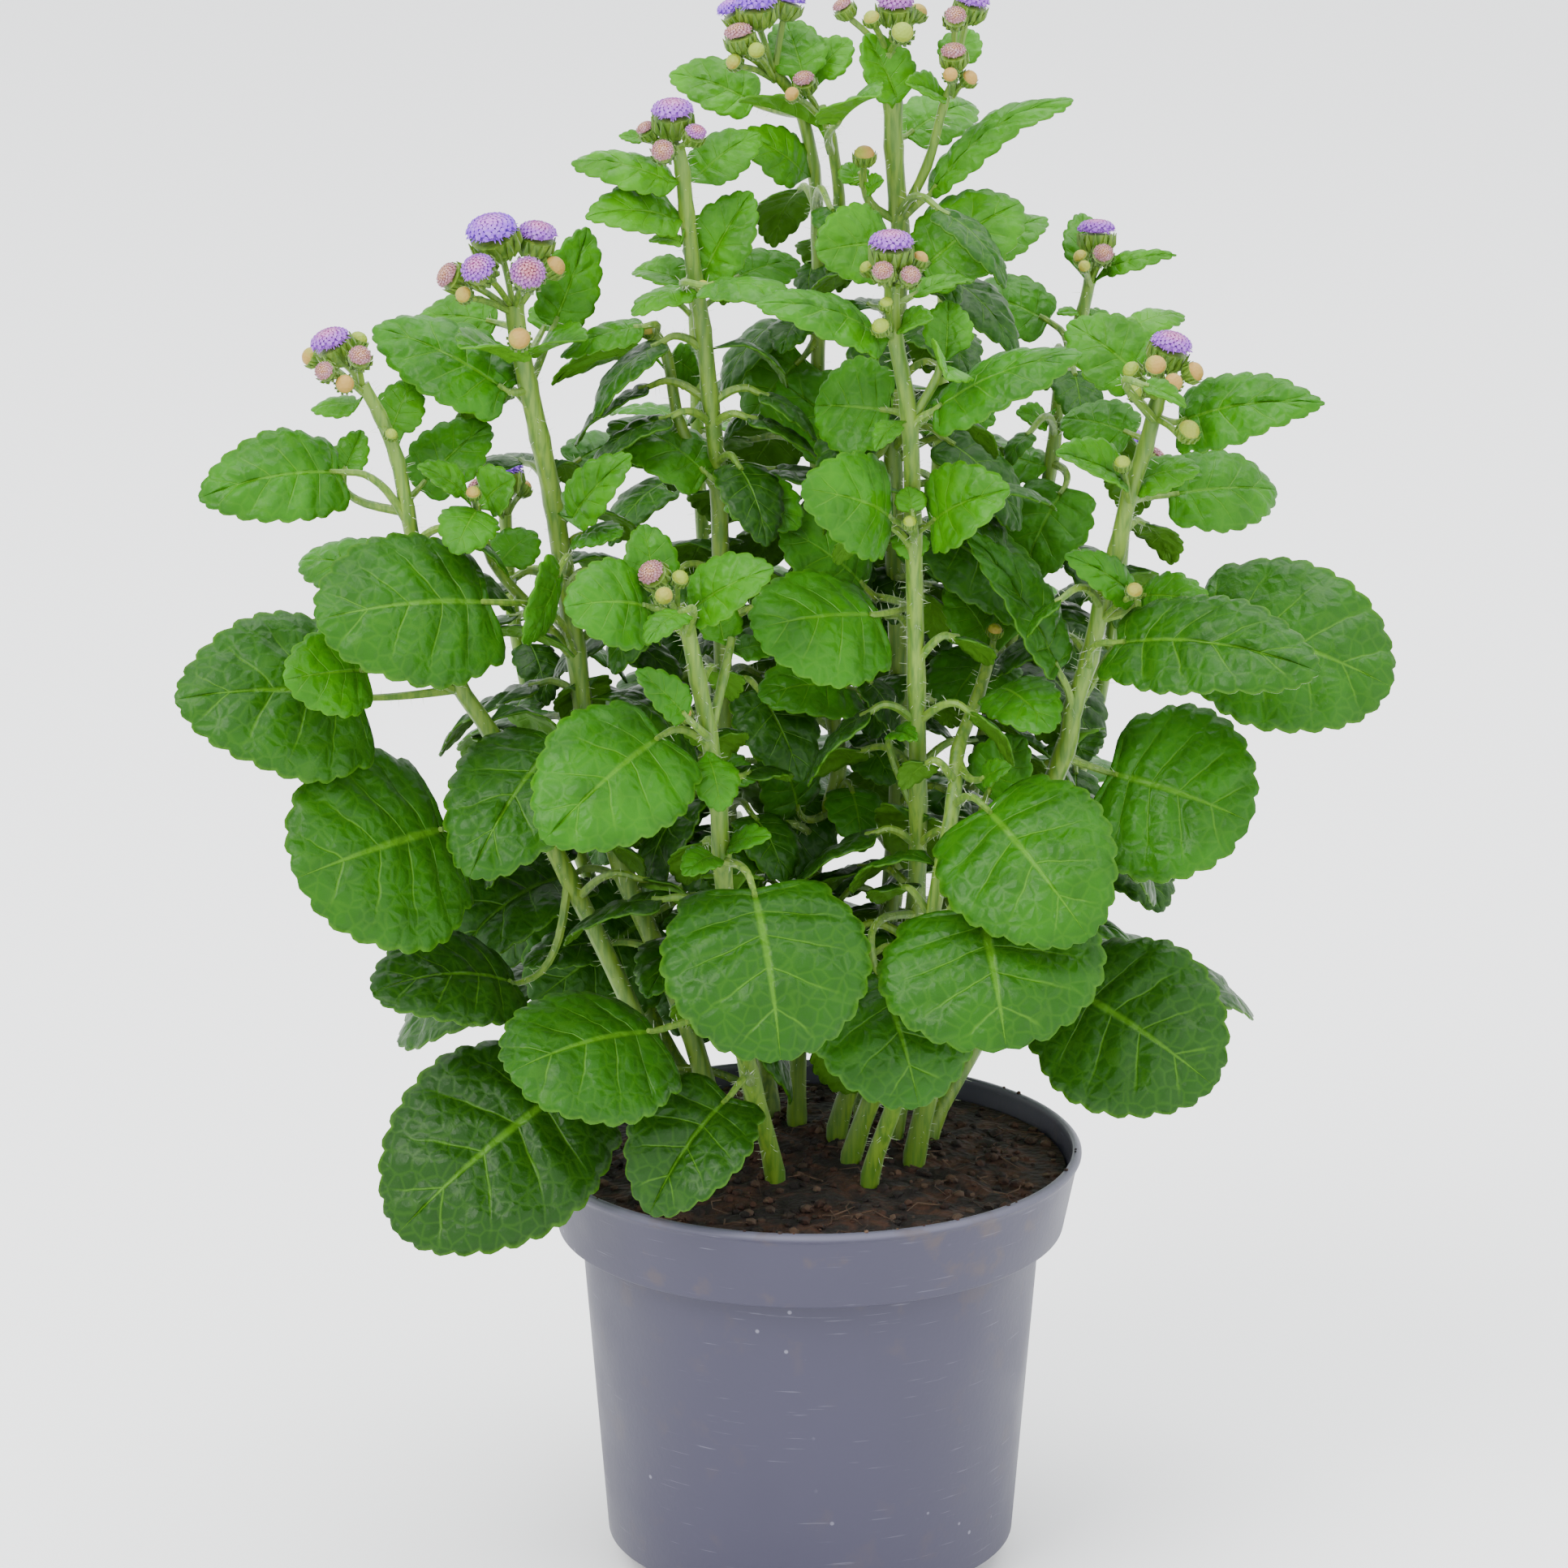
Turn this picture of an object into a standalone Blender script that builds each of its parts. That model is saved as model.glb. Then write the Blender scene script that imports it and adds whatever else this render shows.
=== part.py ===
"""A potted ageratum: a bushy bedding plant with fluffy flower heads, in a plastic nursery pot of soil.

Each leafy shoot is one green solid: its stem, side branches, leaf stalks, leaves, flower stalks, buds and
the green cups under its flower heads. The coloured top of each open head is a solid of its own.
The origin is the middle of the pot's foot, +Z is up, and -Y is the side that the photograph shows.
"""

import math
from dataclasses import dataclass, field

import bmesh
import bpy
from mathutils import Matrix, Vector, geometry
from mathutils.bvhtree import BVHTree

MM = 0.001
GAP = 0.3 * MM
UP = Vector((0, 0, 1))

# The pot, from its foot up
POT_HEIGHT = 96.0 * MM
POT_RIM_RADIUS = 60.0 * MM
BAND_HEIGHT = 17.9 * MM
BAND_FOOT_RADIUS = 56.0 * MM
BODY_TOP_RADIUS = 51.0 * MM
BODY_FOOT_RADIUS = 45.3 * MM
FOOT_HEIGHT = 6.0 * MM
FOOT_RADIUS = 38.0 * MM
POT_WALL = 1.2 * MM
LIP_HEIGHT = 2.2 * MM
LIP_OVERHANG = 0.8 * MM
POT_STEPS = 28
DRAIN_COUNT = 6
DRAIN_SIDES = 8
DRAIN_RADIUS = 3.2 * MM
DRAIN_RING = 27.0 * MM

# The soil in it
SOIL_EDGE = 91.0 * MM
SOIL_CROWN = 2.5 * MM
SOIL_STEPS = 20
SOIL_RINGS = (0.42, 0.76)
SOIL_LUMP = 1.2 * MM
ROOT_DEPTH = 11.0 * MM
ROOT_GAP = 0.35 * MM
COLLAR = 4.5 * MM
ROOT_RADIUS = 3.4 * MM
ROOT_SIDES = 6

# Leaves: the blade, its teeth, its stalk and the room that it keeps from others
BLADE = 0.7 * MM
TOOTH_DEPTH = 0.20
TOOTH_LEAN = 0.62
FIRST_TOOTH = 0.14
EDGE_STEP = 0.02
LONG_RIB = (0.3, 0.66)
SHORT_RIB = (0.45,)
LOBE_REACH = 0.10
LOBE_SPAN = 0.26
STALK_RADIUS = 1.05 * MM
LONG_STALK = 20 * MM
CLEARANCE = 0.8 * MM
BIG_LEAF = 38 * MM
MIDDLE_LEAF = 28 * MM
SMALL_LEAF = 19 * MM
SESSILE = 9 * MM
SMOOTH_STEPS = 4
PROBE_STEPS = 8
PROBE_GROWTH = 1.05
PROBE_CORNER = 1.3

# Flower heads
CUP_DEPTH = 0.62
CAP_RISE = 0.36
STALK_TIP = 0.8 * MM
FORK_SINK = 1.9 * MM
NODE_SINK = 1.1 * MM
NODE_STEP = 0.31 * MM
SPRAY_SINK = 0.9 * MM
SPRAY_STEP = 0.23 * MM
LEAST_BUD = 1.85 * MM
LEAST_LEAF = 7.5 * MM
FLAT_ANGLE = math.radians(1.0)
CAP_SIDES = 8
CAP_SPREAD = 1.4
CAP_FRINGE = 0.13
CAP_DROOP = 0.3
CAP_CROWN = 0.35
CAP_BUMP = 0.18

# The viewpoint of the photograph, 1932 pixels square: what it is aimed at, from how far, how steeply down
AIM = Vector((-5.9, 0, 178.7)) * MM
VIEW_DISTANCE = 1350 * MM
VIEW_PITCH = math.radians(15.82)
PHOTO_MIDDLE = 966
PHOTO_FOCAL = 7641
VIEW_FORWARD = Vector((0, math.cos(VIEW_PITCH), -math.sin(VIEW_PITCH)))
VIEW_UP = Vector((0, math.sin(VIEW_PITCH), math.cos(VIEW_PITCH)))
EYE = AIM - VIEW_FORWARD * VIEW_DISTANCE
LEAF_SIDE = Vector((0.35, 0, 1))

GREEN = (0.13, 0.36, 0.05)
VIOLET = (0.33, 0.18, 0.75)
LILAC = (0.52, 0.32, 0.66)
PINK = (0.62, 0.36, 0.48)
BLUSH = (0.62, 0.44, 0.38)
POT_GREY = (0.16, 0.16, 0.22)
SOIL_BROWN = (0.035, 0.018, 0.01)


def seen(u, v, depth):
    """The point that appears at the pixel (u, v) of the photograph, at the depth y in millimetres."""
    across = (u - PHOTO_MIDDLE) / PHOTO_FOCAL
    down = (v - PHOTO_MIDDLE) / PHOTO_FOCAL
    ray = VIEW_FORWARD + Vector((across, 0, 0)) - VIEW_UP * down
    return EYE + ray * ((depth * MM - EYE.y) / ray.y)


@dataclass
class Stem:
    """A stem or branch: the pixels and depths that it passes, and its radius in mm at each end."""

    path: list
    thick: tuple = (2.5, 1.7)
    fork: tuple = None


@dataclass
class Leaf:
    """A leaf: the stem and node that it grows from, its blade's base and tip, its width in mm, how far it is
    turned from facing the viewer towards facing up, in degrees, how much its sides rise and how it arches."""

    at: tuple
    base: tuple
    tip: tuple
    width: float
    roll: float = 30
    fold: float = -0.12
    arch: float = 0.10
    point: float = 0.45


@dataclass
class Head:
    """A flower head: the stem and node that it grows from, its middle, its radius in mm, the way that it
    faces, and its colour, or None for a green bud."""

    at: tuple
    middle: tuple
    radius: float
    face: tuple
    colour: tuple = None


@dataclass
class Shoot:
    """A leafy shoot that stands in the soil at foot (x, y) in mm."""

    name: str
    foot: tuple
    stems: list
    leaves: list
    heads: list = field(default_factory=list)


SHOOTS = [
    Shoot(
        "shoot_centre_front",
        (9, -6),
        [
            Stem([(1112, 1250, -10), (1128, 1120, -15), (1131, 990, -20), (1129, 840, -26), (1125, 650, -32),
                  (1120, 512, -36), (1101, 405, -38), (1099, 350, -39)], (2.6, 1.9)),
            Stem([(1152, 470, -36), (1160, 440, -36)], (1.3, 0.9), (0, 5)),
        ],
        [
            Leaf((0, 1), (1078, 1190, -30), (1132, 1362, -46), 37, 12, -0.15, 0.14, 0.3),
            Leaf((0, 4), (1099, 640, -40), (988, 602, -55), 23, 20, -0.15, 0.18, 0.35),
            Leaf((0, 4), (1147, 645, -38), (1244, 602, -50), 19, 25, 0.15, 0.14, 0.4),
            Leaf((0, 4), (1121, 655, -42), (1121, 690, -52), 8.5, 10, -0.1, 0.15, 0.3),
            Leaf((0, 4), (1124, 632, -38), (1118, 600, -34), 7, 10, 0.2, 0.1, 0.5),
            Leaf((0, 5), (1150, 506, -38), (1333, 436, -44), 19, 52, -0.3, 0.10, 0.5),
            Leaf((0, 5), (1097, 506, -28), (1004, 500, -20), 22, 12, 0.1, 0.10, 0.4),
            Leaf((0, 5), (1104, 520, -42), (1078, 556, -48), 6, 25, 0.1, 0.12, 0.6),
            Leaf((0, 6), (1086, 415, -40), (932, 374, -50), 16, 52, -0.25, 0.12, 0.5),
            Leaf((0, 6), (1122, 366, -34), (1200, 345, -26), 7, 60, 0.1, 0.10, 0.6),
            Leaf((0, 6), (1108, 404, -42), (1150, 392, -52), 9, 55, 0.2, 0.10, 0.5),
            Leaf((1, 1), (1166, 436, -34), (1168, 370, -28), 11, 8, 0.3, 0.05, 0.5),
            Leaf((1, 1), (1158, 448, -40), (1166, 466, -52), 12, 70, 0.35, 0.10, 0.4),
            Leaf((0, 2), (1100, 905, -26), (1130, 912, -40), 6, 40, 0.1, 0.1, 0.5),
        ],
        [
            Head((0, 7), (1098, 306, -40), 4.5, (0, -0.15, 1), LILAC),
            Head((0, 7), (1088, 336, -46), 2.5, (-0.1, -0.75, 0.65), BLUSH),
            Head((0, 7), (1121, 341, -44), 2.4, (0.2, -0.75, 0.6), BLUSH),
            Head((0, 7), (1134, 318, -38), 1.9, (0.4, -0.2, 1)),
            Head((0, 7), (1068, 330, -36), 1.8, (-0.6, -0.2, 0.8)),
            Head((0, 6), (1085, 402, -46), 2.1, (-0.2, -0.6, 0.8)),
            Head((0, 6), (1092, 373, -44), 1.6, (-0.1, -0.4, 1)),
            Head((0, 4), (1121, 643, -46), 1.6, (0, -0.6, 1)),
        ],
    ),
    Shoot(
        "shoot_centre_left",
        (-12, 12),
        [
            Stem([(915, 1260, 10), (900, 1080, 8), (893, 900, 4), (889, 740, 0), (885, 592, -4),
                  (875, 490, -8), (866, 405, -10), (857, 350, -12), (846, 262, -13), (841, 212, -14),
                  (834, 178, -14)], (2.6, 1.8)),
            Stem([(840, 530, -2), (822, 440, -2), (802, 402, -2)], (1.8, 1.2), (0, 4)),
        ],
        [
            Leaf((0, 4), (872, 586, -10), (751, 519, 0), 20, 50, -0.2, 0.12, 0.4),
            Leaf((0, 4), (908, 604, -8), (985, 650, -18), 15, 30, -0.1, 0.15, 0.4),
            Leaf((0, 7), (850, 354, -16), (779, 388, -26), 12, 62, -0.2, 0.10, 0.6),
            Leaf((0, 7), (868, 352, -18), (992, 384, -34), 16, 66, -0.2, 0.14, 0.5),
            Leaf((0, 7), (846, 350, -6), (781, 334, 2), 10, 50, 0.3, 0.10, 0.4),
            Leaf((0, 7), (868, 336, -14), (926, 236, -10), 15, 15, 0.15, 0.10, 0.5),
            Leaf((0, 7), (900, 346, -4), (985, 322, 6), 13, 40, -0.1, 0.10, 0.4),
            Leaf((0, 8), (832, 270, -14), (721, 268, -20), 15, 42, 0.1, 0.14, 0.6),
            Leaf((0, 8), (842, 302, -16), (800, 298, -22), 5, 50, 0.1, 0.10, 0.5),
            Leaf((0, 9), (830, 226, -16), (704, 200, -14), 12, 48, -0.25, 0.12, 0.4),
            Leaf((0, 9), (860, 216, -10), (936, 164, -2), 13, 32, -0.1, 0.10, 0.5),
            Leaf((0, 10), (796, 172, -14), (762, 167, -12), 4, 45, 0.2, 0.05, 0.6),
            Leaf((1, 2), (794, 402, -6), (690, 440, -12), 11, 55, -0.2, 0.10, 0.6),
            Leaf((1, 1), (806, 436, -2), (679, 474, 2), 12, 112, 0.1, 0.12, 0.6),
            Leaf((1, 1), (828, 440, 4), (862, 470, 12), 10, 30, -0.1, 0.1, 0.5),
            Leaf((0, 2), (862, 950, -2), (930, 962, -16), 12, 30, -0.1, 0.1, 0.5),
            Leaf((0, 1), (800, 1130, -4), (655, 1236, -16), 34, 26, -0.15, 0.12, 0.3),
        ],
        [
            Head((0, 10), (829, 143, -14), 4.4, (-0.05, -0.25, 1), LILAC),
            Head((0, 10), (797, 161, -12), 2.2, (-0.6, -0.3, 0.9), BLUSH),
            Head((0, 10), (856, 166, -19), 2.4, (0.35, -0.55, 0.8), PINK),
            Head((0, 10), (817, 187, -22), 2.7, (-0.15, -0.9, 0.45), BLUSH),
            Head((1, 2), (798, 408, -6), 1.5, (-0.1, -0.5, 1)),
            Head((0, 7), (866, 352, -22), 1.5, (0, -0.6, 1)),
        ],
    ),
    Shoot(
        "shoot_left",
        (-20, 2),
        [
            Stem([(840, 1240, 0), (770, 1080, -2), (730, 940, -6), (709, 800, -9), (694, 700, -12),
                  (682, 620, -14), (665, 540, -17), (650, 472, -19), (640, 425, -20), (633, 375, -20)],
                 (2.7, 2.4)),
            Stem([(650, 745, -16), (606, 690, -22), (586, 622, -26)], (1.6, 1.1), (0, 3)),
        ],
        [
            Leaf((0, 1), (704, 1078, -8), (552, 1196, -24), 29, 38, 0.25, 0.18, 0.3),
            Leaf((0, 2), (688, 914, -18), (580, 1078, -40), 31, 18, -0.15, 0.14, 0.35),
            Leaf((0, 3), (604, 742, -26), (392, 764, -46), 37, 24, -0.22, 0.10, 0.3),
            Leaf((0, 5), (704, 640, -22), (778, 560, -28), 12, 28, 0.1, 0.10, 0.5),
            Leaf((0, 5), (706, 572, 2), (784, 542, 16), 14, 45, -0.1, 0.10, 0.5),
            Leaf((0, 4), (690, 700, -28), (645, 792, -42), 16, -62, -0.15, 0.06, 0.5),
            Leaf((0, 4), (712, 660, -14), (765, 660, -30), 10, 55, -0.2, 0.06, 0.5),
            Leaf((0, 7), (625, 482, -22), (460, 403, -14), 22, 34, -0.2, 0.10, 0.45),
            Leaf((0, 7), (682, 402, -8), (724, 280, 0), 14, 18, 0.1, 0.06, 0.5),
            Leaf((0, 8), (630, 446, -30), (566, 428, -48), 16, 84, 0.35, 0.08, 0.4),
            Leaf((0, 8), (658, 440, -28), (724, 418, -42), 14, 78, 0.35, 0.08, 0.4),
            Leaf((0, 8), (612, 398, -14), (514, 392, -8), 12, 30, -0.1, 0.12, 0.4),
            Leaf((0, 8), (668, 408, -14), (690, 362, -6), 9, 20, 0.1, 0.05, 0.5),
            Leaf((1, 2), (588, 628, -32), (560, 682, -46), 13, 12, -0.1, 0.12, 0.35),
            Leaf((1, 2), (598, 616, -30), (634, 588, -40), 12, 25, 0.2, 0.10, 0.4),
            Leaf((1, 2), (572, 606, -28), (514, 574, -30), 8, 40, 0.2, 0.10, 0.5),
            Leaf((1, 1), (618, 690, -20), (660, 655, -14), 12, 30, -0.1, 0.10, 0.5),
        ],
        [
            Head((0, 9), (608, 290, -22), 5.2, (-0.3, -0.45, 0.9), VIOLET),
            Head((0, 9), (661, 293, -18), 4.1, (0.25, -0.25, 0.95), LILAC),
            Head((0, 9), (591, 333, -32), 3.6, (-0.35, -0.8, 0.5), LILAC),
            Head((0, 9), (650, 338, -34), 3.9, (0.1, -0.95, 0.4), PINK),
            Head((0, 9), (556, 341, -26), 3.2, (-0.85, -0.45, 0.45), BLUSH),
            Head((0, 9), (571, 363, -32), 2.0, (-0.4, -0.8, 0.4)),
            Head((0, 9), (684, 328, -20), 2.6, (0.7, -0.3, 0.7)),
            Head((0, 8), (640, 417, -38), 2.6, (0, -0.9, 0.4)),
            Head((1, 2), (583, 607, -34), 1.7, (0, -0.6, 0.8)),
        ],
    ),
    Shoot(
        "shoot_far_left",
        (-28, -8),
        [
            Stem([(790, 1270, -12), (700, 1080, -18), (610, 912, -24), (562, 838, -26), (524, 735, -27),
                  (501, 625, -28), (489, 565, -28), (468, 512, -28), (447, 474, -28)], (2.6, 1.6)),
        ],
        [
            Leaf((0, 0), (702, 1338, -30), (490, 1520, -52), 47, 14, -0.12, 0.12, 0.3),
            Leaf((0, 1), (636, 1212, -22), (460, 1222, -34), 27, 38, -0.12, 0.14, 0.3),
            Leaf((0, 2), (550, 1020, -34), (366, 1082, -60), 48, 10, -0.16, 0.10, 0.25),
            Leaf((0, 3), (446, 860, -30), (216, 862, -46), 41, 24, -0.16, 0.12, 0.5),
            Leaf((0, 3), (452, 826, -44), (350, 838, -56), 20, 14, -0.1, 0.10, 0.35),
            Leaf((0, 4), (482, 716, -14), (370, 690, -4), 16, 36, -0.1, 0.12, 0.3),
            Leaf((0, 5), (418, 582, -34), (245, 614, -44), 22, 22, -0.1, 0.16, 0.45),
            Leaf((0, 5), (424, 582, -24), (446, 530, -20), 8, 10, 0.2, 0.06, 0.5),
            Leaf((0, 5), (516, 602, -22), (604, 522, -20), 16, 22, 0.1, 0.10, 0.45),
            Leaf((0, 6), (482, 530, -24), (508, 468, -18), 11, 10, -0.1, 0.08, 0.4),
            Leaf((0, 8), (440, 498, -24), (383, 504, -22), 8, 55, -0.2, 0.08, 0.5),
        ],
        [
            Head((0, 8), (410, 425, -28), 4.2, (-0.5, -0.25, 0.9), LILAC),
            Head((0, 8), (443, 441, -34), 2.7, (0.15, -0.75, 0.7), BLUSH),
            Head((0, 8), (401, 458, -38), 2.3, (-0.35, -0.85, 0.4), BLUSH),
            Head((0, 8), (425, 473, -38), 2.2, (0.05, -0.9, 0.3)),
            Head((0, 8), (382, 439, -20), 2.3, (-0.8, -0.2, 0.4)),
            Head((0, 8), (442, 418, -24), 2.2, (0.4, 0.1, 0.9)),
            Head((0, 7), (482, 535, -32), 1.5, (0.3, -0.6, 0.8)),
        ],
    ),
    Shoot(
        "shoot_top",
        (6, 12),
        [
            Stem([(1075, 1250, 12), (1102, 1060, 14), (1108, 900, 14), (1104, 700, 12), (1100, 500, 9),
                  (1109, 300, 5), (1107, 262, 4), (1101, 180, 2), (1100, 128, 1), (1094, 62, 0)], (2.6, 2.3)),
            Stem([(1142, 205, 2), (1162, 132, 0), (1174, 102, 0)], (1.3, 1.0), (0, 6)),
            Stem([(1072, 250, 2), (1062, 212, 0)], (1.2, 1.0), (0, 6)),
        ],
        [
            Leaf((0, 5), (1096, 300, -14), (1006, 310, -24), 18, 14, 0.05, 0.12, 0.2),
            Leaf((0, 5), (1136, 332, -6), (1258, 250, 2), 21, 26, -0.1, 0.12, 0.3),
            Leaf((0, 5), (1200, 318, 14), (1290, 268, 26), 13, 40, -0.1, 0.10, 0.5),
            Leaf((0, 6), (1146, 240, 2), (1322, 122, 12), 11, 48, -0.2, 0.16, 0.3),
            Leaf((0, 8), (1106, 122, -2), (1066, 42, -8), 13, 28, 0.25, 0.06, 0.4),
            Leaf((0, 8), (1116, 168, 8), (1200, 128, 18), 15, 36, -0.1, 0.10, 0.4),
            Leaf((1, 2), (1160, 118, 0), (1116, 102, -8), 8, 50, 0.3, 0.06, 0.5),
            Leaf((1, 2), (1176, 80, 8), (1196, 36, 14), 10, 20, 0.2, 0.06, 0.5),
            Leaf((2, 1), (1056, 228, 0), (1044, 200, 4), 7, 20, 0.2, 0.06, 0.5),
            Leaf((2, 1), (1070, 232, -2), (1088, 222, -8), 5, 40, 0.2, 0.06, 0.5),
            Leaf((0, 3), (1134, 700, 4), (1205, 640, 14), 22, 40, -0.1, 0.1, 0.4),
            Leaf((0, 4), (1068, 560, 14), (960, 470, 24), 22, 20, 0.05, 0.1, 0.4),
            Leaf((0, 4), (1130, 500, 12), (1226, 520, 6), 16, 40, -0.1, 0.12, 0.4),
        ],
        [
            Head((0, 9), (1103, 8, -2), 4.0, (0, -0.3, 0.95), PINK),
            Head((0, 9), (1112, 40, -10), 2.6, (0.1, -0.8, 0.6)),
            Head((0, 9), (1074, 22, -6), 2.0, (-0.3, -0.5, 0.8)),
            Head((0, 9), (1040, 10, 0), 2.4, (-0.5, -0.2, 0.8), BLUSH),
            Head((0, 9), (1132, 14, 6), 2.2, (0.5, 0.2, 0.8)),
            Head((1, 2), (1197, 6, 2), 3.6, (0.3, -0.2, 1), LILAC),
            Head((1, 2), (1177, 22, -4), 2.6, (0, -0.7, 0.7), BLUSH),
            Head((1, 2), (1175, 68, -6), 3.0, (-0.1, -0.35, 0.9), BLUSH),
            Head((1, 2), (1171, 92, -10), 1.8, (-0.2, -0.8, 0.5)),
            Head((1, 2), (1195, 96, -6), 2.0, (0.5, -0.5, 0.6)),
            Head((2, 1), (1065, 190, -2), 2.5, (0, -0.3, 1)),
        ],
    ),
    Shoot(
        "shoot_top_left",
        (-3, 21),
        [
            Stem([(985, 1250, 20), (1002, 1065, 14), (1026, 985, 10), (1034, 930, 9), (1024, 868, 9),
                  (1013, 720, 11), (1007, 560, 14), (1008, 400, 16), (1008, 290, 16), (1002, 205, 14),
                  (984, 130, 12), (954, 88, 10)], (2.5, 1.5)),
            Stem([(1034, 262, 12), (1024, 170, 8), (1012, 132, 6)], (1.8, 1.2), (0, 8)),
        ],
        [
            Leaf((0, 5), (1082, 757, -30), (928, 776, -44), 31, 32, -0.35, 0.08, 0.35),
            Leaf((0, 5), (1066, 724, -12), (962, 650, -18), 21, 30, -0.15, 0.12, 0.35),
            Leaf((0, 4), (1052, 850, -4), (936, 860, -14), 22, 50, -0.1, 0.12, 0.4),
            Leaf((0, 7), (990, 440, 14), (920, 520, 8), 20, 20, -0.1, 0.1, 0.45),
            Leaf((0, 9), (990, 212, 10), (912, 164, 6), 13, 30, -0.1, 0.12, 0.5),
            Leaf((1, 1), (1012, 156, 2), (908, 124, -8), 14, 98, 0.35, 0.06, 0.4),
            Leaf((1, 1), (1032, 152, 2), (1082, 118, -8), 14, 96, 0.35, 0.06, 0.4),
            Leaf((0, 10), (990, 94, 6), (968, 24, 10), 13, 12, 0.1, 0.05, 0.35),
            Leaf((0, 10), (1004, 92, 8), (1048, 48, 12), 10, 24, 0.1, 0.06, 0.4),
            Leaf((0, 10), (930, 128, 18), (825, 91, 30), 15, 34, 0.05, 0.12, 0.5),
            Leaf((0, 2), (1048, 970, 4), (1062, 1050, -8), 14, 20, -0.1, 0.1, 0.5),
            Leaf((0, 2), (984, 1000, 2), (945, 900, -6), 16, 22, -0.1, 0.1, 0.5),
        ],
        [
            Head((0, 11), (933, 8, 6), 4.3, (-0.1, -0.3, 0.95), VIOLET),
            Head((0, 11), (906, 14, 12), 3.4, (-0.6, -0.1, 0.8), VIOLET),
            Head((0, 11), (972, 4, 10), 3.2, (0.3, 0, 0.9), VIOLET),
            Head((0, 11), (911, 45, 2), 3.4, (-0.25, -0.2, 0.95), BLUSH),
            Head((0, 11), (904, 76, 0), 2.0, (-0.5, -0.7, 0.5)),
            Head((0, 11), (932, 62, -2), 2.0, (-0.1, -0.8, 0.5)),
            Head((1, 2), (991, 101, 0), 2.6, (-0.2, -0.45, 0.85), BLUSH),
            Head((1, 2), (976, 116, -4), 1.8, (-0.4, -0.7, 0.5)),
        ],
    ),
    Shoot(
        "shoot_right",
        (23, -5),
        [
            Stem([(1175, 1240, -8), (1255, 1060, -14), (1312, 925, -20), (1322, 872, -22), (1342, 812, -24),
                  (1357, 748, -26), (1376, 678, -28), (1392, 608, -30), (1411, 552, -31), (1424, 502, -32),
                  (1430, 482, -32)], (2.8, 1.8)),
        ],
        [
            Leaf((0, 0), (1318, 1218, -24), (1496, 1338, -42), 43, 14, -0.12, 0.12, 0.3),
            Leaf((0, 2), (1366, 952, -14), (1540, 1012, -26), 42, 16, -0.12, 0.10, 0.2),
            Leaf((0, 3), (1482, 762, -8), (1714, 846, -18), 41, 22, -0.12, 0.10, 0.25),
            Leaf((0, 4), (1376, 792, -38), (1626, 828, -62), 26, 32, -0.12, 0.12, 0.35),
            Leaf((0, 3), (1304, 826, -26), (1190, 656, -30), 15, 44, 0.2, 0.08, 0.45),
            Leaf((0, 5), (1398, 737, -34), (1312, 684, -42), 10, 32, -0.1, 0.12, 0.4),
            Leaf((0, 5), (1404, 735, -34), (1492, 744, -44), 12, 26, -0.1, 0.12, 0.4),
            Leaf((0, 7), (1386, 594, -36), (1301, 558, -44), 12, 50, 0.35, 0.08, 0.45),
            Leaf((0, 7), (1398, 596, -36), (1479, 578, -46), 12, 46, -0.1, 0.12, 0.4),
            Leaf((0, 7), (1440, 610, -18), (1573, 604, -6), 20, 24, -0.1, 0.10, 0.35),
            Leaf((0, 9), (1452, 520, -34), (1633, 497, -46), 19, 32, -0.15, 0.12, 0.75),
            Leaf((0, 9), (1408, 466, -22), (1316, 398, -14), 18, 22, 0.05, 0.10, 0.5),
            Leaf((0, 9), (1392, 404, -6), (1459, 388, 2), 9, 52, -0.2, 0.10, 0.4),
            Leaf((0, 9), (1408, 474, -44), (1462, 502, -52), 6, 45, 0.2, 0.10, 0.6),
            Leaf((0, 8), (1396, 536, -20), (1308, 516, -10), 15, 36, -0.1, 0.10, 0.4),
            Leaf((0, 1), (1216, 980, -22), (1262, 908, -24), 16, 20, 0.05, 0.06, 0.45),
        ],
        [
            Head((0, 10), (1441, 430, -34), 4.3, (0.35, -0.25, 0.95), LILAC),
            Head((0, 10), (1424, 450, -42), 2.5, (0, -0.75, 0.7)),
            Head((0, 10), (1446, 471, -44), 2.2, (0.2, -0.85, 0.5)),
            Head((0, 10), (1472, 458, -37), 2.4, (0.8, -0.4, 0.5)),
            Head((0, 10), (1398, 484, -38), 2.0, (-0.5, -0.7, 0.4)),
            Head((0, 10), (1394, 456, -34), 2.2, (-0.6, -0.4, 0.7)),
            Head((0, 9), (1465, 530, -42), 2.6, (0.4, -0.6, 0.8)),
            Head((0, 7), (1383, 570, -42), 1.9, (-0.1, -0.5, 1)),
            Head((0, 5), (1398, 727, -40), 1.9, (0.1, -0.7, 0.7)),
        ],
    ),
    Shoot(
        "shoot_right_back",
        (19, 14),
        [
            Stem([(1140, 1240, 18), (1190, 1000, 22), (1235, 820, 24), (1272, 690, 25), (1297, 560, 25),
                  (1306, 480, 25), (1333, 388, 24), (1343, 345, 24)], (2.4, 1.5)),
        ],
        [
            Leaf((0, 2), (1222, 806, 12), (1165, 880, 0), 22, 30, -0.1, 0.1, 0.4),
            Leaf((0, 2), (1262, 820, 26), (1312, 760, 34), 22, 30, -0.1, 0.1, 0.4),
            Leaf((0, 3), (1262, 700, 14), (1170, 770, 2), 21, 30, -0.1, 0.12, 0.4),
            Leaf((0, 4), (1312, 600, 16), (1258, 716, 6), 21, 22, -0.1, 0.10, 0.4),
            Leaf((0, 4), (1286, 574, 24), (1178, 566, 30), 14, 50, -0.2, 0.10, 0.5),
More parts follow.
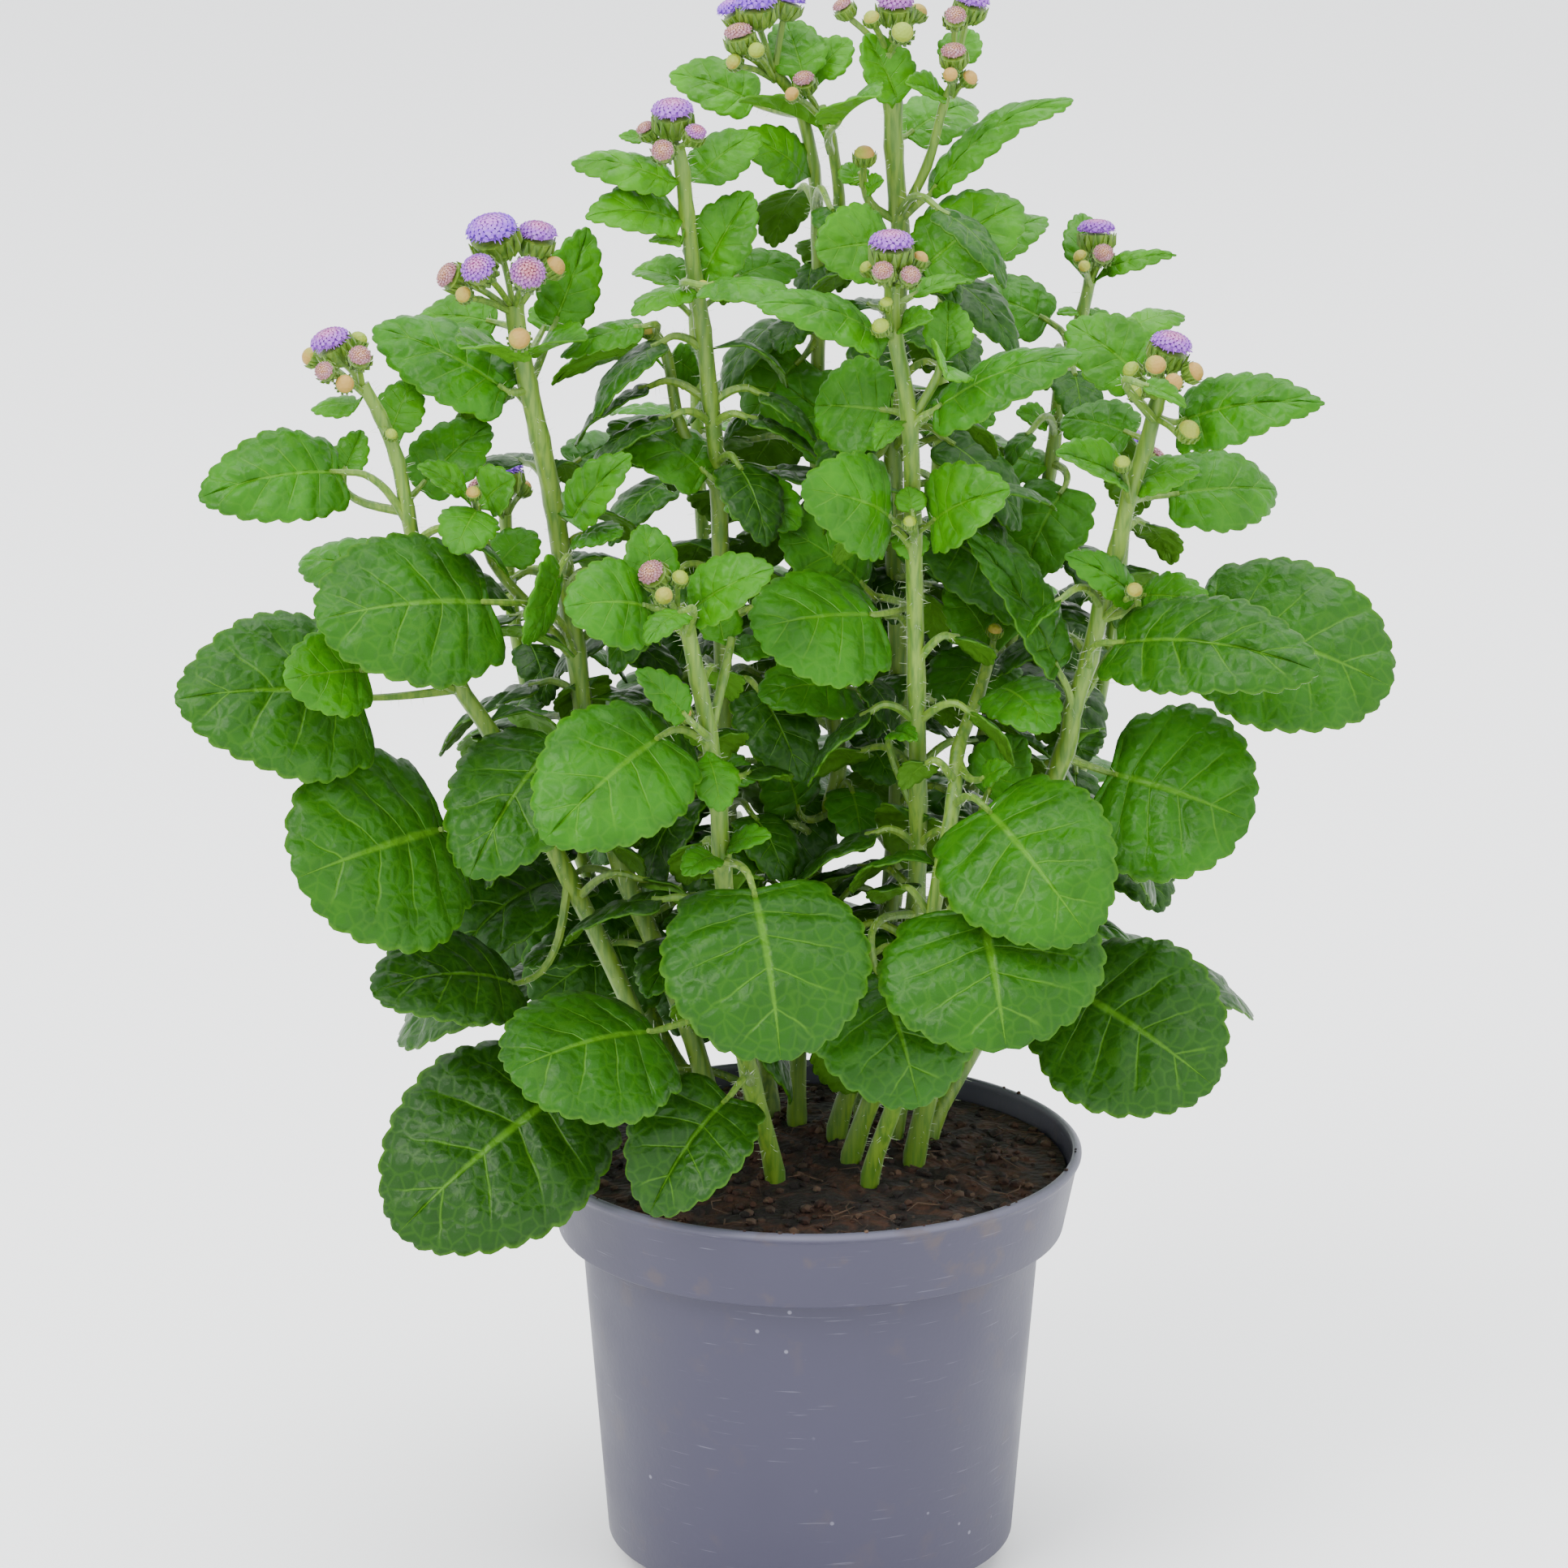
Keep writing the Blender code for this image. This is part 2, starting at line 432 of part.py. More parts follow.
            Leaf((0, 5), (1292, 396, 30), (1186, 362, 38), 17, 34, -0.1, 0.12, 0.35),
            Leaf((0, 5), (1290, 520, 20), (1252, 508, 16), 7, 40, 0.1, 0.1, 0.5),
            Leaf((0, 7), (1332, 330, 26), (1334, 262, 30), 9.5, 12, 0.15, 0.05, 0.5),
            Leaf((0, 7), (1360, 332, 20), (1450, 314, 16), 7, 48, -0.1, 0.08, 0.8),
            Leaf((0, 6), (1328, 384, 22), (1302, 386, 20), 4, 60, 0.1, 0.05, 0.5),
            Leaf((0, 6), (1342, 396, 26), (1380, 402, 30), 8, 50, 0.1, 0.08, 0.5),
        ],
        [
            Head((0, 7), (1351, 289, 24), 4.0, (0, 0.12, 1), LILAC),
            Head((0, 7), (1359, 314, 16), 2.5, (0.1, -0.75, 0.6), BLUSH),
            Head((0, 7), (1331, 316, 18), 1.8, (-0.5, -0.4, 0.8)),
            Head((0, 7), (1336, 328, 14), 1.5, (-0.1, -0.8, 0.5)),
        ],
    ),
    Shoot(
        "shoot_front",
        (-8, -17),
        [
            Stem([(925, 1330, -24), (905, 1230, -32), (889, 1052, -42), (885, 990, -44), (873, 902, -47),
                  (860, 838, -49), (846, 772, -50), (834, 748, -50)], (2.6, 1.9)),
            Stem([(892, 832, -42), (902, 786, -38)], (1.3, 1.0), (0, 4)),
        ],
        [
            Leaf((0, 0), (898, 1352, -44), (800, 1496, -60), 27, 16, 0.25, 0.18, 0.25),
            Leaf((0, 1), (808, 1270, -48), (628, 1322, -68), 38, 34, -0.35, 0.10, 0.25),
            Leaf((0, 2), (928, 1095, -54), (962, 1306, -76), 45, 8, -0.14, 0.14, 0.2),
            Leaf((0, 2), (880, 1054, -48), (842, 1078, -58), 8, 30, 0.1, 0.12, 0.4),
            Leaf((0, 2), (898, 1042, -44), (950, 1030, -50), 7, 42, 0.1, 0.10, 0.4),
            Leaf((0, 4), (816, 906, -54), (670, 1036, -76), 33, 12, -0.14, 0.14, 0.4),
            Leaf((0, 4), (874, 936, -52), (888, 1000, -60), 11, 15, -0.1, 0.14, 0.4),
            Leaf((0, 4), (846, 884, -54), (784, 826, -58), 9, 25, 0.15, 0.10, 0.45),
            Leaf((0, 6), (800, 748, -56), (696, 748, -66), 21, 22, -0.12, 0.16, 0.35),
            Leaf((0, 6), (806, 728, -48), (792, 646, -44), 12, 14, 0.1, 0.10, 0.35),
            Leaf((0, 6), (852, 752, -50), (953, 700, -54), 16, 36, 0.1, 0.10, 0.45),
            Leaf((0, 6), (842, 754, -58), (797, 792, -70), 8, 40, -0.1, 0.12, 0.4),
            Leaf((1, 1), (892, 790, -38), (878, 738, -34), 10, 20, 0.1, 0.06, 0.5),
            Leaf((1, 1), (906, 802, -36), (958, 796, -32), 8, 45, -0.1, 0.10, 0.5),
        ],
        [
            Head((0, 7), (805, 708, -56), 3.2, (-0.5, -0.65, 0.6), BLUSH),
            Head((0, 7), (838, 712, -56), 2.0, (0.3, -0.6, 0.8)),
            Head((0, 7), (818, 734, -62), 2.1, (-0.1, -0.9, 0.4)),
            Head((0, 4), (842, 880, -56), 2.0, (-0.3, -0.7, 0.7)),
        ],
    ),
    Shoot(
        "shoot_right_low",
        (13, -19),
        [
            Stem([(1108, 1340, -25), (1136, 1190, -32), (1160, 1070, -34), (1175, 985, -30), (1180, 925, -24),
                  (1204, 860, -16), (1222, 800, -10)], (2.4, 1.5)),
        ],
        [
            Leaf((0, 1), (1208, 1118, -50), (1240, 1292, -70), 49, 6, -0.14, 0.12, 0.2),
            Leaf((0, 3), (1214, 995, -42), (1342, 1156, -66), 39, 8, -0.14, 0.14, 0.35),
            Leaf((0, 4), (1210, 960, -34), (1246, 944, -40), 6, 30, 0.1, 0.1, 0.5),
            Leaf((0, 5), (1232, 846, -16), (1296, 900, -26), 17, 28, -0.1, 0.12, 0.4),
            Leaf((0, 6), (1214, 780, -16), (1168, 722, -20), 14, 28, -0.1, 0.1, 0.45),
            Leaf((0, 6), (1238, 776, -8), (1262, 720, -2), 14, 24, -0.1, 0.1, 0.45),
        ],
        [
            Head((0, 6), (1226, 776, -16), 1.8, (0.1, -0.4, 1)),
        ],
    ),
]

# Shoots of the far side, which the photograph hides: foot, top, height, and the turn of the first leaf pair
BACK_SHOOTS = [
    ("shoot_back_left", (-22, 16), (-68, 46), 228, 20),
    ("shoot_back_mid_left", (-9, 30), (-26, 74), 268, 75),
    ("shoot_back_mid_right", (12, 29), (30, 72), 276, 40),
    ("shoot_back_right", (27, 12), (70, 42), 236, 10),
]
BACK_THICK = (2.5, 1.6)
BACK_FIRST_NODE = 128 * MM
BACK_NODE_STEP = 38 * MM
BACK_PAIR_TURN = math.radians(82)
BACK_LEAF = (44 * MM, 20 * MM)
BACK_STALK = (0.34, 0.22)
BACK_DROOP = (0.42, 0.10)


@dataclass
class Blade:
    """A placed leaf: its frame, size and form, and the stalk that carries it."""

    root: Vector
    base: Vector
    along: Vector
    side: Vector
    normal: Vector
    length: float
    width: float
    fold: float
    arch: float
    point: float

    def teeth(self):
        if self.length > BIG_LEAF:
            return 5
        if self.length > MIDDLE_LEAF:
            return 3
        return 2 if self.length > SMALL_LEAF else 0

    def lobe(self):
        return LOBE_REACH * min(1, max(0, (self.width - 9 * MM) / (16 * MM)))

    def lift(self, x, y):
        """The blade's height over its own plane: its arch along the midrib and its fold across it."""
        s = x / self.length
        return self.length * self.arch * 4 * s * (1 - s) + self.fold * abs(y)

    def edge(self, p):
        """The margin without teeth, from the stalk at p = 0 to the tip at p = 1, as x along and y across."""
        lobe = self.lobe() * math.sin(math.pi * min(p / LOBE_SPAN, 1))
        x = self.length * ((1 - math.cos(math.pi * p)) / 2 - lobe)
        taper = (1 - p) ** self.point * (1 + 0.58 * self.point)
        return Vector((x, self.width / 2 * math.sin(math.pi * p) ** 0.8 * taper))

    def sessile(self):
        """Whether the blade narrows straight into the stem, with no stalk of its own."""
        return self.width < SMALL_LEAF and (self.base - self.root).length < SESSILE

    def world(self, x, y, z=0):
        return self.base + self.along * x + self.side * y + self.normal * (z + self.lift(x, y))


def margin(blade, teeth, steps=SMOOTH_STEPS):
    """One side of the blade's edge from the stalk to the tip, with each tooth's notch and peak."""
    if not teeth:
        return [blade.edge(k / steps) for k in range(steps + 1)]
    step = (1 - FIRST_TOOTH) / teeth
    marks = [(0.0, 0.0)]
    for k in range(teeth):
        marks.append((FIRST_TOOTH + step * k, -0.5))
        marks.append((FIRST_TOOTH + step * (k + TOOTH_LEAN), 0.5))
    marks.append((1.0, 0.0))
    points = []
    for p, reach in marks:
        here = blade.edge(p)
        back = blade.edge(max(0, p - EDGE_STEP))
        ahead = blade.edge(min(1, p + EDGE_STEP))
        out = Vector((back.y - ahead.y, ahead.x - back.x)).normalized()
        span = (blade.edge(min(1, p + step / 2)) - blade.edge(max(0, p - step / 2))).length
        points.append(here + out * reach * TOOTH_DEPTH * span)
    points[0].y = points[-1].y = 0
    return points


def blade_sheet(blade, teeth, steps=SMOOTH_STEPS):
    """The blade as one sheet of triangles: flat points with their faces, not yet lifted."""
    half = margin(blade, teeth, steps)
    loop = half + [Vector((q.x, -q.y)) for q in half[-2:0:-1]]
    rib = [Vector((blade.length * s, 0)) for s in (LONG_RIB if blade.length > SMALL_LEAF else SHORT_RIB)]
    chain = [0] + list(range(len(loop), len(loop) + len(rib))) + [len(half) - 1]
    found = geometry.delaunay_2d_cdt(loop + rib, list(zip(chain, chain[1:])), [list(range(len(loop)))],
                                     1, 1e-6)
    return found[0], found[2]


def stalk_points(blade):
    """The leaf stalk's route, from its stem to just inside the blade."""
    reach = (blade.base - blade.root).length
    bend = blade.base - blade.along * reach * 0.45
    end = blade.world(min(2.2 * MM, blade.length * 0.12), 0)
    points = []
    for k in range(4):
        t = k / 3
        points.append(blade.root * (1 - t) ** 2 + bend * 2 * t * (1 - t) + blade.base * t ** 2)
    return points + [end]


def photo_blade(leaf, shoot, number):
    """A leaf of the photographed side, turned about its midrib from facing the viewer."""
    stem, node = leaf.at
    base = seen(*leaf.base)
    along = seen(*leaf.tip) - base
    length = along.length
    along.normalize()
    face = EYE - base
    face = (face - along * face.dot(along)).normalized()
    rise = along.cross(face)
    if rise.dot(LEAF_SIDE) < 0:
        rise = -rise
    turn = math.radians(leaf.roll)
    normal = face * math.cos(turn) + rise * math.sin(turn)
    root = seen(*shoot.stems[stem].path[node]) - UP * (NODE_SINK + NODE_STEP * (number % 7))
    return Blade(root, base, along, normal.cross(along), normal, length, leaf.width * MM,
                 leaf.fold, leaf.arch, leaf.point)


def probe(blade, room):
    """The blade and stalk, thickened by the room that they keep from others."""
    points, faces = blade_sheet(blade, 0, PROBE_STEPS)
    points = [q * PROBE_GROWTH for q in points]
    count = len(points)
    half = BLADE / 2 + room / 2
    spots = [blade.world(q.x, q.y, half) for q in points] + [blade.world(q.x, q.y, -half) for q in points]
    polygons = [tuple(f) for f in faces] + [tuple(count + i for i in reversed(f)) for f in faces]
    route = stalk_points(blade)
    way = blade.base - blade.root
    reach = STALK_RADIUS + room / 2
    for flat in (way.cross(UP).normalized() * reach, UP * reach):
        start = len(spots)
        for q in route[1:4]:
            spots += [q + flat, q - flat]
        for k in (start, start + 2):
            polygons.append((k, k + 1, k + 3, k + 2))
    return BVHTree.FromPolygons(spots, polygons, all_triangles=False, epsilon=0.0), box_of(spots)


def box_of(spots):
    low = Vector(min(q[k] for q in spots) for k in range(3))
    high = Vector(max(q[k] for q in spots) for k in range(3))
    return low, high


def boxes_meet(one, other):
    return all(one[0][k] <= other[1][k] and other[0][k] <= one[1][k] for k in range(3))


def tube_probe(points, radius):
    """A square tube round a route, for testing what comes near it."""
    spots = []
    for k, here in enumerate(points):
        way = (points[min(k + 1, len(points) - 1)] - points[max(k - 1, 0)]).normalized()
        flat = way.cross(Vector((0.31, 0.17, 0.93))).normalized()
        deep = way.cross(flat)
        spots += [here + flat * radius, here + deep * radius, here - flat * radius, here - deep * radius]
    faces = []
    for k in range(len(points) - 1):
        for j in range(4):
            a = 4 * k + j
            b = 4 * k + (j + 1) % 4
            faces.append((a, b, b + 4, a + 4))
    faces += [(0, 1, 2, 3), tuple(len(spots) - 4 + j for j in range(4))]
    return BVHTree.FromPolygons(spots, faces, all_triangles=False, epsilon=0.0), box_of(spots)


def moved(blade, slide, turn, size, tip_slide):
    """The same leaf, slid along the line of sight, turned about its midrib, its tip slid, or made smaller."""
    ray = (blade.base - EYE).normalized()
    base = blade.base + ray * slide
    tip = blade.base + blade.along * blade.length + ray * (slide + tip_slide)
    along = tip - base
    length = along.length * size
    along.normalize()
    normal = blade.normal - along * blade.normal.dot(along)
    normal = Matrix.Rotation(turn, 3, along) @ normal.normalized()
    return Blade(blade.root, base, along, normal.cross(along), normal, length, blade.width * size,
                 blade.fold, blade.arch, blade.point)


def tries():
    """The ways to bend a leaf clear of others, from the gentlest on."""
    slides = (0, -3, 3, -6, 6, -9, 9, -13, 13, -17, 17)
    for size in (1.0, 0.88, 0.74):
        for turn in (0, 12, -12, 24, -24):
            for slide in slides:
                for tip_slide in (0, -7, 7):
                    yield slide * MM, math.radians(turn), size, tip_slide * MM


def settle(blade, shoot_name, taken):
    """The first try at this leaf that clears everything placed so far, or none."""
    for slide, turn, size, tip_slide in tries():
        trial = moved(blade, slide, turn, size, tip_slide)
        tree, box = probe(trial, CLEARANCE)
        if not any(owner != shoot_name and boxes_meet(box, other_box) and tree.overlap(other_tree)
                   for other_tree, other_box, owner in taken):
            taken.append((tree, box, None))
            return trial
    return None


def back_blades(points, first_turn):
    """Opposite pairs of leaves up a stem of the far side, each pair turned across the one below."""
    blades = []
    top = points[-1].z
    steps = int((top - BACK_FIRST_NODE) / BACK_NODE_STEP) + 1
    outward = Vector((points[-1].x, points[-1].y, 0)).normalized()
    for k in range(steps):
        height = BACK_FIRST_NODE + BACK_NODE_STEP * k
        share = k / max(1, steps - 1)
        root = at_height(points, height)
        for j in range(2):
            turn = math.radians(first_turn) + BACK_PAIR_TURN * k + math.pi * j
            way = Vector((math.cos(turn), math.sin(turn), 0))
            lean = way.dot(outward)
            size = (1 - share) * BACK_LEAF[0] + share * BACK_LEAF[1]
            size *= 0.86 + 0.14 * lean
            droop = (1 - share) * BACK_DROOP[0] + share * BACK_DROOP[1]
            stalk = size * ((1 - share) * BACK_STALK[0] + share * BACK_STALK[1])
            along = (way - UP * droop).normalized()
            side = along.cross(UP).normalized()
            normal = side.cross(along).normalized()
            base = root + way * (stalk + 2 * MM) + UP * stalk * 0.3
            blades.append(Blade(root, base, along, normal.cross(along), normal, size,
                                size * (0.95 - 0.25 * share), -0.12, 0.13, 0.3 + 0.3 * share))
    return blades


def at_height(points, height):
    for low, high in zip(points, points[1:]):
        if low.z <= height <= high.z:
            return low.lerp(high, (height - low.z) / (high.z - low.z))
    return points[-1].copy()


def back_route(foot, top, height):
    start = Vector((foot[0], foot[1], SOIL_EDGE / MM)) * MM
    end = Vector((top[0], top[1], height)) * MM
    points = []
    for k in range(7):
        t = k / 6
        spread = math.sin(t * math.pi / 2)
        points.append(Vector((start.x + (end.x - start.x) * spread, start.y + (end.y - start.y) * spread,
                              start.z + (end.z - start.z) * t)))
    return points


def back_heads(top, outward):
    """A small cluster at a far shoot's top: one open head and its buds."""
    side = outward.cross(UP).normalized()
    return [
        (top + UP * 9 * MM, 4.2 * MM, (UP + outward * 0.25).normalized(), VIOLET),
        (top + UP * 5 * MM + outward * 7 * MM, 2.9 * MM, (outward + UP * 0.7).normalized(), BLUSH),
        (top + UP * 5 * MM + side * 7 * MM, 2.2 * MM, (side + UP).normalized(), None),
        (top + UP * 5 * MM - side * 7 * MM, 2.2 * MM, (UP - side).normalized(), None),
    ]


class Plant:
    """The whole plant laid out: each shoot's stems, leaves and heads, bent clear of one another."""

    def __init__(self):
        self.stems = {}
        self.blades = {}
        self.heads = {}
        self.feet = {}
        self.lay_out()

    def lay_out(self):
        taken = []
        wanted = []
        for shoot in SHOOTS:
            self.lay_stems(shoot)
            self.heads[shoot.name] = [
                (seen(*shoot.stems[h.at[0]].path[h.at[1]]), seen(*h.middle), h.radius * MM,
                 Vector(h.face).normalized(), h.colour) for h in shoot.heads]
            wanted += [(shoot.name, photo_blade(leaf, shoot, k)) for k, leaf in enumerate(shoot.leaves)]
        for name, foot, top, height, first_turn in BACK_SHOOTS:
            route = back_route(foot, top, height)
            self.feet[name] = route[0].copy()
            root = route[0] - UP * ROOT_DEPTH
            route[0] = route[0] + UP * COLLAR
            self.stems[name] = [([root] + route, BACK_THICK)]
            outward = Vector((top[0], top[1], 0)).normalized()
            self.heads[name] = [(route[-1],) + head for head in back_heads(route[-1], outward)]
            wanted += [(name, blade) for blade in back_blades(route, first_turn)]
        for name, stems in self.stems.items():
            for points, thick in stems:
                for k in range(len(points) - 1):
                    piece = [points[k], points[k + 1]]
                    taken.append(tube_probe(piece, (thick[0] * MM + CLEARANCE) * PROBE_CORNER) + (name,))
            for root, middle, radius, face, colour in self.heads[name]:
                body = [middle - face * radius * 1.0, middle + face * radius * 0.9]
                taken.append(tube_probe(body, radius * 1.35 + GAP) + (None,))
                taken.append(tube_probe([root, middle], STALK_TIP + CLEARANCE) + (name,))
        for name, blade in wanted:
            placed = settle(blade, name, taken)
            if placed:
                self.blades.setdefault(name, []).append(placed)

    def lay_stems(self, shoot):
        foot = Vector((shoot.foot[0] * MM, shoot.foot[1] * MM, SOIL_EDGE))
        self.feet[shoot.name] = foot
        laid = []
        for stem in shoot.stems:
            points = [seen(*spot) for spot in stem.path]
            if stem.fork:
                parent, node = stem.fork
                points.insert(0, seen(*shoot.stems[parent].path[node]) - UP * FORK_SINK)
            else:
                points = [foot - UP * ROOT_DEPTH, foot + UP * COLLAR] + points
            laid.append((points, stem.thick))
        self.stems[shoot.name] = laid


def new_object(name, mesh, collection):
    thing = bpy.data.objects.new(name, mesh)
    collection.objects.link(thing)
    return thing


def finish(name, colour, roughness):
    material = bpy.data.materials.new(name)
    material.use_nodes = True
    shader = material.node_tree.nodes["Principled BSDF"]
    shader.inputs["Base Color"].default_value = (*colour, 1)
    shader.inputs["Roughness"].default_value = roughness
    material.diffuse_color = (*colour, 1)
    return material


def evaluated_mesh(thing):
    graph = bpy.context.evaluated_depsgraph_get()
    return bpy.data.meshes.new_from_object(thing.evaluated_get(graph))


def bake(thing):
    """Apply the object's modifiers to its mesh."""
    mesh = evaluated_mesh(thing)
    thing.modifiers.clear()
    thing.data = mesh


def tube(name, points, radii, collection, sides=6):
    """A closed tube along a route, made from a bevelled curve and turned into a mesh."""
    curve = bpy.data.curves.new(name, "CURVE")
    curve.dimensions = "3D"
    curve.bevel_depth = 1.0
    curve.bevel_resolution = (sides - 4) // 2
    curve.use_fill_caps = True
    line = curve.splines.new("POLY")
    line.points.add(len(points) - 1)
    for spot, place, radius in zip(line.points, points, radii):
        spot.co = (*place, 1)
        spot.radius = radius
    guide = bpy.data.objects.new(name, curve)
    collection.objects.link(guide)
    mesh = evaluated_mesh(guide)
    bpy.data.objects.remove(guide)
    shape = bmesh.new()
    shape.from_mesh(mesh)
    bmesh.ops.remove_doubles(shape, verts=shape.verts, dist=1e-6)
    bmesh.ops.recalc_face_normals(shape, faces=shape.faces)
    shape.to_mesh(mesh)
    shape.free()
    return new_object(name, mesh, collection)


def tapered(count, start, end):
    return [start + (end - start) * k / (count - 1) for k in range(count)]


def leaf_solid(name, blade, collection):
    """A blade with its toothed edge, as a lifted sheet given its thickness."""
    points, faces = blade_sheet(blade, blade.teeth())
    shape = bmesh.new()
    spots = [shape.verts.new(blade.world(q.x, q.y)) for q in points]
    if blade.sessile():
        heel = min(range(len(points)), key=lambda i: points[i].length)
        spots[heel].co = blade.root
    for face in faces:
        shape.faces.new([spots[i] for i in face])
    bmesh.ops.recalc_face_normals(shape, faces=shape.faces)
    bmesh.ops.solidify(shape, geom=shape.faces[:], thickness=BLADE)
    bmesh.ops.recalc_face_normals(shape, faces=shape.faces)
    bmesh.ops.triangulate(shape, faces=shape.faces)
    mesh = bpy.data.meshes.new(name)
    shape.to_mesh(mesh)
    shape.free()
    return new_object(name, mesh, collection)


def turned_to(face):
    return face.to_track_quat("Z", "Y").to_matrix().to_4x4()


def cup_solid(name, root, middle, radius, face, collection):
    """A head's stalk and the green cup that widens from it to under the florets."""
    depth = radius * 2 * CUP_DEPTH
    route = [root, middle - face * depth, middle]
    return tube(name, route, [STALK_TIP, radius * 0.5, radius * 0.95], collection, 6)


def bud_solid(name, root, middle, radius, face, collection):
    """A green bud on its stalk."""
    route = [root, middle - face * radius * 0.8, middle, middle + face * radius * 0.8]
    radii = [STALK_TIP, radius * 0.6, radius, radius * 0.5]
    return tube(name, route, radii, collection, 4)


def cap_object(name, middle, radius, face, colour, collection):
    """The coloured top of a head: a low cushion whose florets stand up in bumps, fringed at its edge."""
    shape = bmesh.new()
    rise = radius * CAP_RISE
    bmesh.ops.create_cone(shape, cap_ends=True, cap_tris=True, segments=CAP_SIDES, radius1=radius * 0.9,
                          radius2=radius * 0.6, depth=rise * 2)
    belt = [edge for edge in shape.edges if abs(edge.verts[0].co.z - edge.verts[1].co.z) > rise]
    bmesh.ops.subdivide_edges(shape, edges=belt, cuts=1)
    for spot in shape.verts:
        ring = math.hypot(spot.co.x, spot.co.y)
        bump = 1 if round(math.atan2(spot.co.y, spot.co.x) * CAP_SIDES / math.tau) % 2 else -1
        if abs(spot.co.z) < rise / 2:
            spot.co.x *= (CAP_SPREAD + CAP_FRINGE * bump)
            spot.co.y *= (CAP_SPREAD + CAP_FRINGE * bump)
            spot.co.z -= rise * CAP_DROOP
        elif spot.co.z > 0:
            spot.co.z += rise * (CAP_CROWN if ring < 1e-6 else -CAP_BUMP * bump)
        spot.co.z += rise
    bmesh.ops.triangulate(shape, faces=shape.faces)
    place = Matrix.Translation(middle + face * GAP) @ turned_to(face)
    bmesh.ops.transform(shape, matrix=place, verts=shape.verts)
    mesh = bpy.data.meshes.new(name)
    shape.to_mesh(mesh)
    shape.free()
    thing = new_object(name, mesh, collection)
    mesh.materials.append(finish(f"{name}_florets", colour, 0.8))
    return thing


def joined(main, extras):
    """Join a shoot's pieces to its main stem with one Boolean union, then remove the pieces."""
    union = main.modifiers.new("union", "BOOLEAN")
    union.operation = "UNION"
    union.operand_type = "COLLECTION"
    union.collection = extras
    union.solver = "MANIFOLD"
    bpy.context.view_layer.update()
    bake(main)
    for thing in list(extras.objects):
        bpy.data.objects.remove(thing)
    bpy.context.scene.collection.children.unlink(extras)
    bpy.data.collections.remove(extras)
    shape = bmesh.new()
    shape.from_mesh(main.data)
    bmesh.ops.dissolve_limit(shape, angle_limit=FLAT_ANGLE, verts=shape.verts, edges=shape.edges)
    bmesh.ops.triangulate(shape, faces=shape.faces)
    drop_scraps(shape)
    shape.to_mesh(main.data)
    shape.free()


def drop_scraps(shape):
    """Delete every body but the one with the most corners."""
    left = set(shape.verts)
    bodies = []
    while left:
        body = set()
        edge = [left.pop()]
        while edge:
            spot = edge.pop()
            body.add(spot)
            for link in spot.link_edges:
                other = link.other_vert(spot)
                if other in left:
                    left.remove(other)
                    edge.append(other)
        bodies.append(body)
    bodies.sort(key=len)
    for body in bodies[:-1]:
        bmesh.ops.delete(shape, geom=list(body), context="VERTS")


def build_shoot(name, plant, parts):
    extras = bpy.data.collections.new(f"{name}_pieces")
    bpy.context.scene.collection.children.link(extras)
    main = None
    for k, (points, thick) in enumerate(plant.stems[name]):
        home = parts if k == 0 else extras
        radii = tapered(len(points), thick[0] * MM, thick[1] * MM)
        piece = tube(name if k == 0 else f"{name}_branch_{k}", points, radii, home)
        main = main or piece
    for k, blade in enumerate(plant.blades.get(name, [])):
        if blade.width < LEAST_LEAF:
            continue
        leaf_solid(f"{name}_blade_{k}", blade, extras)
        if not blade.sessile():
            route = stalk_points(blade)
            if (blade.base - blade.root).length < LONG_STALK:
                route = [route[0], route[-1]]
            else:
                route = [route[0], route[2], route[-1]]
            radii = tapered(len(route), STALK_RADIUS, STALK_RADIUS * 0.6)
            tube(f"{name}_stalk_{k}", route, radii, extras, 4)
    blooms = 0
    for k, (top, middle, radius, face, colour) in enumerate(plant.heads[name]):
        root = top - UP * (SPRAY_SINK + SPRAY_STEP * k)
        if colour:
            blooms += 1
            cup_solid(f"{name}_cup_{k}", root, middle, radius, face, extras)
            cap_object(f"{name}_bloom_{blooms}", middle, radius, face, colour, parts)
        elif radius > LEAST_BUD:
            bud_solid(f"{name}_bud_{k}", root, middle, radius, face, extras)
    joined(main, extras)
    main.data.materials.clear()
    main.data.materials.append(finish(f"{name}_green", GREEN, 0.5))


def turned_object(name, profile, steps, collection):
    """A profile of (radius, height) points turned round the Z axis, welded and closed."""
    shape = bmesh.new()
    spots = [shape.verts.new((r, 0, z)) for r, z in profile]
    edges = [shape.edges.new(pair) for pair in zip(spots, spots[1:])]
    bmesh.ops.spin(shape, geom=spots + edges, axis=(0, 0, 1), cent=(0, 0, 0), steps=steps,
                   angle=2 * math.pi, use_merge=True)
    bmesh.ops.remove_doubles(shape, verts=shape.verts, dist=1e-6)
    bmesh.ops.recalc_face_normals(shape, faces=shape.faces)
    mesh = bpy.data.meshes.new(name)
    shape.to_mesh(mesh)
    shape.free()
    return new_object(name, mesh, collection)


def cutter(name, places, radius, depth, sides, collection):
    """Upright rods, as a cutting tool, at each place's top."""
    shape = bmesh.new()
    for place in places:
        spot = Matrix.Translation(place - UP * depth / 2)
        bmesh.ops.create_cone(shape, cap_ends=True, segments=sides, radius1=radius, radius2=radius,
                              depth=depth, matrix=spot)
    mesh = bpy.data.meshes.new(name)
    shape.to_mesh(mesh)
    shape.free()
    tool = new_object(name, mesh, collection)
    tool.hide_render = True
    tool.display_type = "WIRE"
    return tool


def cut(thing, tool):
    hole = thing.modifiers.new("holes", "BOOLEAN")
    hole.operation = "DIFFERENCE"
    hole.object = tool
    hole.solver = "EXACT"


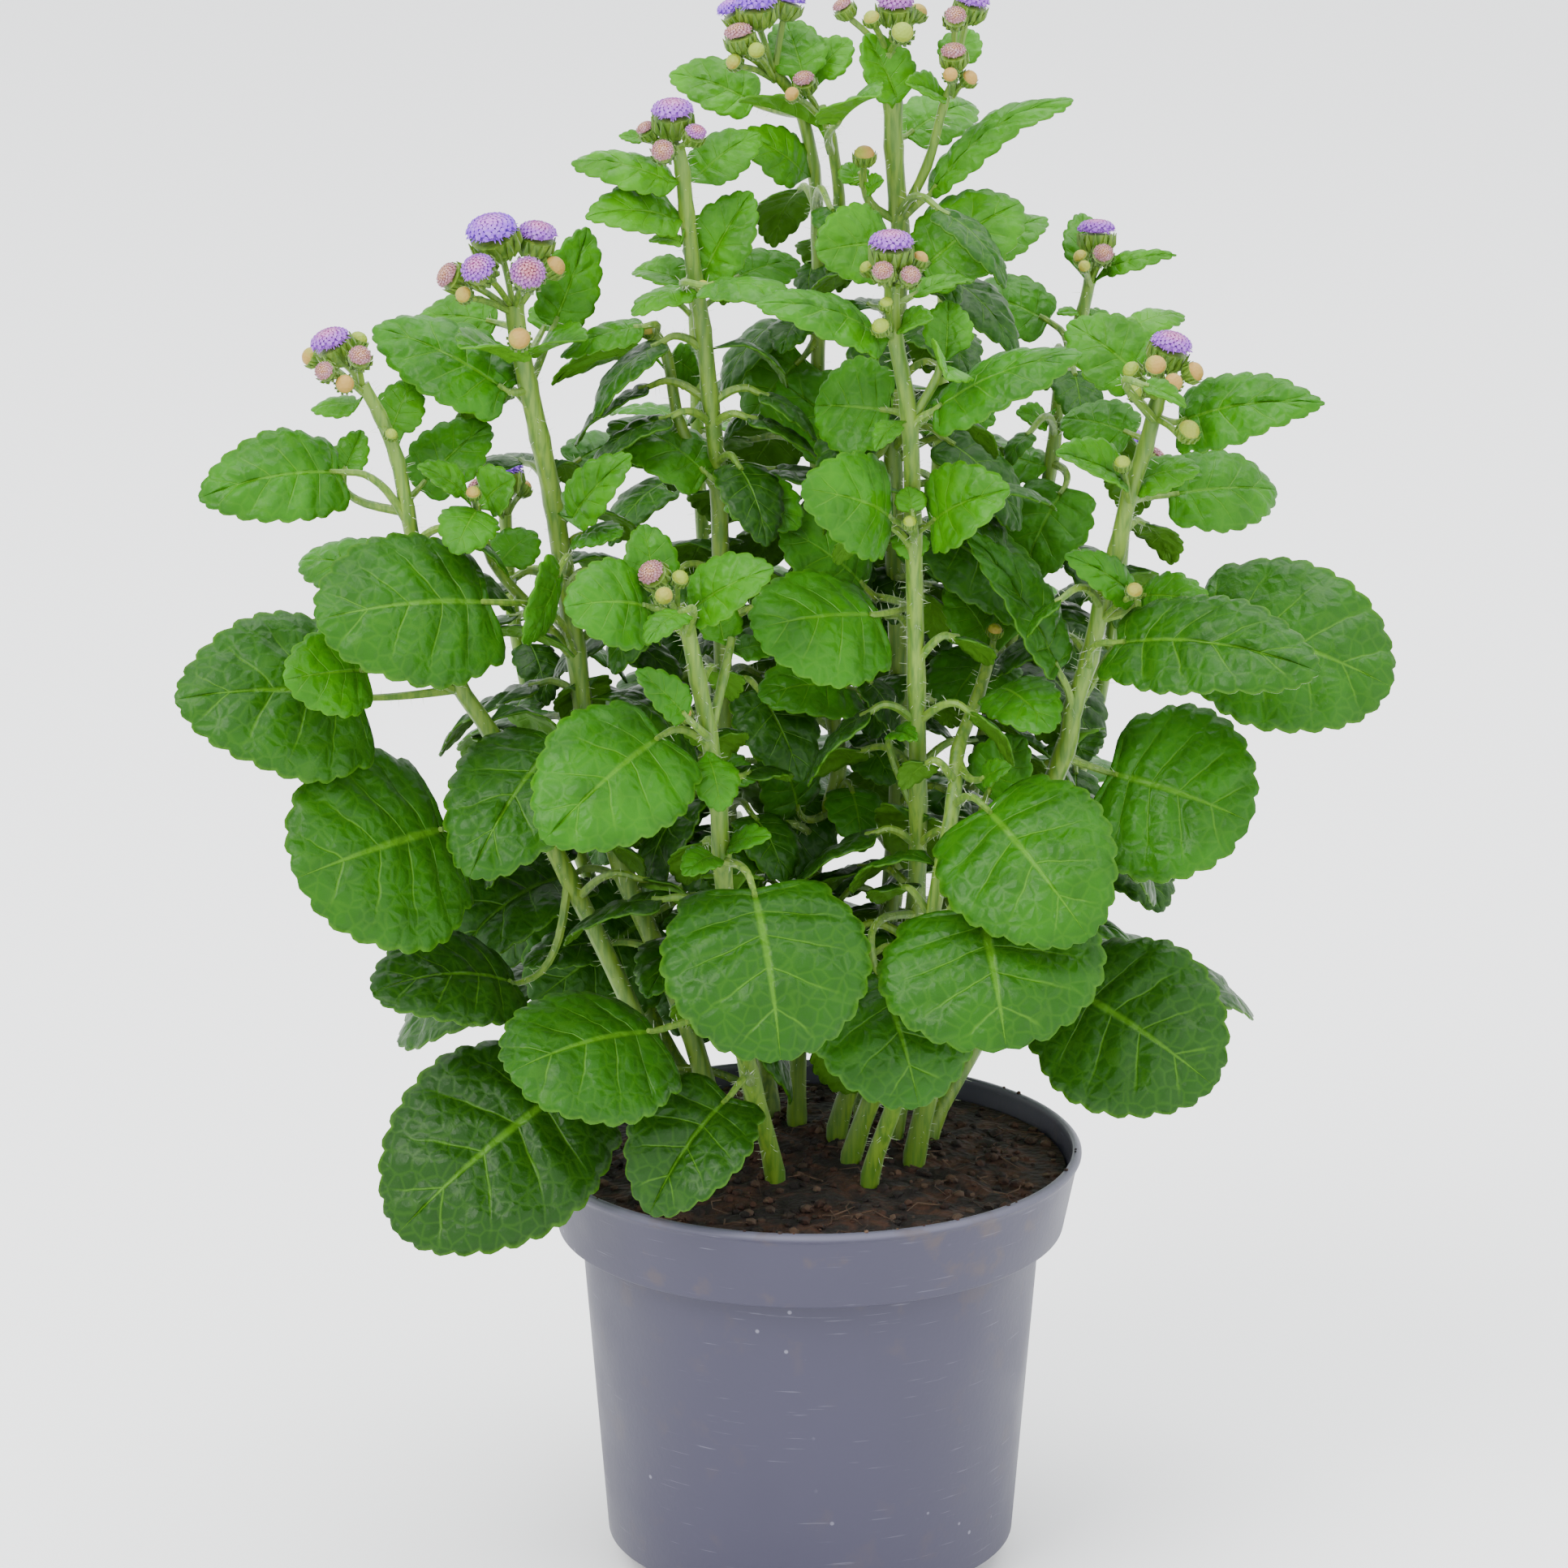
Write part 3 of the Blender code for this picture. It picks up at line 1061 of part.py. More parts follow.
def build_pot(parts, cutters):
    """The pot: a foot, a tapered body, a collar round the top and a rolled lip, with holes to drain it."""
    collar_foot = POT_HEIGHT - BAND_HEIGHT
    outside = [
        (0, 0), (FOOT_RADIUS, 0), (FOOT_RADIUS + 0.6 * MM, FOOT_HEIGHT),
        (BODY_FOOT_RADIUS, FOOT_HEIGHT), (BODY_TOP_RADIUS, collar_foot), (BAND_FOOT_RADIUS, collar_foot),
        (POT_RIM_RADIUS - LIP_OVERHANG, POT_HEIGHT - LIP_HEIGHT),
        (POT_RIM_RADIUS, POT_HEIGHT - LIP_HEIGHT + LIP_OVERHANG), (POT_RIM_RADIUS, POT_HEIGHT - LIP_OVERHANG),
        (POT_RIM_RADIUS - LIP_OVERHANG, POT_HEIGHT),
    ]
    inside = pot_inside()
    pot = turned_object("pot", outside + inside, POT_STEPS, parts)
    ring = [Vector((DRAIN_RING * math.cos(a), DRAIN_RING * math.sin(a), POT_WALL * 3))
            for a in [2 * math.pi * k / DRAIN_COUNT for k in range(DRAIN_COUNT)]]
    cut(pot, cutter("drain_holes", ring, DRAIN_RADIUS, POT_WALL * 5, DRAIN_SIDES, cutters))
    bake(pot)
    pot.data.shade_smooth()
    pot.data.set_sharp_from_angle(angle=math.radians(35))
    pot.data.materials.clear()
    pot.data.materials.append(finish("pot_plastic", POT_GREY, 0.45))


def pot_inside():
    """The inner profile from the lip down to the middle of the floor."""
    collar_foot = POT_HEIGHT - BAND_HEIGHT
    return [
        (POT_RIM_RADIUS - LIP_OVERHANG - POT_WALL, POT_HEIGHT),
        (BAND_FOOT_RADIUS - POT_WALL, collar_foot + POT_WALL),
        (BODY_TOP_RADIUS - POT_WALL, collar_foot + POT_WALL),
        (BODY_FOOT_RADIUS - POT_WALL, FOOT_HEIGHT + POT_WALL),
        (FOOT_RADIUS - POT_WALL, FOOT_HEIGHT + POT_WALL),
        (FOOT_RADIUS - POT_WALL, POT_WALL), (0, POT_WALL),
    ]


def build_soil(plant, parts, cutters):
    """The soil: it fills the pot to just under the lip, lumpy on top, with a plain hole for each stem."""
    inner = pot_inside()
    lip_radius = inner[0][0]
    collar_radius = inner[1][0]
    share = (SOIL_EDGE - inner[1][1]) / (POT_HEIGHT - inner[1][1])
    edge = collar_radius + (lip_radius - collar_radius) * share - GAP * 1.5
    fill = [(0, POT_WALL + GAP), (inner[5][0] - GAP * 1.5, POT_WALL + GAP),
            (inner[4][0] - GAP * 1.5, inner[4][1] + GAP), (inner[3][0] - GAP * 1.5, inner[3][1] + GAP),
            (inner[2][0] - GAP * 1.5, inner[2][1] + GAP), (inner[1][0] - GAP * 1.5, inner[1][1] + GAP),
            (edge, SOIL_EDGE)]
    crown = [(edge * s, SOIL_EDGE + SOIL_CROWN * (1 - s * s)) for s in reversed(SOIL_RINGS)]
    soil = turned_object("soil", fill + crown + [(0, SOIL_EDGE + SOIL_CROWN)], SOIL_STEPS, parts)
    for spot in soil.data.vertices:
        ring = math.hypot(spot.co.x, spot.co.y) / edge
        if spot.co.z > SOIL_EDGE + 1e-5:
            lump = math.sin(spot.co.x * 310 + 1.3) * math.cos(spot.co.y * 270 + 0.4)
            lump += 0.6 * math.sin(spot.co.x * 640 + spot.co.y * 520)
            spot.co.z += SOIL_LUMP * lump * 0.5 * (1 - ring ** 4)
    holes = [foot + UP * 6 * MM for foot in plant.feet.values()]
    depth = ROOT_DEPTH + 6 * MM + ROOT_GAP
    cut(soil, cutter("stem_holes", holes, ROOT_RADIUS + ROOT_GAP, depth, ROOT_SIDES, cutters))
    bake(soil)
    soil.data.materials.clear()
    soil.data.materials.append(finish("potting_soil", SOIL_BROWN, 0.95))


def main():
    for thing in list(bpy.data.objects):
        bpy.data.objects.remove(thing, do_unlink=True)
    parts = bpy.data.collections.new("ageratum")
    cutters = bpy.data.collections.new("cutters")
    bpy.context.scene.collection.children.link(parts)
    bpy.context.scene.collection.children.link(cutters)
    plant = Plant()
    for name in plant.stems:
        build_shoot(name, plant, parts)
    build_pot(parts, cutters)
    build_soil(plant, parts, cutters)


main()
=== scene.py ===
"""An ageratum in a grey nursery pot, dressed for its portrait.

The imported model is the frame. Each leafy shoot and flower head, the pot and the soil are built again here
with their fine form and finish, on the same stems and in the same places, and stand for the plain solids.
"""
import itertools
import logging
import math
import random
from dataclasses import dataclass, field
from enum import Enum
from typing import Iterator, Optional, Sequence

import bmesh
import bpy
from bmesh.types import BMesh
from mathutils import Matrix, Vector, geometry, noise
from mathutils.bvhtree import BVHTree

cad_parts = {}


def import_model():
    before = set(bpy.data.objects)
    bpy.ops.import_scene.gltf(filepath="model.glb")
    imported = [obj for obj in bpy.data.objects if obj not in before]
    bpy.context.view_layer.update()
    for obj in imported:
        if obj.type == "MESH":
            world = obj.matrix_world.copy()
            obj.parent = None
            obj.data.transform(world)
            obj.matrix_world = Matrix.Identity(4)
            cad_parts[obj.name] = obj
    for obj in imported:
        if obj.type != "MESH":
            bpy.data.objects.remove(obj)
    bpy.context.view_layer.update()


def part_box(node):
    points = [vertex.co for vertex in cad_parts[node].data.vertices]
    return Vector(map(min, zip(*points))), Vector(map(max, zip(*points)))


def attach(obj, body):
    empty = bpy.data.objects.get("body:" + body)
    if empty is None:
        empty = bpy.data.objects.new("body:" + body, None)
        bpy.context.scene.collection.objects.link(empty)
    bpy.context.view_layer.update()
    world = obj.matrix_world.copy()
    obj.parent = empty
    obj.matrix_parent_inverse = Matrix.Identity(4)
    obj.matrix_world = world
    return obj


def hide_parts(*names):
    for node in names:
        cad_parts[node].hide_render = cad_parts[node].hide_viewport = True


MM = 0.001
GAP = 0.3 * MM
UP = Vector((0, 0, 1))
SEED = 41

# Pot and soil, in metres
POT_HEIGHT = 96.0 * MM
POT_RIM_RADIUS = 60.0 * MM
BAND_HEIGHT = 17.9 * MM
BAND_FOOT_RADIUS = 56.0 * MM
BODY_TOP_RADIUS = 51.0 * MM
BODY_FOOT_RADIUS = 45.3 * MM
FOOT_HEIGHT = 6.0 * MM
FOOT_RADIUS = 38.0 * MM
POT_WALL = 1.2 * MM
LIP_HEIGHT = 2.2 * MM
LIP_OVERHANG = 0.8 * MM
DRAIN_COUNT = 6
DRAIN_RADIUS = 3.2 * MM
DRAIN_RING = 27.0 * MM
SOIL_EDGE = 91.0 * MM
SOIL_CROWN = 2.5 * MM
SOIL_LUMP = 1.2 * MM
LUMP_WAVES = (310, 270)
RIPPLE_WAVES = (640, 520)
ROOT_DEPTH = 11.0 * MM
COLLAR = 4.5 * MM

# Leaf blades and their stalks
BLADE = 0.7 * MM
SMALL_LEAF = 19 * MM
SESSILE = 9 * MM
LOBE_REACH = 0.10
LOBE_SPAN = 0.26
LOBE_START = 9 * MM
LOBE_RANGE = 16 * MM
ROUNDNESS = 0.8
POINT_SWELL = 0.58
LONG_RIB = (0.3, 0.66)
SHORT_RIB = (0.45,)
STALK_RADIUS = 1.05 * MM
STALK_BEND = 0.45
STALK_SEAT = 2.2 * MM
STALK_SEAT_SHARE = 0.12

# The room that pieces keep while the leaves are placed
CLEARANCE = 0.8 * MM
PROBE_STEPS = 8
PROBE_GROWTH = 1.05
PROBE_CORNER = 1.3

# The teeth, veins and puckers of a leaf
FINE_BLADE = 0.42 * MM
FIRST_TOOTH = 0.14
EDGE_STEP = 0.02
LEAST_TEETH = 4
FIRST_TEETH = 3.5
TEETH_PER_MM = 0.17
HEEL_PARTS = (0.3, 0.6, 0.85)
TOOTH_PARTS = (0.0, 0.28, 0.58, 0.84)
FINE_TOOTH_DEPTH = 0.19
TOOTH_SKEW = 1.45
TOOTH_ROUNDNESS = 0.75
RIB_LAG = 1.7
VEIN_PAIRS = 6
PUCKERS = (0.020, 0.012, 0.026)
PUCKER_ROWS = 3.2
ROUGH_SCALE = 230
GROOVE_DEPTH = 0.012
GROOVE_WIDTH = 0.07
WAVE_DEPTH = 0.012
WAVES = 2.6
HEEL_SHARE = 0.12
FINE_ROWS = 7
COARSE_ROWS = 4
COARSE_LEAF = 16 * MM

# How bright a leaf is: painted light from above by its height, painted shade for the leaves inside the plant,
# and the paler green of young leaves by their size
INNER_SHADE_TONE = 0.22
DARK_HEIGHT = 120 * MM
BRIGHT_RISE = 215 * MM
GROWN_LEAF = 44 * MM
HEIGHT_LIGHT_TONE = 0.62
YOUTH_TONE = 0.42
TONE_SPREAD = 0.10

# Stems and their hairs
SLIM = 0.86
ROUTE_FINENESS = 4
STALK_FINENESS = 3
STALK_SIDES = 7
NODE_SWELL = 0.12
STALK_TAPER = 0.45
HAIR_LENGTH = (0.9, 2.0)
HAIR_RADIUS = 0.05 * MM
HAIR_TIP = 0.25
HAIR_LEAN = (-0.25, 0.45)

# Flower heads, and how deep each stalk sinks into its stem
HEAD_LIFT = 0.7
CUP_DEPTH = 0.62
HEAD_HEIGHT = 0.9
HEAD_ROOM = 1.35
STALK_TIP = 0.8 * MM
FORK_SINK = 1.9 * MM
NODE_SINK = 1.1 * MM
NODE_STEP = 0.31 * MM
NODE_SPREAD = 7
SPRAY_SINK = 0.9 * MM
SPRAY_STEP = 0.23 * MM

# The photograph's viewpoint
AIM = Vector((-5.9, 0, 178.7)) * MM
VIEW_DISTANCE = 1350 * MM
VIEW_PITCH = math.radians(15.82)
PHOTO_SIDE = 1932
PHOTO_MIDDLE = 966
PHOTO_FOCAL = 7641
SENSOR = 36.0
VIEW_FORWARD = Vector((0, math.cos(VIEW_PITCH), -math.sin(VIEW_PITCH)))
VIEW_UP = Vector((0, math.sin(VIEW_PITCH), math.cos(VIEW_PITCH)))
EYE = AIM - VIEW_FORWARD * VIEW_DISTANCE

# The side that a leaf's upper face turns to, and a direction that no stem follows
LEAF_SIDE = Vector((0.35, 0, 1))
ASKEW = Vector((0.31, 0.17, 0.93))

Colour = tuple[float, float, float]
Spot = tuple[float, float, float]
Bends = tuple[tuple[float, ...], ...]
LaidStem = tuple[list[Vector], tuple[float, float]]


class Tint(Enum):
    """How far open a flower head is, by its colour."""

    VIOLET = "violet"
    LILAC = "lilac"
    PINK = "pink"
    BLUSH = "blush"


@dataclass
class Stem:
    """A stem or branch: the pixels and depths that it passes, and its radius in mm at each end."""

    path: list[Spot]
    thick: tuple[float, float] = (2.5, 1.7)
    fork: Optional[tuple[int, int]] = None


@dataclass
class Leaf:
    """A leaf: its stem and node, its blade's base and tip as pixels and depths, its width in mm, how far it
    is turned from facing the viewer to facing up, in degrees, and how it folds, arches and narrows."""

    at: tuple[int, int]
    base: Spot
    tip: Spot
    width: float
    roll: float = 30
    fold: float = -0.12
    arch: float = 0.10
    point: float = 0.45


@dataclass
class Head:
    """A flower head: its stem and node, its middle as a pixel and depth, its radius in mm, the way that it
    faces, and its tint, or None for a green bud."""

    at: tuple[int, int]
    middle: Spot
    radius: float
    face: Spot
    tint: Optional[Tint] = None


@dataclass
class Pairs:
    """Leaf pairs placed by rule: their first height and step in mm, how far up the stem they go, and from the
    lowest pair to the highest the leaf's length in mm, its stalk as a share of that, and its droop.

    The lean makes outward leaves longer, the breadth, fold, arch and point shape the blade, and the seat and
    the rise hold it off its stem.
    """

    first: float
    step: float
    reach: float
    leaf: tuple[float, float]
    stalk: tuple[float, float]
    droop: tuple[float, float]
    inner: bool = False
    lean: tuple[float, float] = (0.86, 0.14)
    breadth: tuple[float, float] = (0.95, 0.25)
    fold: float = -0.12
    arch: float = 0.13
    point: float = 0.3
    seat: float = 2 * MM
    rise: float = 0.3


@dataclass
class Shoot:
    """A leafy shoot that stands in the soil at foot (x, y) in mm."""

    name: str
    foot: tuple[float, float]
    stems: list[Stem]
    leaves: list[Leaf]
    heads: list[Head] = field(default_factory=list)


# Shoots of the photographed side: each one's foot, then its stems, its leaves and its flower heads
SHOOTS = [
    Shoot(
        "shoot_centre_front",
        (9, -6),
        [
            Stem([(1112, 1250, -10), (1128, 1120, -15), (1131, 990, -20), (1129, 840, -26), (1125, 650, -32),
                  (1120, 512, -36), (1101, 405, -38), (1099, 350, -39)], (2.6, 1.9)),
            Stem([(1152, 470, -36), (1160, 440, -36)], (1.3, 0.9), (0, 5)),
        ],
        [
            Leaf((0, 1), (1078, 1190, -30), (1132, 1362, -46), 37, 12, -0.15, 0.14, 0.3),
            Leaf((0, 4), (1099, 640, -40), (988, 602, -55), 23, 20, -0.15, 0.18, 0.35),
            Leaf((0, 4), (1147, 645, -38), (1244, 602, -50), 19, 25, 0.15, 0.14, 0.4),
            Leaf((0, 4), (1121, 655, -42), (1121, 690, -52), 8.5, 10, -0.1, 0.15, 0.3),
            Leaf((0, 4), (1124, 632, -38), (1118, 600, -34), 7, 10, 0.2, 0.1, 0.5),
            Leaf((0, 5), (1150, 506, -38), (1333, 436, -44), 19, 52, -0.3, 0.10, 0.5),
            Leaf((0, 5), (1097, 506, -28), (1004, 500, -20), 22, 12, 0.1, 0.10, 0.4),
            Leaf((0, 5), (1104, 520, -42), (1078, 556, -48), 6, 25, 0.1, 0.12, 0.6),
            Leaf((0, 6), (1086, 415, -40), (932, 374, -50), 16, 52, -0.25, 0.12, 0.5),
            Leaf((0, 6), (1122, 366, -34), (1200, 345, -26), 7, 60, 0.1, 0.10, 0.6),
            Leaf((0, 6), (1108, 404, -42), (1150, 392, -52), 9, 55, 0.2, 0.10, 0.5),
            Leaf((1, 1), (1166, 436, -34), (1168, 370, -28), 11, 8, 0.3, 0.05, 0.5),
            Leaf((1, 1), (1158, 448, -40), (1166, 466, -52), 12, 70, 0.35, 0.10, 0.4),
            Leaf((0, 2), (1100, 905, -26), (1130, 912, -40), 6, 40, 0.1, 0.1, 0.5),
        ],
        [
            Head((0, 7), (1098, 306, -40), 4.5, (0, -0.15, 1), Tint.LILAC),
            Head((0, 7), (1088, 336, -46), 2.5, (-0.1, -0.75, 0.65), Tint.BLUSH),
            Head((0, 7), (1121, 341, -44), 2.4, (0.2, -0.75, 0.6), Tint.BLUSH),
            Head((0, 7), (1134, 318, -38), 1.9, (0.4, -0.2, 1)),
            Head((0, 7), (1068, 330, -36), 1.8, (-0.6, -0.2, 0.8)),
            Head((0, 6), (1085, 402, -46), 2.1, (-0.2, -0.6, 0.8)),
            Head((0, 6), (1092, 373, -44), 1.6, (-0.1, -0.4, 1)),
            Head((0, 4), (1121, 643, -46), 1.6, (0, -0.6, 1)),
        ],
    ),
    Shoot(
        "shoot_centre_left",
        (-12, 12),
        [
            Stem([(915, 1260, 10), (900, 1080, 8), (893, 900, 4), (889, 740, 0), (885, 592, -4),
                  (875, 490, -8), (866, 405, -10), (857, 350, -12), (846, 262, -13), (841, 212, -14),
                  (834, 178, -14)], (2.6, 1.8)),
            Stem([(840, 530, -2), (822, 440, -2), (802, 402, -2)], (1.8, 1.2), (0, 4)),
        ],
        [
            Leaf((0, 4), (872, 586, -10), (751, 519, 0), 20, 50, -0.2, 0.12, 0.4),
            Leaf((0, 4), (908, 604, -8), (985, 650, -18), 15, 30, -0.1, 0.15, 0.4),
            Leaf((0, 7), (850, 354, -16), (779, 388, -26), 12, 62, -0.2, 0.10, 0.6),
            Leaf((0, 7), (868, 352, -18), (992, 384, -34), 16, 66, -0.2, 0.14, 0.5),
            Leaf((0, 7), (846, 350, -6), (781, 334, 2), 10, 50, 0.3, 0.10, 0.4),
            Leaf((0, 7), (868, 336, -14), (926, 236, -10), 15, 15, 0.15, 0.10, 0.5),
            Leaf((0, 7), (900, 346, -4), (985, 322, 6), 13, 40, -0.1, 0.10, 0.4),
            Leaf((0, 8), (832, 270, -14), (721, 268, -20), 15, 42, 0.1, 0.14, 0.6),
            Leaf((0, 8), (842, 302, -16), (800, 298, -22), 5, 50, 0.1, 0.10, 0.5),
            Leaf((0, 9), (830, 226, -16), (704, 200, -14), 12, 48, -0.25, 0.12, 0.4),
            Leaf((0, 9), (860, 216, -10), (936, 164, -2), 13, 32, -0.1, 0.10, 0.5),
            Leaf((0, 10), (796, 172, -14), (762, 167, -12), 4, 45, 0.2, 0.05, 0.6),
            Leaf((1, 2), (794, 402, -6), (690, 440, -12), 11, 55, -0.2, 0.10, 0.6),
            Leaf((1, 1), (806, 436, -2), (679, 474, 2), 12, 112, 0.1, 0.12, 0.6),
            Leaf((1, 1), (828, 440, 4), (862, 470, 12), 10, 30, -0.1, 0.1, 0.5),
            Leaf((0, 2), (862, 950, -2), (930, 962, -16), 12, 30, -0.1, 0.1, 0.5),
            Leaf((0, 1), (800, 1130, -4), (655, 1236, -16), 34, 26, -0.15, 0.12, 0.3),
        ],
        [
            Head((0, 10), (829, 143, -14), 4.4, (-0.05, -0.25, 1), Tint.LILAC),
            Head((0, 10), (797, 161, -12), 2.2, (-0.6, -0.3, 0.9), Tint.BLUSH),
            Head((0, 10), (856, 166, -19), 2.4, (0.35, -0.55, 0.8), Tint.PINK),
            Head((0, 10), (817, 187, -22), 2.7, (-0.15, -0.9, 0.45), Tint.BLUSH),
            Head((1, 2), (798, 408, -6), 1.5, (-0.1, -0.5, 1)),
            Head((0, 7), (866, 352, -22), 1.5, (0, -0.6, 1)),
        ],
    ),
    Shoot(
        "shoot_left",
        (-20, 2),
        [
            Stem([(840, 1240, 0), (770, 1080, -2), (730, 940, -6), (709, 800, -9), (694, 700, -12),
                  (682, 620, -14), (665, 540, -17), (650, 472, -19), (640, 425, -20), (633, 375, -20)],
                 (2.7, 2.4)),
            Stem([(650, 745, -16), (606, 690, -22), (586, 622, -26)], (1.6, 1.1), (0, 3)),
        ],
        [
            Leaf((0, 1), (704, 1078, -8), (552, 1196, -24), 29, 38, 0.25, 0.18, 0.3),
            Leaf((0, 2), (688, 914, -18), (580, 1078, -40), 31, 18, -0.15, 0.14, 0.35),
            Leaf((0, 3), (604, 742, -26), (392, 764, -46), 37, 24, -0.22, 0.10, 0.3),
            Leaf((0, 5), (704, 640, -22), (778, 560, -28), 12, 28, 0.1, 0.10, 0.5),
            Leaf((0, 5), (706, 572, 2), (784, 542, 16), 14, 45, -0.1, 0.10, 0.5),
            Leaf((0, 4), (690, 700, -28), (645, 792, -42), 16, -62, -0.15, 0.06, 0.5),
            Leaf((0, 4), (712, 660, -14), (765, 660, -30), 10, 55, -0.2, 0.06, 0.5),
            Leaf((0, 7), (625, 482, -22), (460, 403, -14), 22, 34, -0.2, 0.10, 0.45),
            Leaf((0, 7), (682, 402, -8), (724, 280, 0), 14, 18, 0.1, 0.06, 0.5),
            Leaf((0, 8), (630, 446, -30), (566, 428, -48), 16, 84, 0.35, 0.08, 0.4),
            Leaf((0, 8), (658, 440, -28), (724, 418, -42), 14, 78, 0.35, 0.08, 0.4),
            Leaf((0, 8), (612, 398, -14), (514, 392, -8), 12, 30, -0.1, 0.12, 0.4),
            Leaf((0, 8), (668, 408, -14), (690, 362, -6), 9, 20, 0.1, 0.05, 0.5),
            Leaf((1, 2), (588, 628, -32), (560, 682, -46), 13, 12, -0.1, 0.12, 0.35),
            Leaf((1, 2), (598, 616, -30), (634, 588, -40), 12, 25, 0.2, 0.10, 0.4),
            Leaf((1, 2), (572, 606, -28), (514, 574, -30), 8, 40, 0.2, 0.10, 0.5),
            Leaf((1, 1), (618, 690, -20), (660, 655, -14), 12, 30, -0.1, 0.10, 0.5),
        ],
        [
            Head((0, 9), (608, 290, -22), 5.2, (-0.3, -0.45, 0.9), Tint.VIOLET),
            Head((0, 9), (661, 293, -18), 4.1, (0.25, -0.25, 0.95), Tint.LILAC),
            Head((0, 9), (591, 333, -32), 3.6, (-0.35, -0.8, 0.5), Tint.LILAC),
            Head((0, 9), (650, 338, -34), 3.9, (0.1, -0.95, 0.4), Tint.PINK),
            Head((0, 9), (556, 341, -26), 3.2, (-0.85, -0.45, 0.45), Tint.BLUSH),
            Head((0, 9), (571, 363, -32), 2.0, (-0.4, -0.8, 0.4)),
            Head((0, 9), (684, 328, -20), 2.6, (0.7, -0.3, 0.7)),
            Head((0, 8), (640, 417, -38), 2.6, (0, -0.9, 0.4)),
            Head((1, 2), (583, 607, -34), 1.7, (0, -0.6, 0.8)),
        ],
    ),
    Shoot(
        "shoot_far_left",
        (-28, -8),
        [
            Stem([(790, 1270, -12), (700, 1080, -18), (610, 912, -24), (562, 838, -26), (524, 735, -27),
                  (501, 625, -28), (489, 565, -28), (468, 512, -28), (447, 474, -28)], (2.6, 1.6)),
        ],
        [
            Leaf((0, 0), (702, 1338, -30), (490, 1520, -52), 47, 14, -0.12, 0.12, 0.3),
            Leaf((0, 1), (636, 1212, -22), (460, 1222, -34), 27, 38, -0.12, 0.14, 0.3),
            Leaf((0, 2), (550, 1020, -34), (366, 1082, -60), 48, 10, -0.16, 0.10, 0.25),
            Leaf((0, 3), (446, 860, -30), (216, 862, -46), 41, 24, -0.16, 0.12, 0.5),
            Leaf((0, 3), (452, 826, -44), (350, 838, -56), 20, 14, -0.1, 0.10, 0.35),
            Leaf((0, 4), (482, 716, -14), (370, 690, -4), 16, 36, -0.1, 0.12, 0.3),
            Leaf((0, 5), (418, 582, -34), (245, 614, -44), 22, 22, -0.1, 0.16, 0.45),
            Leaf((0, 5), (424, 582, -24), (446, 530, -20), 8, 10, 0.2, 0.06, 0.5),
            Leaf((0, 5), (516, 602, -22), (604, 522, -20), 16, 22, 0.1, 0.10, 0.45),
            Leaf((0, 6), (482, 530, -24), (508, 468, -18), 11, 10, -0.1, 0.08, 0.4),
            Leaf((0, 8), (440, 498, -24), (383, 504, -22), 8, 55, -0.2, 0.08, 0.5),
        ],
        [
            Head((0, 8), (410, 425, -28), 4.2, (-0.5, -0.25, 0.9), Tint.LILAC),
            Head((0, 8), (443, 441, -34), 2.7, (0.15, -0.75, 0.7), Tint.BLUSH),
            Head((0, 8), (401, 458, -38), 2.3, (-0.35, -0.85, 0.4), Tint.BLUSH),
            Head((0, 8), (425, 473, -38), 2.2, (0.05, -0.9, 0.3)),
            Head((0, 8), (382, 439, -20), 2.3, (-0.8, -0.2, 0.4)),
            Head((0, 8), (442, 418, -24), 2.2, (0.4, 0.1, 0.9)),
            Head((0, 7), (482, 535, -32), 1.5, (0.3, -0.6, 0.8)),
        ],
    ),
    Shoot(
        "shoot_top",
        (6, 12),
        [
            Stem([(1075, 1250, 12), (1102, 1060, 14), (1108, 900, 14), (1104, 700, 12), (1100, 500, 9),
                  (1109, 300, 5), (1107, 262, 4), (1101, 180, 2), (1100, 128, 1), (1094, 62, 0)], (2.6, 2.3)),
            Stem([(1142, 205, 2), (1162, 132, 0), (1174, 102, 0)], (1.3, 1.0), (0, 6)),
            Stem([(1072, 250, 2), (1062, 212, 0)], (1.2, 1.0), (0, 6)),
        ],
        [
            Leaf((0, 5), (1096, 300, -14), (1006, 310, -24), 18, 14, 0.05, 0.12, 0.2),
            Leaf((0, 5), (1136, 332, -6), (1258, 250, 2), 21, 26, -0.1, 0.12, 0.3),
            Leaf((0, 5), (1200, 318, 14), (1290, 268, 26), 13, 40, -0.1, 0.10, 0.5),
            Leaf((0, 6), (1146, 240, 2), (1322, 122, 12), 11, 48, -0.2, 0.16, 0.3),
            Leaf((0, 8), (1106, 122, -2), (1066, 42, -8), 13, 28, 0.25, 0.06, 0.4),
            Leaf((0, 8), (1116, 168, 8), (1200, 128, 18), 15, 36, -0.1, 0.10, 0.4),
            Leaf((1, 2), (1160, 118, 0), (1116, 102, -8), 8, 50, 0.3, 0.06, 0.5),
            Leaf((1, 2), (1176, 80, 8), (1196, 36, 14), 10, 20, 0.2, 0.06, 0.5),
            Leaf((2, 1), (1056, 228, 0), (1044, 200, 4), 7, 20, 0.2, 0.06, 0.5),
            Leaf((2, 1), (1070, 232, -2), (1088, 222, -8), 5, 40, 0.2, 0.06, 0.5),
            Leaf((0, 3), (1134, 700, 4), (1205, 640, 14), 22, 40, -0.1, 0.1, 0.4),
            Leaf((0, 4), (1068, 560, 14), (960, 470, 24), 22, 20, 0.05, 0.1, 0.4),
            Leaf((0, 4), (1130, 500, 12), (1226, 520, 6), 16, 40, -0.1, 0.12, 0.4),
        ],
        [
            Head((0, 9), (1103, 8, -2), 4.0, (0, -0.3, 0.95), Tint.PINK),
            Head((0, 9), (1112, 40, -10), 2.6, (0.1, -0.8, 0.6)),
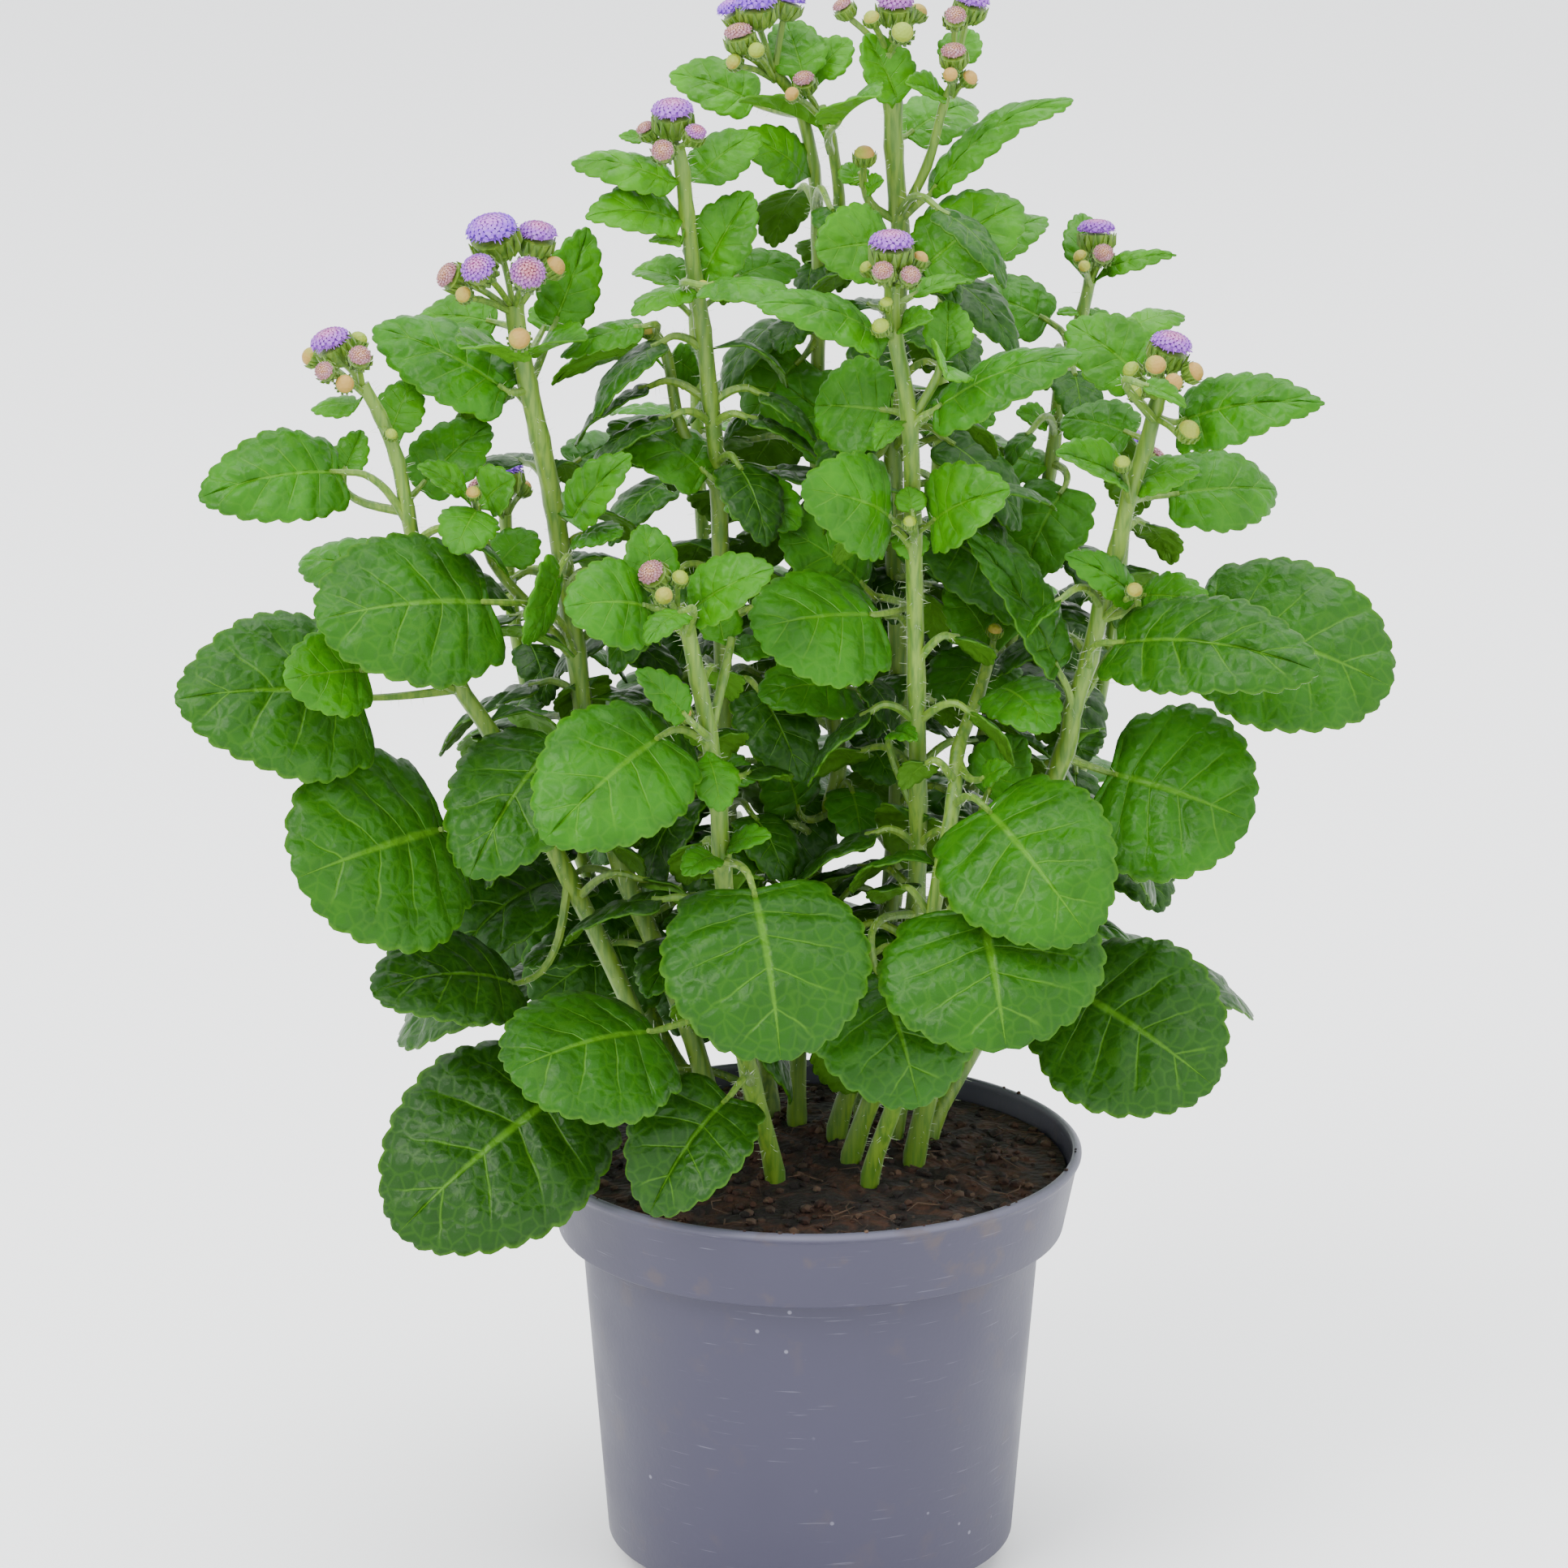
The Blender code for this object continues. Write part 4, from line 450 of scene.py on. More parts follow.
            Head((0, 9), (1074, 22, -6), 2.0, (-0.3, -0.5, 0.8)),
            Head((0, 9), (1040, 10, 0), 2.4, (-0.5, -0.2, 0.8), Tint.BLUSH),
            Head((0, 9), (1132, 14, 6), 2.2, (0.5, 0.2, 0.8)),
            Head((1, 2), (1197, 6, 2), 3.6, (0.3, -0.2, 1), Tint.LILAC),
            Head((1, 2), (1177, 22, -4), 2.6, (0, -0.7, 0.7), Tint.BLUSH),
            Head((1, 2), (1175, 68, -6), 3.0, (-0.1, -0.35, 0.9), Tint.BLUSH),
            Head((1, 2), (1171, 92, -10), 1.8, (-0.2, -0.8, 0.5)),
            Head((1, 2), (1195, 96, -6), 2.0, (0.5, -0.5, 0.6)),
            Head((2, 1), (1065, 190, -2), 2.5, (0, -0.3, 1)),
        ],
    ),
    Shoot(
        "shoot_top_left",
        (-3, 21),
        [
            Stem([(985, 1250, 20), (1002, 1065, 14), (1026, 985, 10), (1034, 930, 9), (1024, 868, 9),
                  (1013, 720, 11), (1007, 560, 14), (1008, 400, 16), (1008, 290, 16), (1002, 205, 14),
                  (984, 130, 12), (954, 88, 10)], (2.5, 1.5)),
            Stem([(1034, 262, 12), (1024, 170, 8), (1012, 132, 6)], (1.8, 1.2), (0, 8)),
        ],
        [
            Leaf((0, 5), (1082, 757, -30), (928, 776, -44), 31, 32, -0.35, 0.08, 0.35),
            Leaf((0, 5), (1066, 724, -12), (962, 650, -18), 21, 30, -0.15, 0.12, 0.35),
            Leaf((0, 4), (1052, 850, -4), (936, 860, -14), 22, 50, -0.1, 0.12, 0.4),
            Leaf((0, 7), (990, 440, 14), (920, 520, 8), 20, 20, -0.1, 0.1, 0.45),
            Leaf((0, 9), (990, 212, 10), (912, 164, 6), 13, 30, -0.1, 0.12, 0.5),
            Leaf((1, 1), (1012, 156, 2), (908, 124, -8), 14, 98, 0.35, 0.06, 0.4),
            Leaf((1, 1), (1032, 152, 2), (1082, 118, -8), 14, 96, 0.35, 0.06, 0.4),
            Leaf((0, 10), (990, 94, 6), (968, 24, 10), 13, 12, 0.1, 0.05, 0.35),
            Leaf((0, 10), (1004, 92, 8), (1048, 48, 12), 10, 24, 0.1, 0.06, 0.4),
            Leaf((0, 10), (930, 128, 18), (825, 91, 30), 15, 34, 0.05, 0.12, 0.5),
            Leaf((0, 2), (1048, 970, 4), (1062, 1050, -8), 14, 20, -0.1, 0.1, 0.5),
            Leaf((0, 2), (984, 1000, 2), (945, 900, -6), 16, 22, -0.1, 0.1, 0.5),
        ],
        [
            Head((0, 11), (933, 8, 6), 4.3, (-0.1, -0.3, 0.95), Tint.VIOLET),
            Head((0, 11), (906, 14, 12), 3.4, (-0.6, -0.1, 0.8), Tint.VIOLET),
            Head((0, 11), (972, 4, 10), 3.2, (0.3, 0, 0.9), Tint.VIOLET),
            Head((0, 11), (911, 45, 2), 3.4, (-0.25, -0.2, 0.95), Tint.BLUSH),
            Head((0, 11), (904, 76, 0), 2.0, (-0.5, -0.7, 0.5)),
            Head((0, 11), (932, 62, -2), 2.0, (-0.1, -0.8, 0.5)),
            Head((1, 2), (991, 101, 0), 2.6, (-0.2, -0.45, 0.85), Tint.BLUSH),
            Head((1, 2), (976, 116, -4), 1.8, (-0.4, -0.7, 0.5)),
        ],
    ),
    Shoot(
        "shoot_right",
        (23, -5),
        [
            Stem([(1175, 1240, -8), (1255, 1060, -14), (1312, 925, -20), (1322, 872, -22), (1342, 812, -24),
                  (1357, 748, -26), (1376, 678, -28), (1392, 608, -30), (1411, 552, -31), (1424, 502, -32),
                  (1430, 482, -32)], (2.8, 1.8)),
        ],
        [
            Leaf((0, 0), (1318, 1218, -24), (1496, 1338, -42), 43, 14, -0.12, 0.12, 0.3),
            Leaf((0, 2), (1366, 952, -14), (1540, 1012, -26), 42, 16, -0.12, 0.10, 0.2),
            Leaf((0, 3), (1482, 762, -8), (1714, 846, -18), 41, 22, -0.12, 0.10, 0.25),
            Leaf((0, 4), (1376, 792, -38), (1626, 828, -62), 26, 32, -0.12, 0.12, 0.35),
            Leaf((0, 3), (1304, 826, -26), (1190, 656, -30), 15, 44, 0.2, 0.08, 0.45),
            Leaf((0, 5), (1398, 737, -34), (1312, 684, -42), 10, 32, -0.1, 0.12, 0.4),
            Leaf((0, 5), (1404, 735, -34), (1492, 744, -44), 12, 26, -0.1, 0.12, 0.4),
            Leaf((0, 7), (1386, 594, -36), (1301, 558, -44), 12, 50, 0.35, 0.08, 0.45),
            Leaf((0, 7), (1398, 596, -36), (1479, 578, -46), 12, 46, -0.1, 0.12, 0.4),
            Leaf((0, 7), (1440, 610, -18), (1573, 604, -6), 20, 24, -0.1, 0.10, 0.35),
            Leaf((0, 9), (1452, 520, -34), (1633, 497, -46), 19, 32, -0.15, 0.12, 0.75),
            Leaf((0, 9), (1408, 466, -22), (1316, 398, -14), 18, 22, 0.05, 0.10, 0.5),
            Leaf((0, 9), (1392, 404, -6), (1459, 388, 2), 9, 52, -0.2, 0.10, 0.4),
            Leaf((0, 9), (1408, 474, -44), (1462, 502, -52), 6, 45, 0.2, 0.10, 0.6),
            Leaf((0, 8), (1396, 536, -20), (1308, 516, -10), 15, 36, -0.1, 0.10, 0.4),
            Leaf((0, 1), (1216, 980, -22), (1262, 908, -24), 16, 20, 0.05, 0.06, 0.45),
        ],
        [
            Head((0, 10), (1441, 430, -34), 4.3, (0.35, -0.25, 0.95), Tint.LILAC),
            Head((0, 10), (1424, 450, -42), 2.5, (0, -0.75, 0.7)),
            Head((0, 10), (1446, 471, -44), 2.2, (0.2, -0.85, 0.5)),
            Head((0, 10), (1472, 458, -37), 2.4, (0.8, -0.4, 0.5)),
            Head((0, 10), (1398, 484, -38), 2.0, (-0.5, -0.7, 0.4)),
            Head((0, 10), (1394, 456, -34), 2.2, (-0.6, -0.4, 0.7)),
            Head((0, 9), (1465, 530, -42), 2.6, (0.4, -0.6, 0.8)),
            Head((0, 7), (1383, 570, -42), 1.9, (-0.1, -0.5, 1)),
            Head((0, 5), (1398, 727, -40), 1.9, (0.1, -0.7, 0.7)),
        ],
    ),
    Shoot(
        "shoot_right_back",
        (19, 14),
        [
            Stem([(1140, 1240, 18), (1190, 1000, 22), (1235, 820, 24), (1272, 690, 25), (1297, 560, 25),
                  (1306, 480, 25), (1333, 388, 24), (1343, 345, 24)], (2.4, 1.5)),
        ],
        [
            Leaf((0, 2), (1222, 806, 12), (1165, 880, 0), 22, 30, -0.1, 0.1, 0.4),
            Leaf((0, 2), (1262, 820, 26), (1312, 760, 34), 22, 30, -0.1, 0.1, 0.4),
            Leaf((0, 3), (1262, 700, 14), (1170, 770, 2), 21, 30, -0.1, 0.12, 0.4),
            Leaf((0, 4), (1312, 600, 16), (1258, 716, 6), 21, 22, -0.1, 0.10, 0.4),
            Leaf((0, 4), (1286, 574, 24), (1178, 566, 30), 14, 50, -0.2, 0.10, 0.5),
            Leaf((0, 5), (1292, 396, 30), (1186, 362, 38), 17, 34, -0.1, 0.12, 0.35),
            Leaf((0, 5), (1290, 520, 20), (1252, 508, 16), 7, 40, 0.1, 0.1, 0.5),
            Leaf((0, 7), (1332, 330, 26), (1334, 262, 30), 9.5, 12, 0.15, 0.05, 0.5),
            Leaf((0, 7), (1360, 332, 20), (1450, 314, 16), 7, 48, -0.1, 0.08, 0.8),
            Leaf((0, 6), (1328, 384, 22), (1302, 386, 20), 4, 60, 0.1, 0.05, 0.5),
            Leaf((0, 6), (1342, 396, 26), (1380, 402, 30), 8, 50, 0.1, 0.08, 0.5),
        ],
        [
            Head((0, 7), (1351, 289, 24), 4.0, (0, 0.12, 1), Tint.LILAC),
            Head((0, 7), (1359, 314, 16), 2.5, (0.1, -0.75, 0.6), Tint.BLUSH),
            Head((0, 7), (1331, 316, 18), 1.8, (-0.5, -0.4, 0.8)),
            Head((0, 7), (1336, 328, 14), 1.5, (-0.1, -0.8, 0.5)),
        ],
    ),
    Shoot(
        "shoot_front",
        (-8, -17),
        [
            Stem([(925, 1330, -24), (905, 1230, -32), (889, 1052, -42), (885, 990, -44), (873, 902, -47),
                  (860, 838, -49), (846, 772, -50), (834, 748, -50)], (2.6, 1.9)),
            Stem([(892, 832, -42), (902, 786, -38)], (1.3, 1.0), (0, 4)),
        ],
        [
            Leaf((0, 0), (898, 1352, -44), (800, 1496, -60), 27, 16, 0.25, 0.18, 0.25),
            Leaf((0, 1), (808, 1270, -48), (628, 1322, -68), 38, 34, -0.35, 0.10, 0.25),
            Leaf((0, 2), (928, 1095, -54), (962, 1306, -76), 45, 8, -0.14, 0.14, 0.2),
            Leaf((0, 2), (880, 1054, -48), (842, 1078, -58), 8, 30, 0.1, 0.12, 0.4),
            Leaf((0, 2), (898, 1042, -44), (950, 1030, -50), 7, 42, 0.1, 0.10, 0.4),
            Leaf((0, 4), (816, 906, -54), (670, 1036, -76), 33, 12, -0.14, 0.14, 0.4),
            Leaf((0, 4), (874, 936, -52), (888, 1000, -60), 11, 15, -0.1, 0.14, 0.4),
            Leaf((0, 4), (846, 884, -54), (784, 826, -58), 9, 25, 0.15, 0.10, 0.45),
            Leaf((0, 6), (800, 748, -56), (696, 748, -66), 21, 22, -0.12, 0.16, 0.35),
            Leaf((0, 6), (806, 728, -48), (792, 646, -44), 12, 14, 0.1, 0.10, 0.35),
            Leaf((0, 6), (852, 752, -50), (953, 700, -54), 16, 36, 0.1, 0.10, 0.45),
            Leaf((0, 6), (842, 754, -58), (797, 792, -70), 8, 40, -0.1, 0.12, 0.4),
            Leaf((1, 1), (892, 790, -38), (878, 738, -34), 10, 20, 0.1, 0.06, 0.5),
            Leaf((1, 1), (906, 802, -36), (958, 796, -32), 8, 45, -0.1, 0.10, 0.5),
        ],
        [
            Head((0, 7), (805, 708, -56), 3.2, (-0.5, -0.65, 0.6), Tint.BLUSH),
            Head((0, 7), (838, 712, -56), 2.0, (0.3, -0.6, 0.8)),
            Head((0, 7), (818, 734, -62), 2.1, (-0.1, -0.9, 0.4)),
            Head((0, 4), (842, 880, -56), 2.0, (-0.3, -0.7, 0.7)),
        ],
    ),
    Shoot(
        "shoot_right_low",
        (13, -19),
        [
            Stem([(1108, 1340, -25), (1136, 1190, -32), (1160, 1070, -34), (1175, 985, -30), (1180, 925, -24),
                  (1204, 860, -16), (1222, 800, -10)], (2.4, 1.5)),
        ],
        [
            Leaf((0, 1), (1208, 1118, -50), (1240, 1292, -70), 49, 6, -0.14, 0.12, 0.2),
            Leaf((0, 3), (1214, 995, -42), (1342, 1156, -66), 39, 8, -0.14, 0.14, 0.35),
            Leaf((0, 4), (1210, 960, -34), (1246, 944, -40), 6, 30, 0.1, 0.1, 0.5),
            Leaf((0, 5), (1232, 846, -16), (1296, 900, -26), 17, 28, -0.1, 0.12, 0.4),
            Leaf((0, 6), (1214, 780, -16), (1168, 722, -20), 14, 28, -0.1, 0.1, 0.45),
            Leaf((0, 6), (1238, 776, -8), (1262, 720, -2), 14, 24, -0.1, 0.1, 0.45),
        ],
        [
            Head((0, 6), (1226, 776, -16), 1.8, (0.1, -0.4, 1)),
        ],
    ),
]

# Shoots of the far side, which the photograph hides: foot, top, height, and the turn of the first leaf pair
BACK_SHOOTS = [
    ("shoot_back_left", (-22, 16), (-68, 46), 228, 20),
    ("shoot_back_mid_left", (-9, 30), (-26, 74), 268, 75),
    ("shoot_back_mid_right", (12, 29), (30, 72), 276, 40),
    ("shoot_back_right", (27, 12), (70, 42), 236, 10),
]
BACK_THICK = (2.5, 1.6)
ROUTE_STEPS = 6

# The heads of a far-side shoot, as (out, sideways, up): where each stands in mm and the way that it faces,
# then its radius in mm and its tint
BACK_HEADS = [
    ((0, 0, 9), (0.25, 0, 1), 4.2, Tint.VIOLET),
    ((7, 0, 5), (1, 0, 0.7), 2.9, Tint.BLUSH),
    ((0, 7, 5), (0, 1, 1), 2.2, None),
    ((0, -7, 5), (0, -1, 1), 2.2, None),
]

# Leaf pairs placed by rule
PAIR_TURN = math.radians(82)
GOLDEN_TURN = 137.5
BACK_PAIRS = Pairs(128, 38, 1.0, (44, 20), (0.34, 0.22), (0.42, 0.10))

# The ways to bend a leaf clear of others: its size, its turn, its slide and its tip's slide
OUTER_BENDS = ((1.0, 0.88, 0.74), (0, 12, -12, 24, -24), (0, -3, 3, -6, 6, -9, 9, -13, 13, -17, 17),
               (0, -7, 7))
INNER_BENDS = ((1.0, 0.8, 0.62), (0, 24, -24), (0, -6, 6, -13, 13), (0,))

# The dark leaves inside the plant: how far they reach, and their pairs
INNER_REACH = 84 * MM
INNER_FLOOR = 124 * MM
INNER_FRONT = -30 * MM
BACK_FLOOR = 103 * MM
INNER_PAIRS = (
    Pairs(110, 30, 0.80, (38, 28), (0.30, 0.26), (1.00, 0.70), True),
    Pairs(128, 30, 0.80, (34, 26), (0.55, 0.45), (0.80, 0.30), True),
    Pairs(121, 26, 0.90, (34, 22), (0.40, 0.35), (1.60, 1.00), True),
    Pairs(135, 26, 0.90, (30, 20), (0.65, 0.50), (0.40, 0.90), True),
    Pairs(105, 12, 0.25, (36, 32), (0.45, 0.30), (0.10, 0.15), True),
)
INNER_TURN = 0.4


def seen(u: float, v: float, depth: float) -> Vector:
    """Give the point that appears at a pixel of the photograph.

    Args:
        u: The pixel's column.
        v: The pixel's row.
        depth: The point's y in millimetres.

    Returns:
        The point in metres.
    """
    across = (u - PHOTO_MIDDLE) / PHOTO_FOCAL
    down = (v - PHOTO_MIDDLE) / PHOTO_FOCAL
    ray = VIEW_FORWARD + Vector((across, 0, 0)) - VIEW_UP * down
    return EYE + ray * ((depth * MM - EYE.y) / ray.y)


@dataclass
class Blade:
    """A placed leaf: its frame, size and form, and where its stalk leaves the stem."""

    root: Vector
    base: Vector
    along: Vector
    side: Vector
    normal: Vector
    length: float
    width: float
    fold: float
    arch: float
    point: float
    inner: bool = False

    def lobe(self) -> float:
        """Give how far the blade's heart-shaped base reaches back, as a share of its length."""
        return LOBE_REACH * min(1, max(0, (self.width - LOBE_START) / LOBE_RANGE))

    def lift(self, x: float, y: float) -> float:
        """Give the blade's height over its own plane at x along it and y across it."""
        s = x / self.length
        return self.length * self.arch * 4 * s * (1 - s) + self.fold * abs(y)

    def edge(self, p: float) -> Vector:
        """Give the margin without teeth, from the stalk at p = 0 to the tip at p = 1."""
        lobe = self.lobe() * math.sin(math.pi * min(p / LOBE_SPAN, 1))
        x = self.length * ((1 - math.cos(math.pi * p)) / 2 - lobe)
        taper = (1 - p) ** self.point * (1 + POINT_SWELL * self.point)
        return Vector((x, self.width / 2 * math.sin(math.pi * p) ** ROUNDNESS * taper))

    def tip(self) -> Vector:
        """Give the blade's tip."""
        return self.base + self.along * self.length

    def sessile(self) -> bool:
        """Tell whether the blade narrows straight into the stem, with no stalk of its own."""
        return self.width < SMALL_LEAF and (self.base - self.root).length < SESSILE

    def world(self, x: float, y: float, z: float = 0) -> Vector:
        """Give the point in metres at x along the blade, y across it and z over its surface."""
        return self.base + self.along * x + self.side * y + self.normal * (z + self.lift(x, y))

    def stalk(self) -> list[Vector]:
        """Give the leaf stalk's route, from its stem to just inside the blade."""
        reach = (self.base - self.root).length
        bend = self.base - self.along * reach * STALK_BEND
        end = self.world(min(STALK_SEAT, self.length * STALK_SEAT_SHARE), 0)
        points = []
        for k in range(4):
            t = k / 3
            points.append(self.root * (1 - t) ** 2 + bend * 2 * t * (1 - t) + self.base * t ** 2)
        return points + [end]

    def sheet(self, steps: int) -> tuple[list[Vector], list[list[int]]]:
        """Give the blade as one flat sheet of triangles, not yet lifted, for testing what comes near it."""
        half = [self.edge(k / steps) for k in range(steps + 1)]
        loop = half + [Vector((q.x, -q.y)) for q in half[-2:0:-1]]
        rib = [Vector((self.length * s, 0)) for s in (LONG_RIB if self.length > SMALL_LEAF else SHORT_RIB)]
        chain = [0] + list(range(len(loop), len(loop) + len(rib))) + [len(half) - 1]
        found = geometry.delaunay_2d_cdt(loop + rib, list(zip(chain, chain[1:])), [list(range(len(loop)))],
                                         1, 1e-6)
        return found[0], found[2]

    def moved(self, slide: float, turn: float, size: float, tip_slide: float) -> "Blade":
        """Give the leaf slid along the line of sight, turned about its midrib, its tip slid, or smaller."""
        ray = (self.base - EYE).normalized()
        base = self.base + ray * slide
        tip = self.base + self.along * self.length + ray * (slide + tip_slide)
        along = tip - base
        length = along.length * size
        along.normalize()
        normal = self.normal - along * self.normal.dot(along)
        normal = Matrix.Rotation(turn, 3, along) @ normal.normalized()
        return Blade(self.root, base, along, normal.cross(along), normal, length, self.width * size,
                     self.fold, self.arch, self.point, self.inner)


@dataclass
class PlacedHead:
    """A head in the plant's frame: where its stalk leaves, its middle, radius, facing and tint."""

    top: Vector
    middle: Vector
    radius: float
    face: Vector
    tint: Optional[Tint]


@dataclass
class Probe:
    """A piece thickened by the room that it keeps, for testing what comes near it."""

    tree: BVHTree
    low: Vector
    high: Vector
    owner: Optional[str] = None

    @classmethod
    def of(cls, spots: list[Vector], faces: list[tuple], owner: Optional[str] = None) -> "Probe":
        """Make a probe from its corners and faces."""
        low = Vector(min(q[k] for q in spots) for k in range(3))
        high = Vector(max(q[k] for q in spots) for k in range(3))
        return cls(BVHTree.FromPolygons(spots, faces, all_triangles=False, epsilon=0.0), low, high, owner)

    @classmethod
    def of_blade(cls, blade: Blade) -> "Probe":
        """Make the probe of a blade and its stalk."""
        points, faces = blade.sheet(PROBE_STEPS)
        points = [q * PROBE_GROWTH for q in points]
        count = len(points)
        half = BLADE / 2 + CLEARANCE / 2
        spots = [blade.world(q.x, q.y, half) for q in points] + [blade.world(q.x, q.y, -half) for q in points]
        polygons = [tuple(f) for f in faces] + [tuple(count + i for i in reversed(f)) for f in faces]
        route = blade.stalk()
        way = blade.base - blade.root
        reach = STALK_RADIUS + CLEARANCE / 2
        for flat in (way.cross(UP).normalized() * reach, UP * reach):
            start = len(spots)
            for q in route[1:4]:
                spots += [q + flat, q - flat]
            for k in (start, start + 2):
                polygons.append((k, k + 1, k + 3, k + 2))
        return cls.of(spots, polygons)

    @classmethod
    def of_tube(cls, points: list[Vector], radius: float, owner: Optional[str]) -> "Probe":
        """Make the probe of a square tube round a route."""
        spots = []
        for k, here in enumerate(points):
            way = (points[min(k + 1, len(points) - 1)] - points[max(k - 1, 0)]).normalized()
            flat = way.cross(ASKEW).normalized()
            deep = way.cross(flat)
            spots += [here + flat * radius, here + deep * radius, here - flat * radius, here - deep * radius]
        faces = []
        for k in range(len(points) - 1):
            for j in range(4):
                a = 4 * k + j
                b = 4 * k + (j + 1) % 4
                faces.append((a, b, b + 4, a + 4))
        faces += [(0, 1, 2, 3), tuple(len(spots) - 4 + j for j in range(4))]
        return cls.of(spots, faces, owner)

    def meets(self, other: "Probe") -> bool:
        """Tell whether two probes come together."""
        if not all(self.low[k] <= other.high[k] and other.low[k] <= self.high[k] for k in range(3)):
            return False
        return bool(self.tree.overlap(other.tree))


def tries(bends: Bends) -> Iterator[tuple[float, float, float, float]]:
    """Yield the ways to bend a leaf clear of others, from the gentlest on."""
    for size, turn, slide, tip_slide in itertools.product(*bends):
        yield slide * MM, math.radians(turn), size, tip_slide * MM


def at_height(points: list[Vector], height: float) -> Vector:
    """Give the point of a route at a height."""
    for low, high in zip(points, points[1:]):
        if low.z <= height <= high.z:
            return low.lerp(high, (height - low.z) / (high.z - low.z))
    return points[-1].copy()


@dataclass
class Plant:
    """The whole plant laid out: each shoot's stems, leaves and heads, bent clear of one another."""

    stems: dict[str, list[LaidStem]] = field(default_factory=dict)
    blades: dict[str, list[Blade]] = field(default_factory=dict)
    heads: dict[str, list[PlacedHead]] = field(default_factory=dict)
    taken: list[Probe] = field(default_factory=list)

    def lay_out(self) -> None:
        """Place the stems and heads, then settle each leaf in turn."""
        wanted = []
        for shoot in SHOOTS:
            self.lay_stems(shoot)
            self.heads[shoot.name] = [
                PlacedHead(seen(*shoot.stems[h.at[0]].path[h.at[1]]), seen(*h.middle), h.radius * MM,
                           Vector(h.face).normalized(), h.tint) for h in shoot.heads]
            wanted += [(shoot.name, self.photo_blade(leaf, shoot, k)) for k, leaf in enumerate(shoot.leaves)]
        for name, foot, top, height, first_turn in BACK_SHOOTS:
            route = self.back_route(foot, top, height)
            root = route[0] - UP * ROOT_DEPTH
            route[0] = route[0] + UP * COLLAR
            self.stems[name] = [([root] + route, BACK_THICK)]
            outward = Vector((top[0], top[1], 0)).normalized()
            self.heads[name] = self.back_heads(route[-1], outward)
            wanted += [(name, blade) for blade in self.paired_blades(route, first_turn, BACK_PAIRS)]
        for number, name in enumerate(list(self.stems)):
            main_stem = self.stems[name][0][0][1:]
            for layer, pairs in enumerate(INNER_PAIRS):
                inner = self.paired_blades(main_stem, GOLDEN_TURN * (number + INNER_TURN * layer), pairs)
                wanted += [(name, blade) for blade in inner if self.hidden(blade.tip())]
        self.reserve()
        for name, blade in wanted:
            self.settle(blade, name)

    def hidden(self, tip: Vector) -> bool:
        """Tell whether an inner leaf's tip stays behind the front leaves and clear of the pot's open soil."""
        low = INNER_FLOOR if tip.y < 0 else BACK_FLOOR
        return tip.z > low and tip.y > INNER_FRONT and tip.xy.length < INNER_REACH

    def reserve(self) -> None:
        """Keep room for the stems and the heads."""
        for name, stems in self.stems.items():
            for points, thick in stems:
                for k in range(len(points) - 1):
                    room = (thick[0] * MM + CLEARANCE) * PROBE_CORNER
                    self.taken.append(Probe.of_tube([points[k], points[k + 1]], room, name))
            for head in self.heads[name]:
                body = [head.middle - head.face * head.radius,
                        head.middle + head.face * head.radius * HEAD_HEIGHT]
                self.taken.append(Probe.of_tube(body, head.radius * HEAD_ROOM + GAP, None))
                self.taken.append(Probe.of_tube([head.top, head.middle], STALK_TIP + CLEARANCE, name))

    def settle(self, blade: Blade, name: str) -> None:
        """Keep the first try at a leaf that clears everything placed so far, or leave it out."""
        for slide, turn, size, tip_slide in tries(INNER_BENDS if blade.inner else OUTER_BENDS):
            trial = blade.moved(slide, turn, size, tip_slide)
            probe = Probe.of_blade(trial)
            if not any(other.owner != name and probe.meets(other) for other in self.taken):
                self.taken.append(probe)
                self.blades.setdefault(name, []).append(trial)
                return

    def lay_stems(self, shoot: Shoot) -> None:
        """Place a photographed shoot's stems and branches."""
        foot = Vector((shoot.foot[0] * MM, shoot.foot[1] * MM, SOIL_EDGE))
        laid = []
        for stem in shoot.stems:
            points = [seen(*spot) for spot in stem.path]
            if stem.fork:
                parent, node = stem.fork
                points.insert(0, seen(*shoot.stems[parent].path[node]) - UP * FORK_SINK)
            else:
                points = [foot - UP * ROOT_DEPTH, foot + UP * COLLAR] + points
            laid.append((points, stem.thick))
        self.stems[shoot.name] = laid

    def photo_blade(self, leaf: Leaf, shoot: Shoot, number: int) -> Blade:
        """Give a leaf of the photographed side, turned about its midrib from facing the viewer."""
        stem, node = leaf.at
        base = seen(*leaf.base)
        along = seen(*leaf.tip) - base
        length = along.length
        along.normalize()
        face = EYE - base
        face = (face - along * face.dot(along)).normalized()
        rise = along.cross(face)
        if rise.dot(LEAF_SIDE) < 0:
            rise = -rise
        turn = math.radians(leaf.roll)
        normal = face * math.cos(turn) + rise * math.sin(turn)
        root = seen(*shoot.stems[stem].path[node]) - UP * (NODE_SINK + NODE_STEP * (number % NODE_SPREAD))
        return Blade(root, base, along, normal.cross(along), normal, length, leaf.width * MM,
                     leaf.fold, leaf.arch, leaf.point)

    def back_route(self, foot: tuple[float, float], top: tuple[float, float], height: float) -> list[Vector]:
        """Give the route of a far-side stem, which leans out as it rises."""
        start = Vector((foot[0], foot[1], SOIL_EDGE / MM)) * MM
        end = Vector((top[0], top[1], height)) * MM
        points = []
        for k in range(ROUTE_STEPS + 1):
            t = k / ROUTE_STEPS
            spread = math.sin(t * math.pi / 2)
            points.append(Vector((start.x + (end.x - start.x) * spread,
                                  start.y + (end.y - start.y) * spread,
                                  start.z + (end.z - start.z) * t)))
        return points

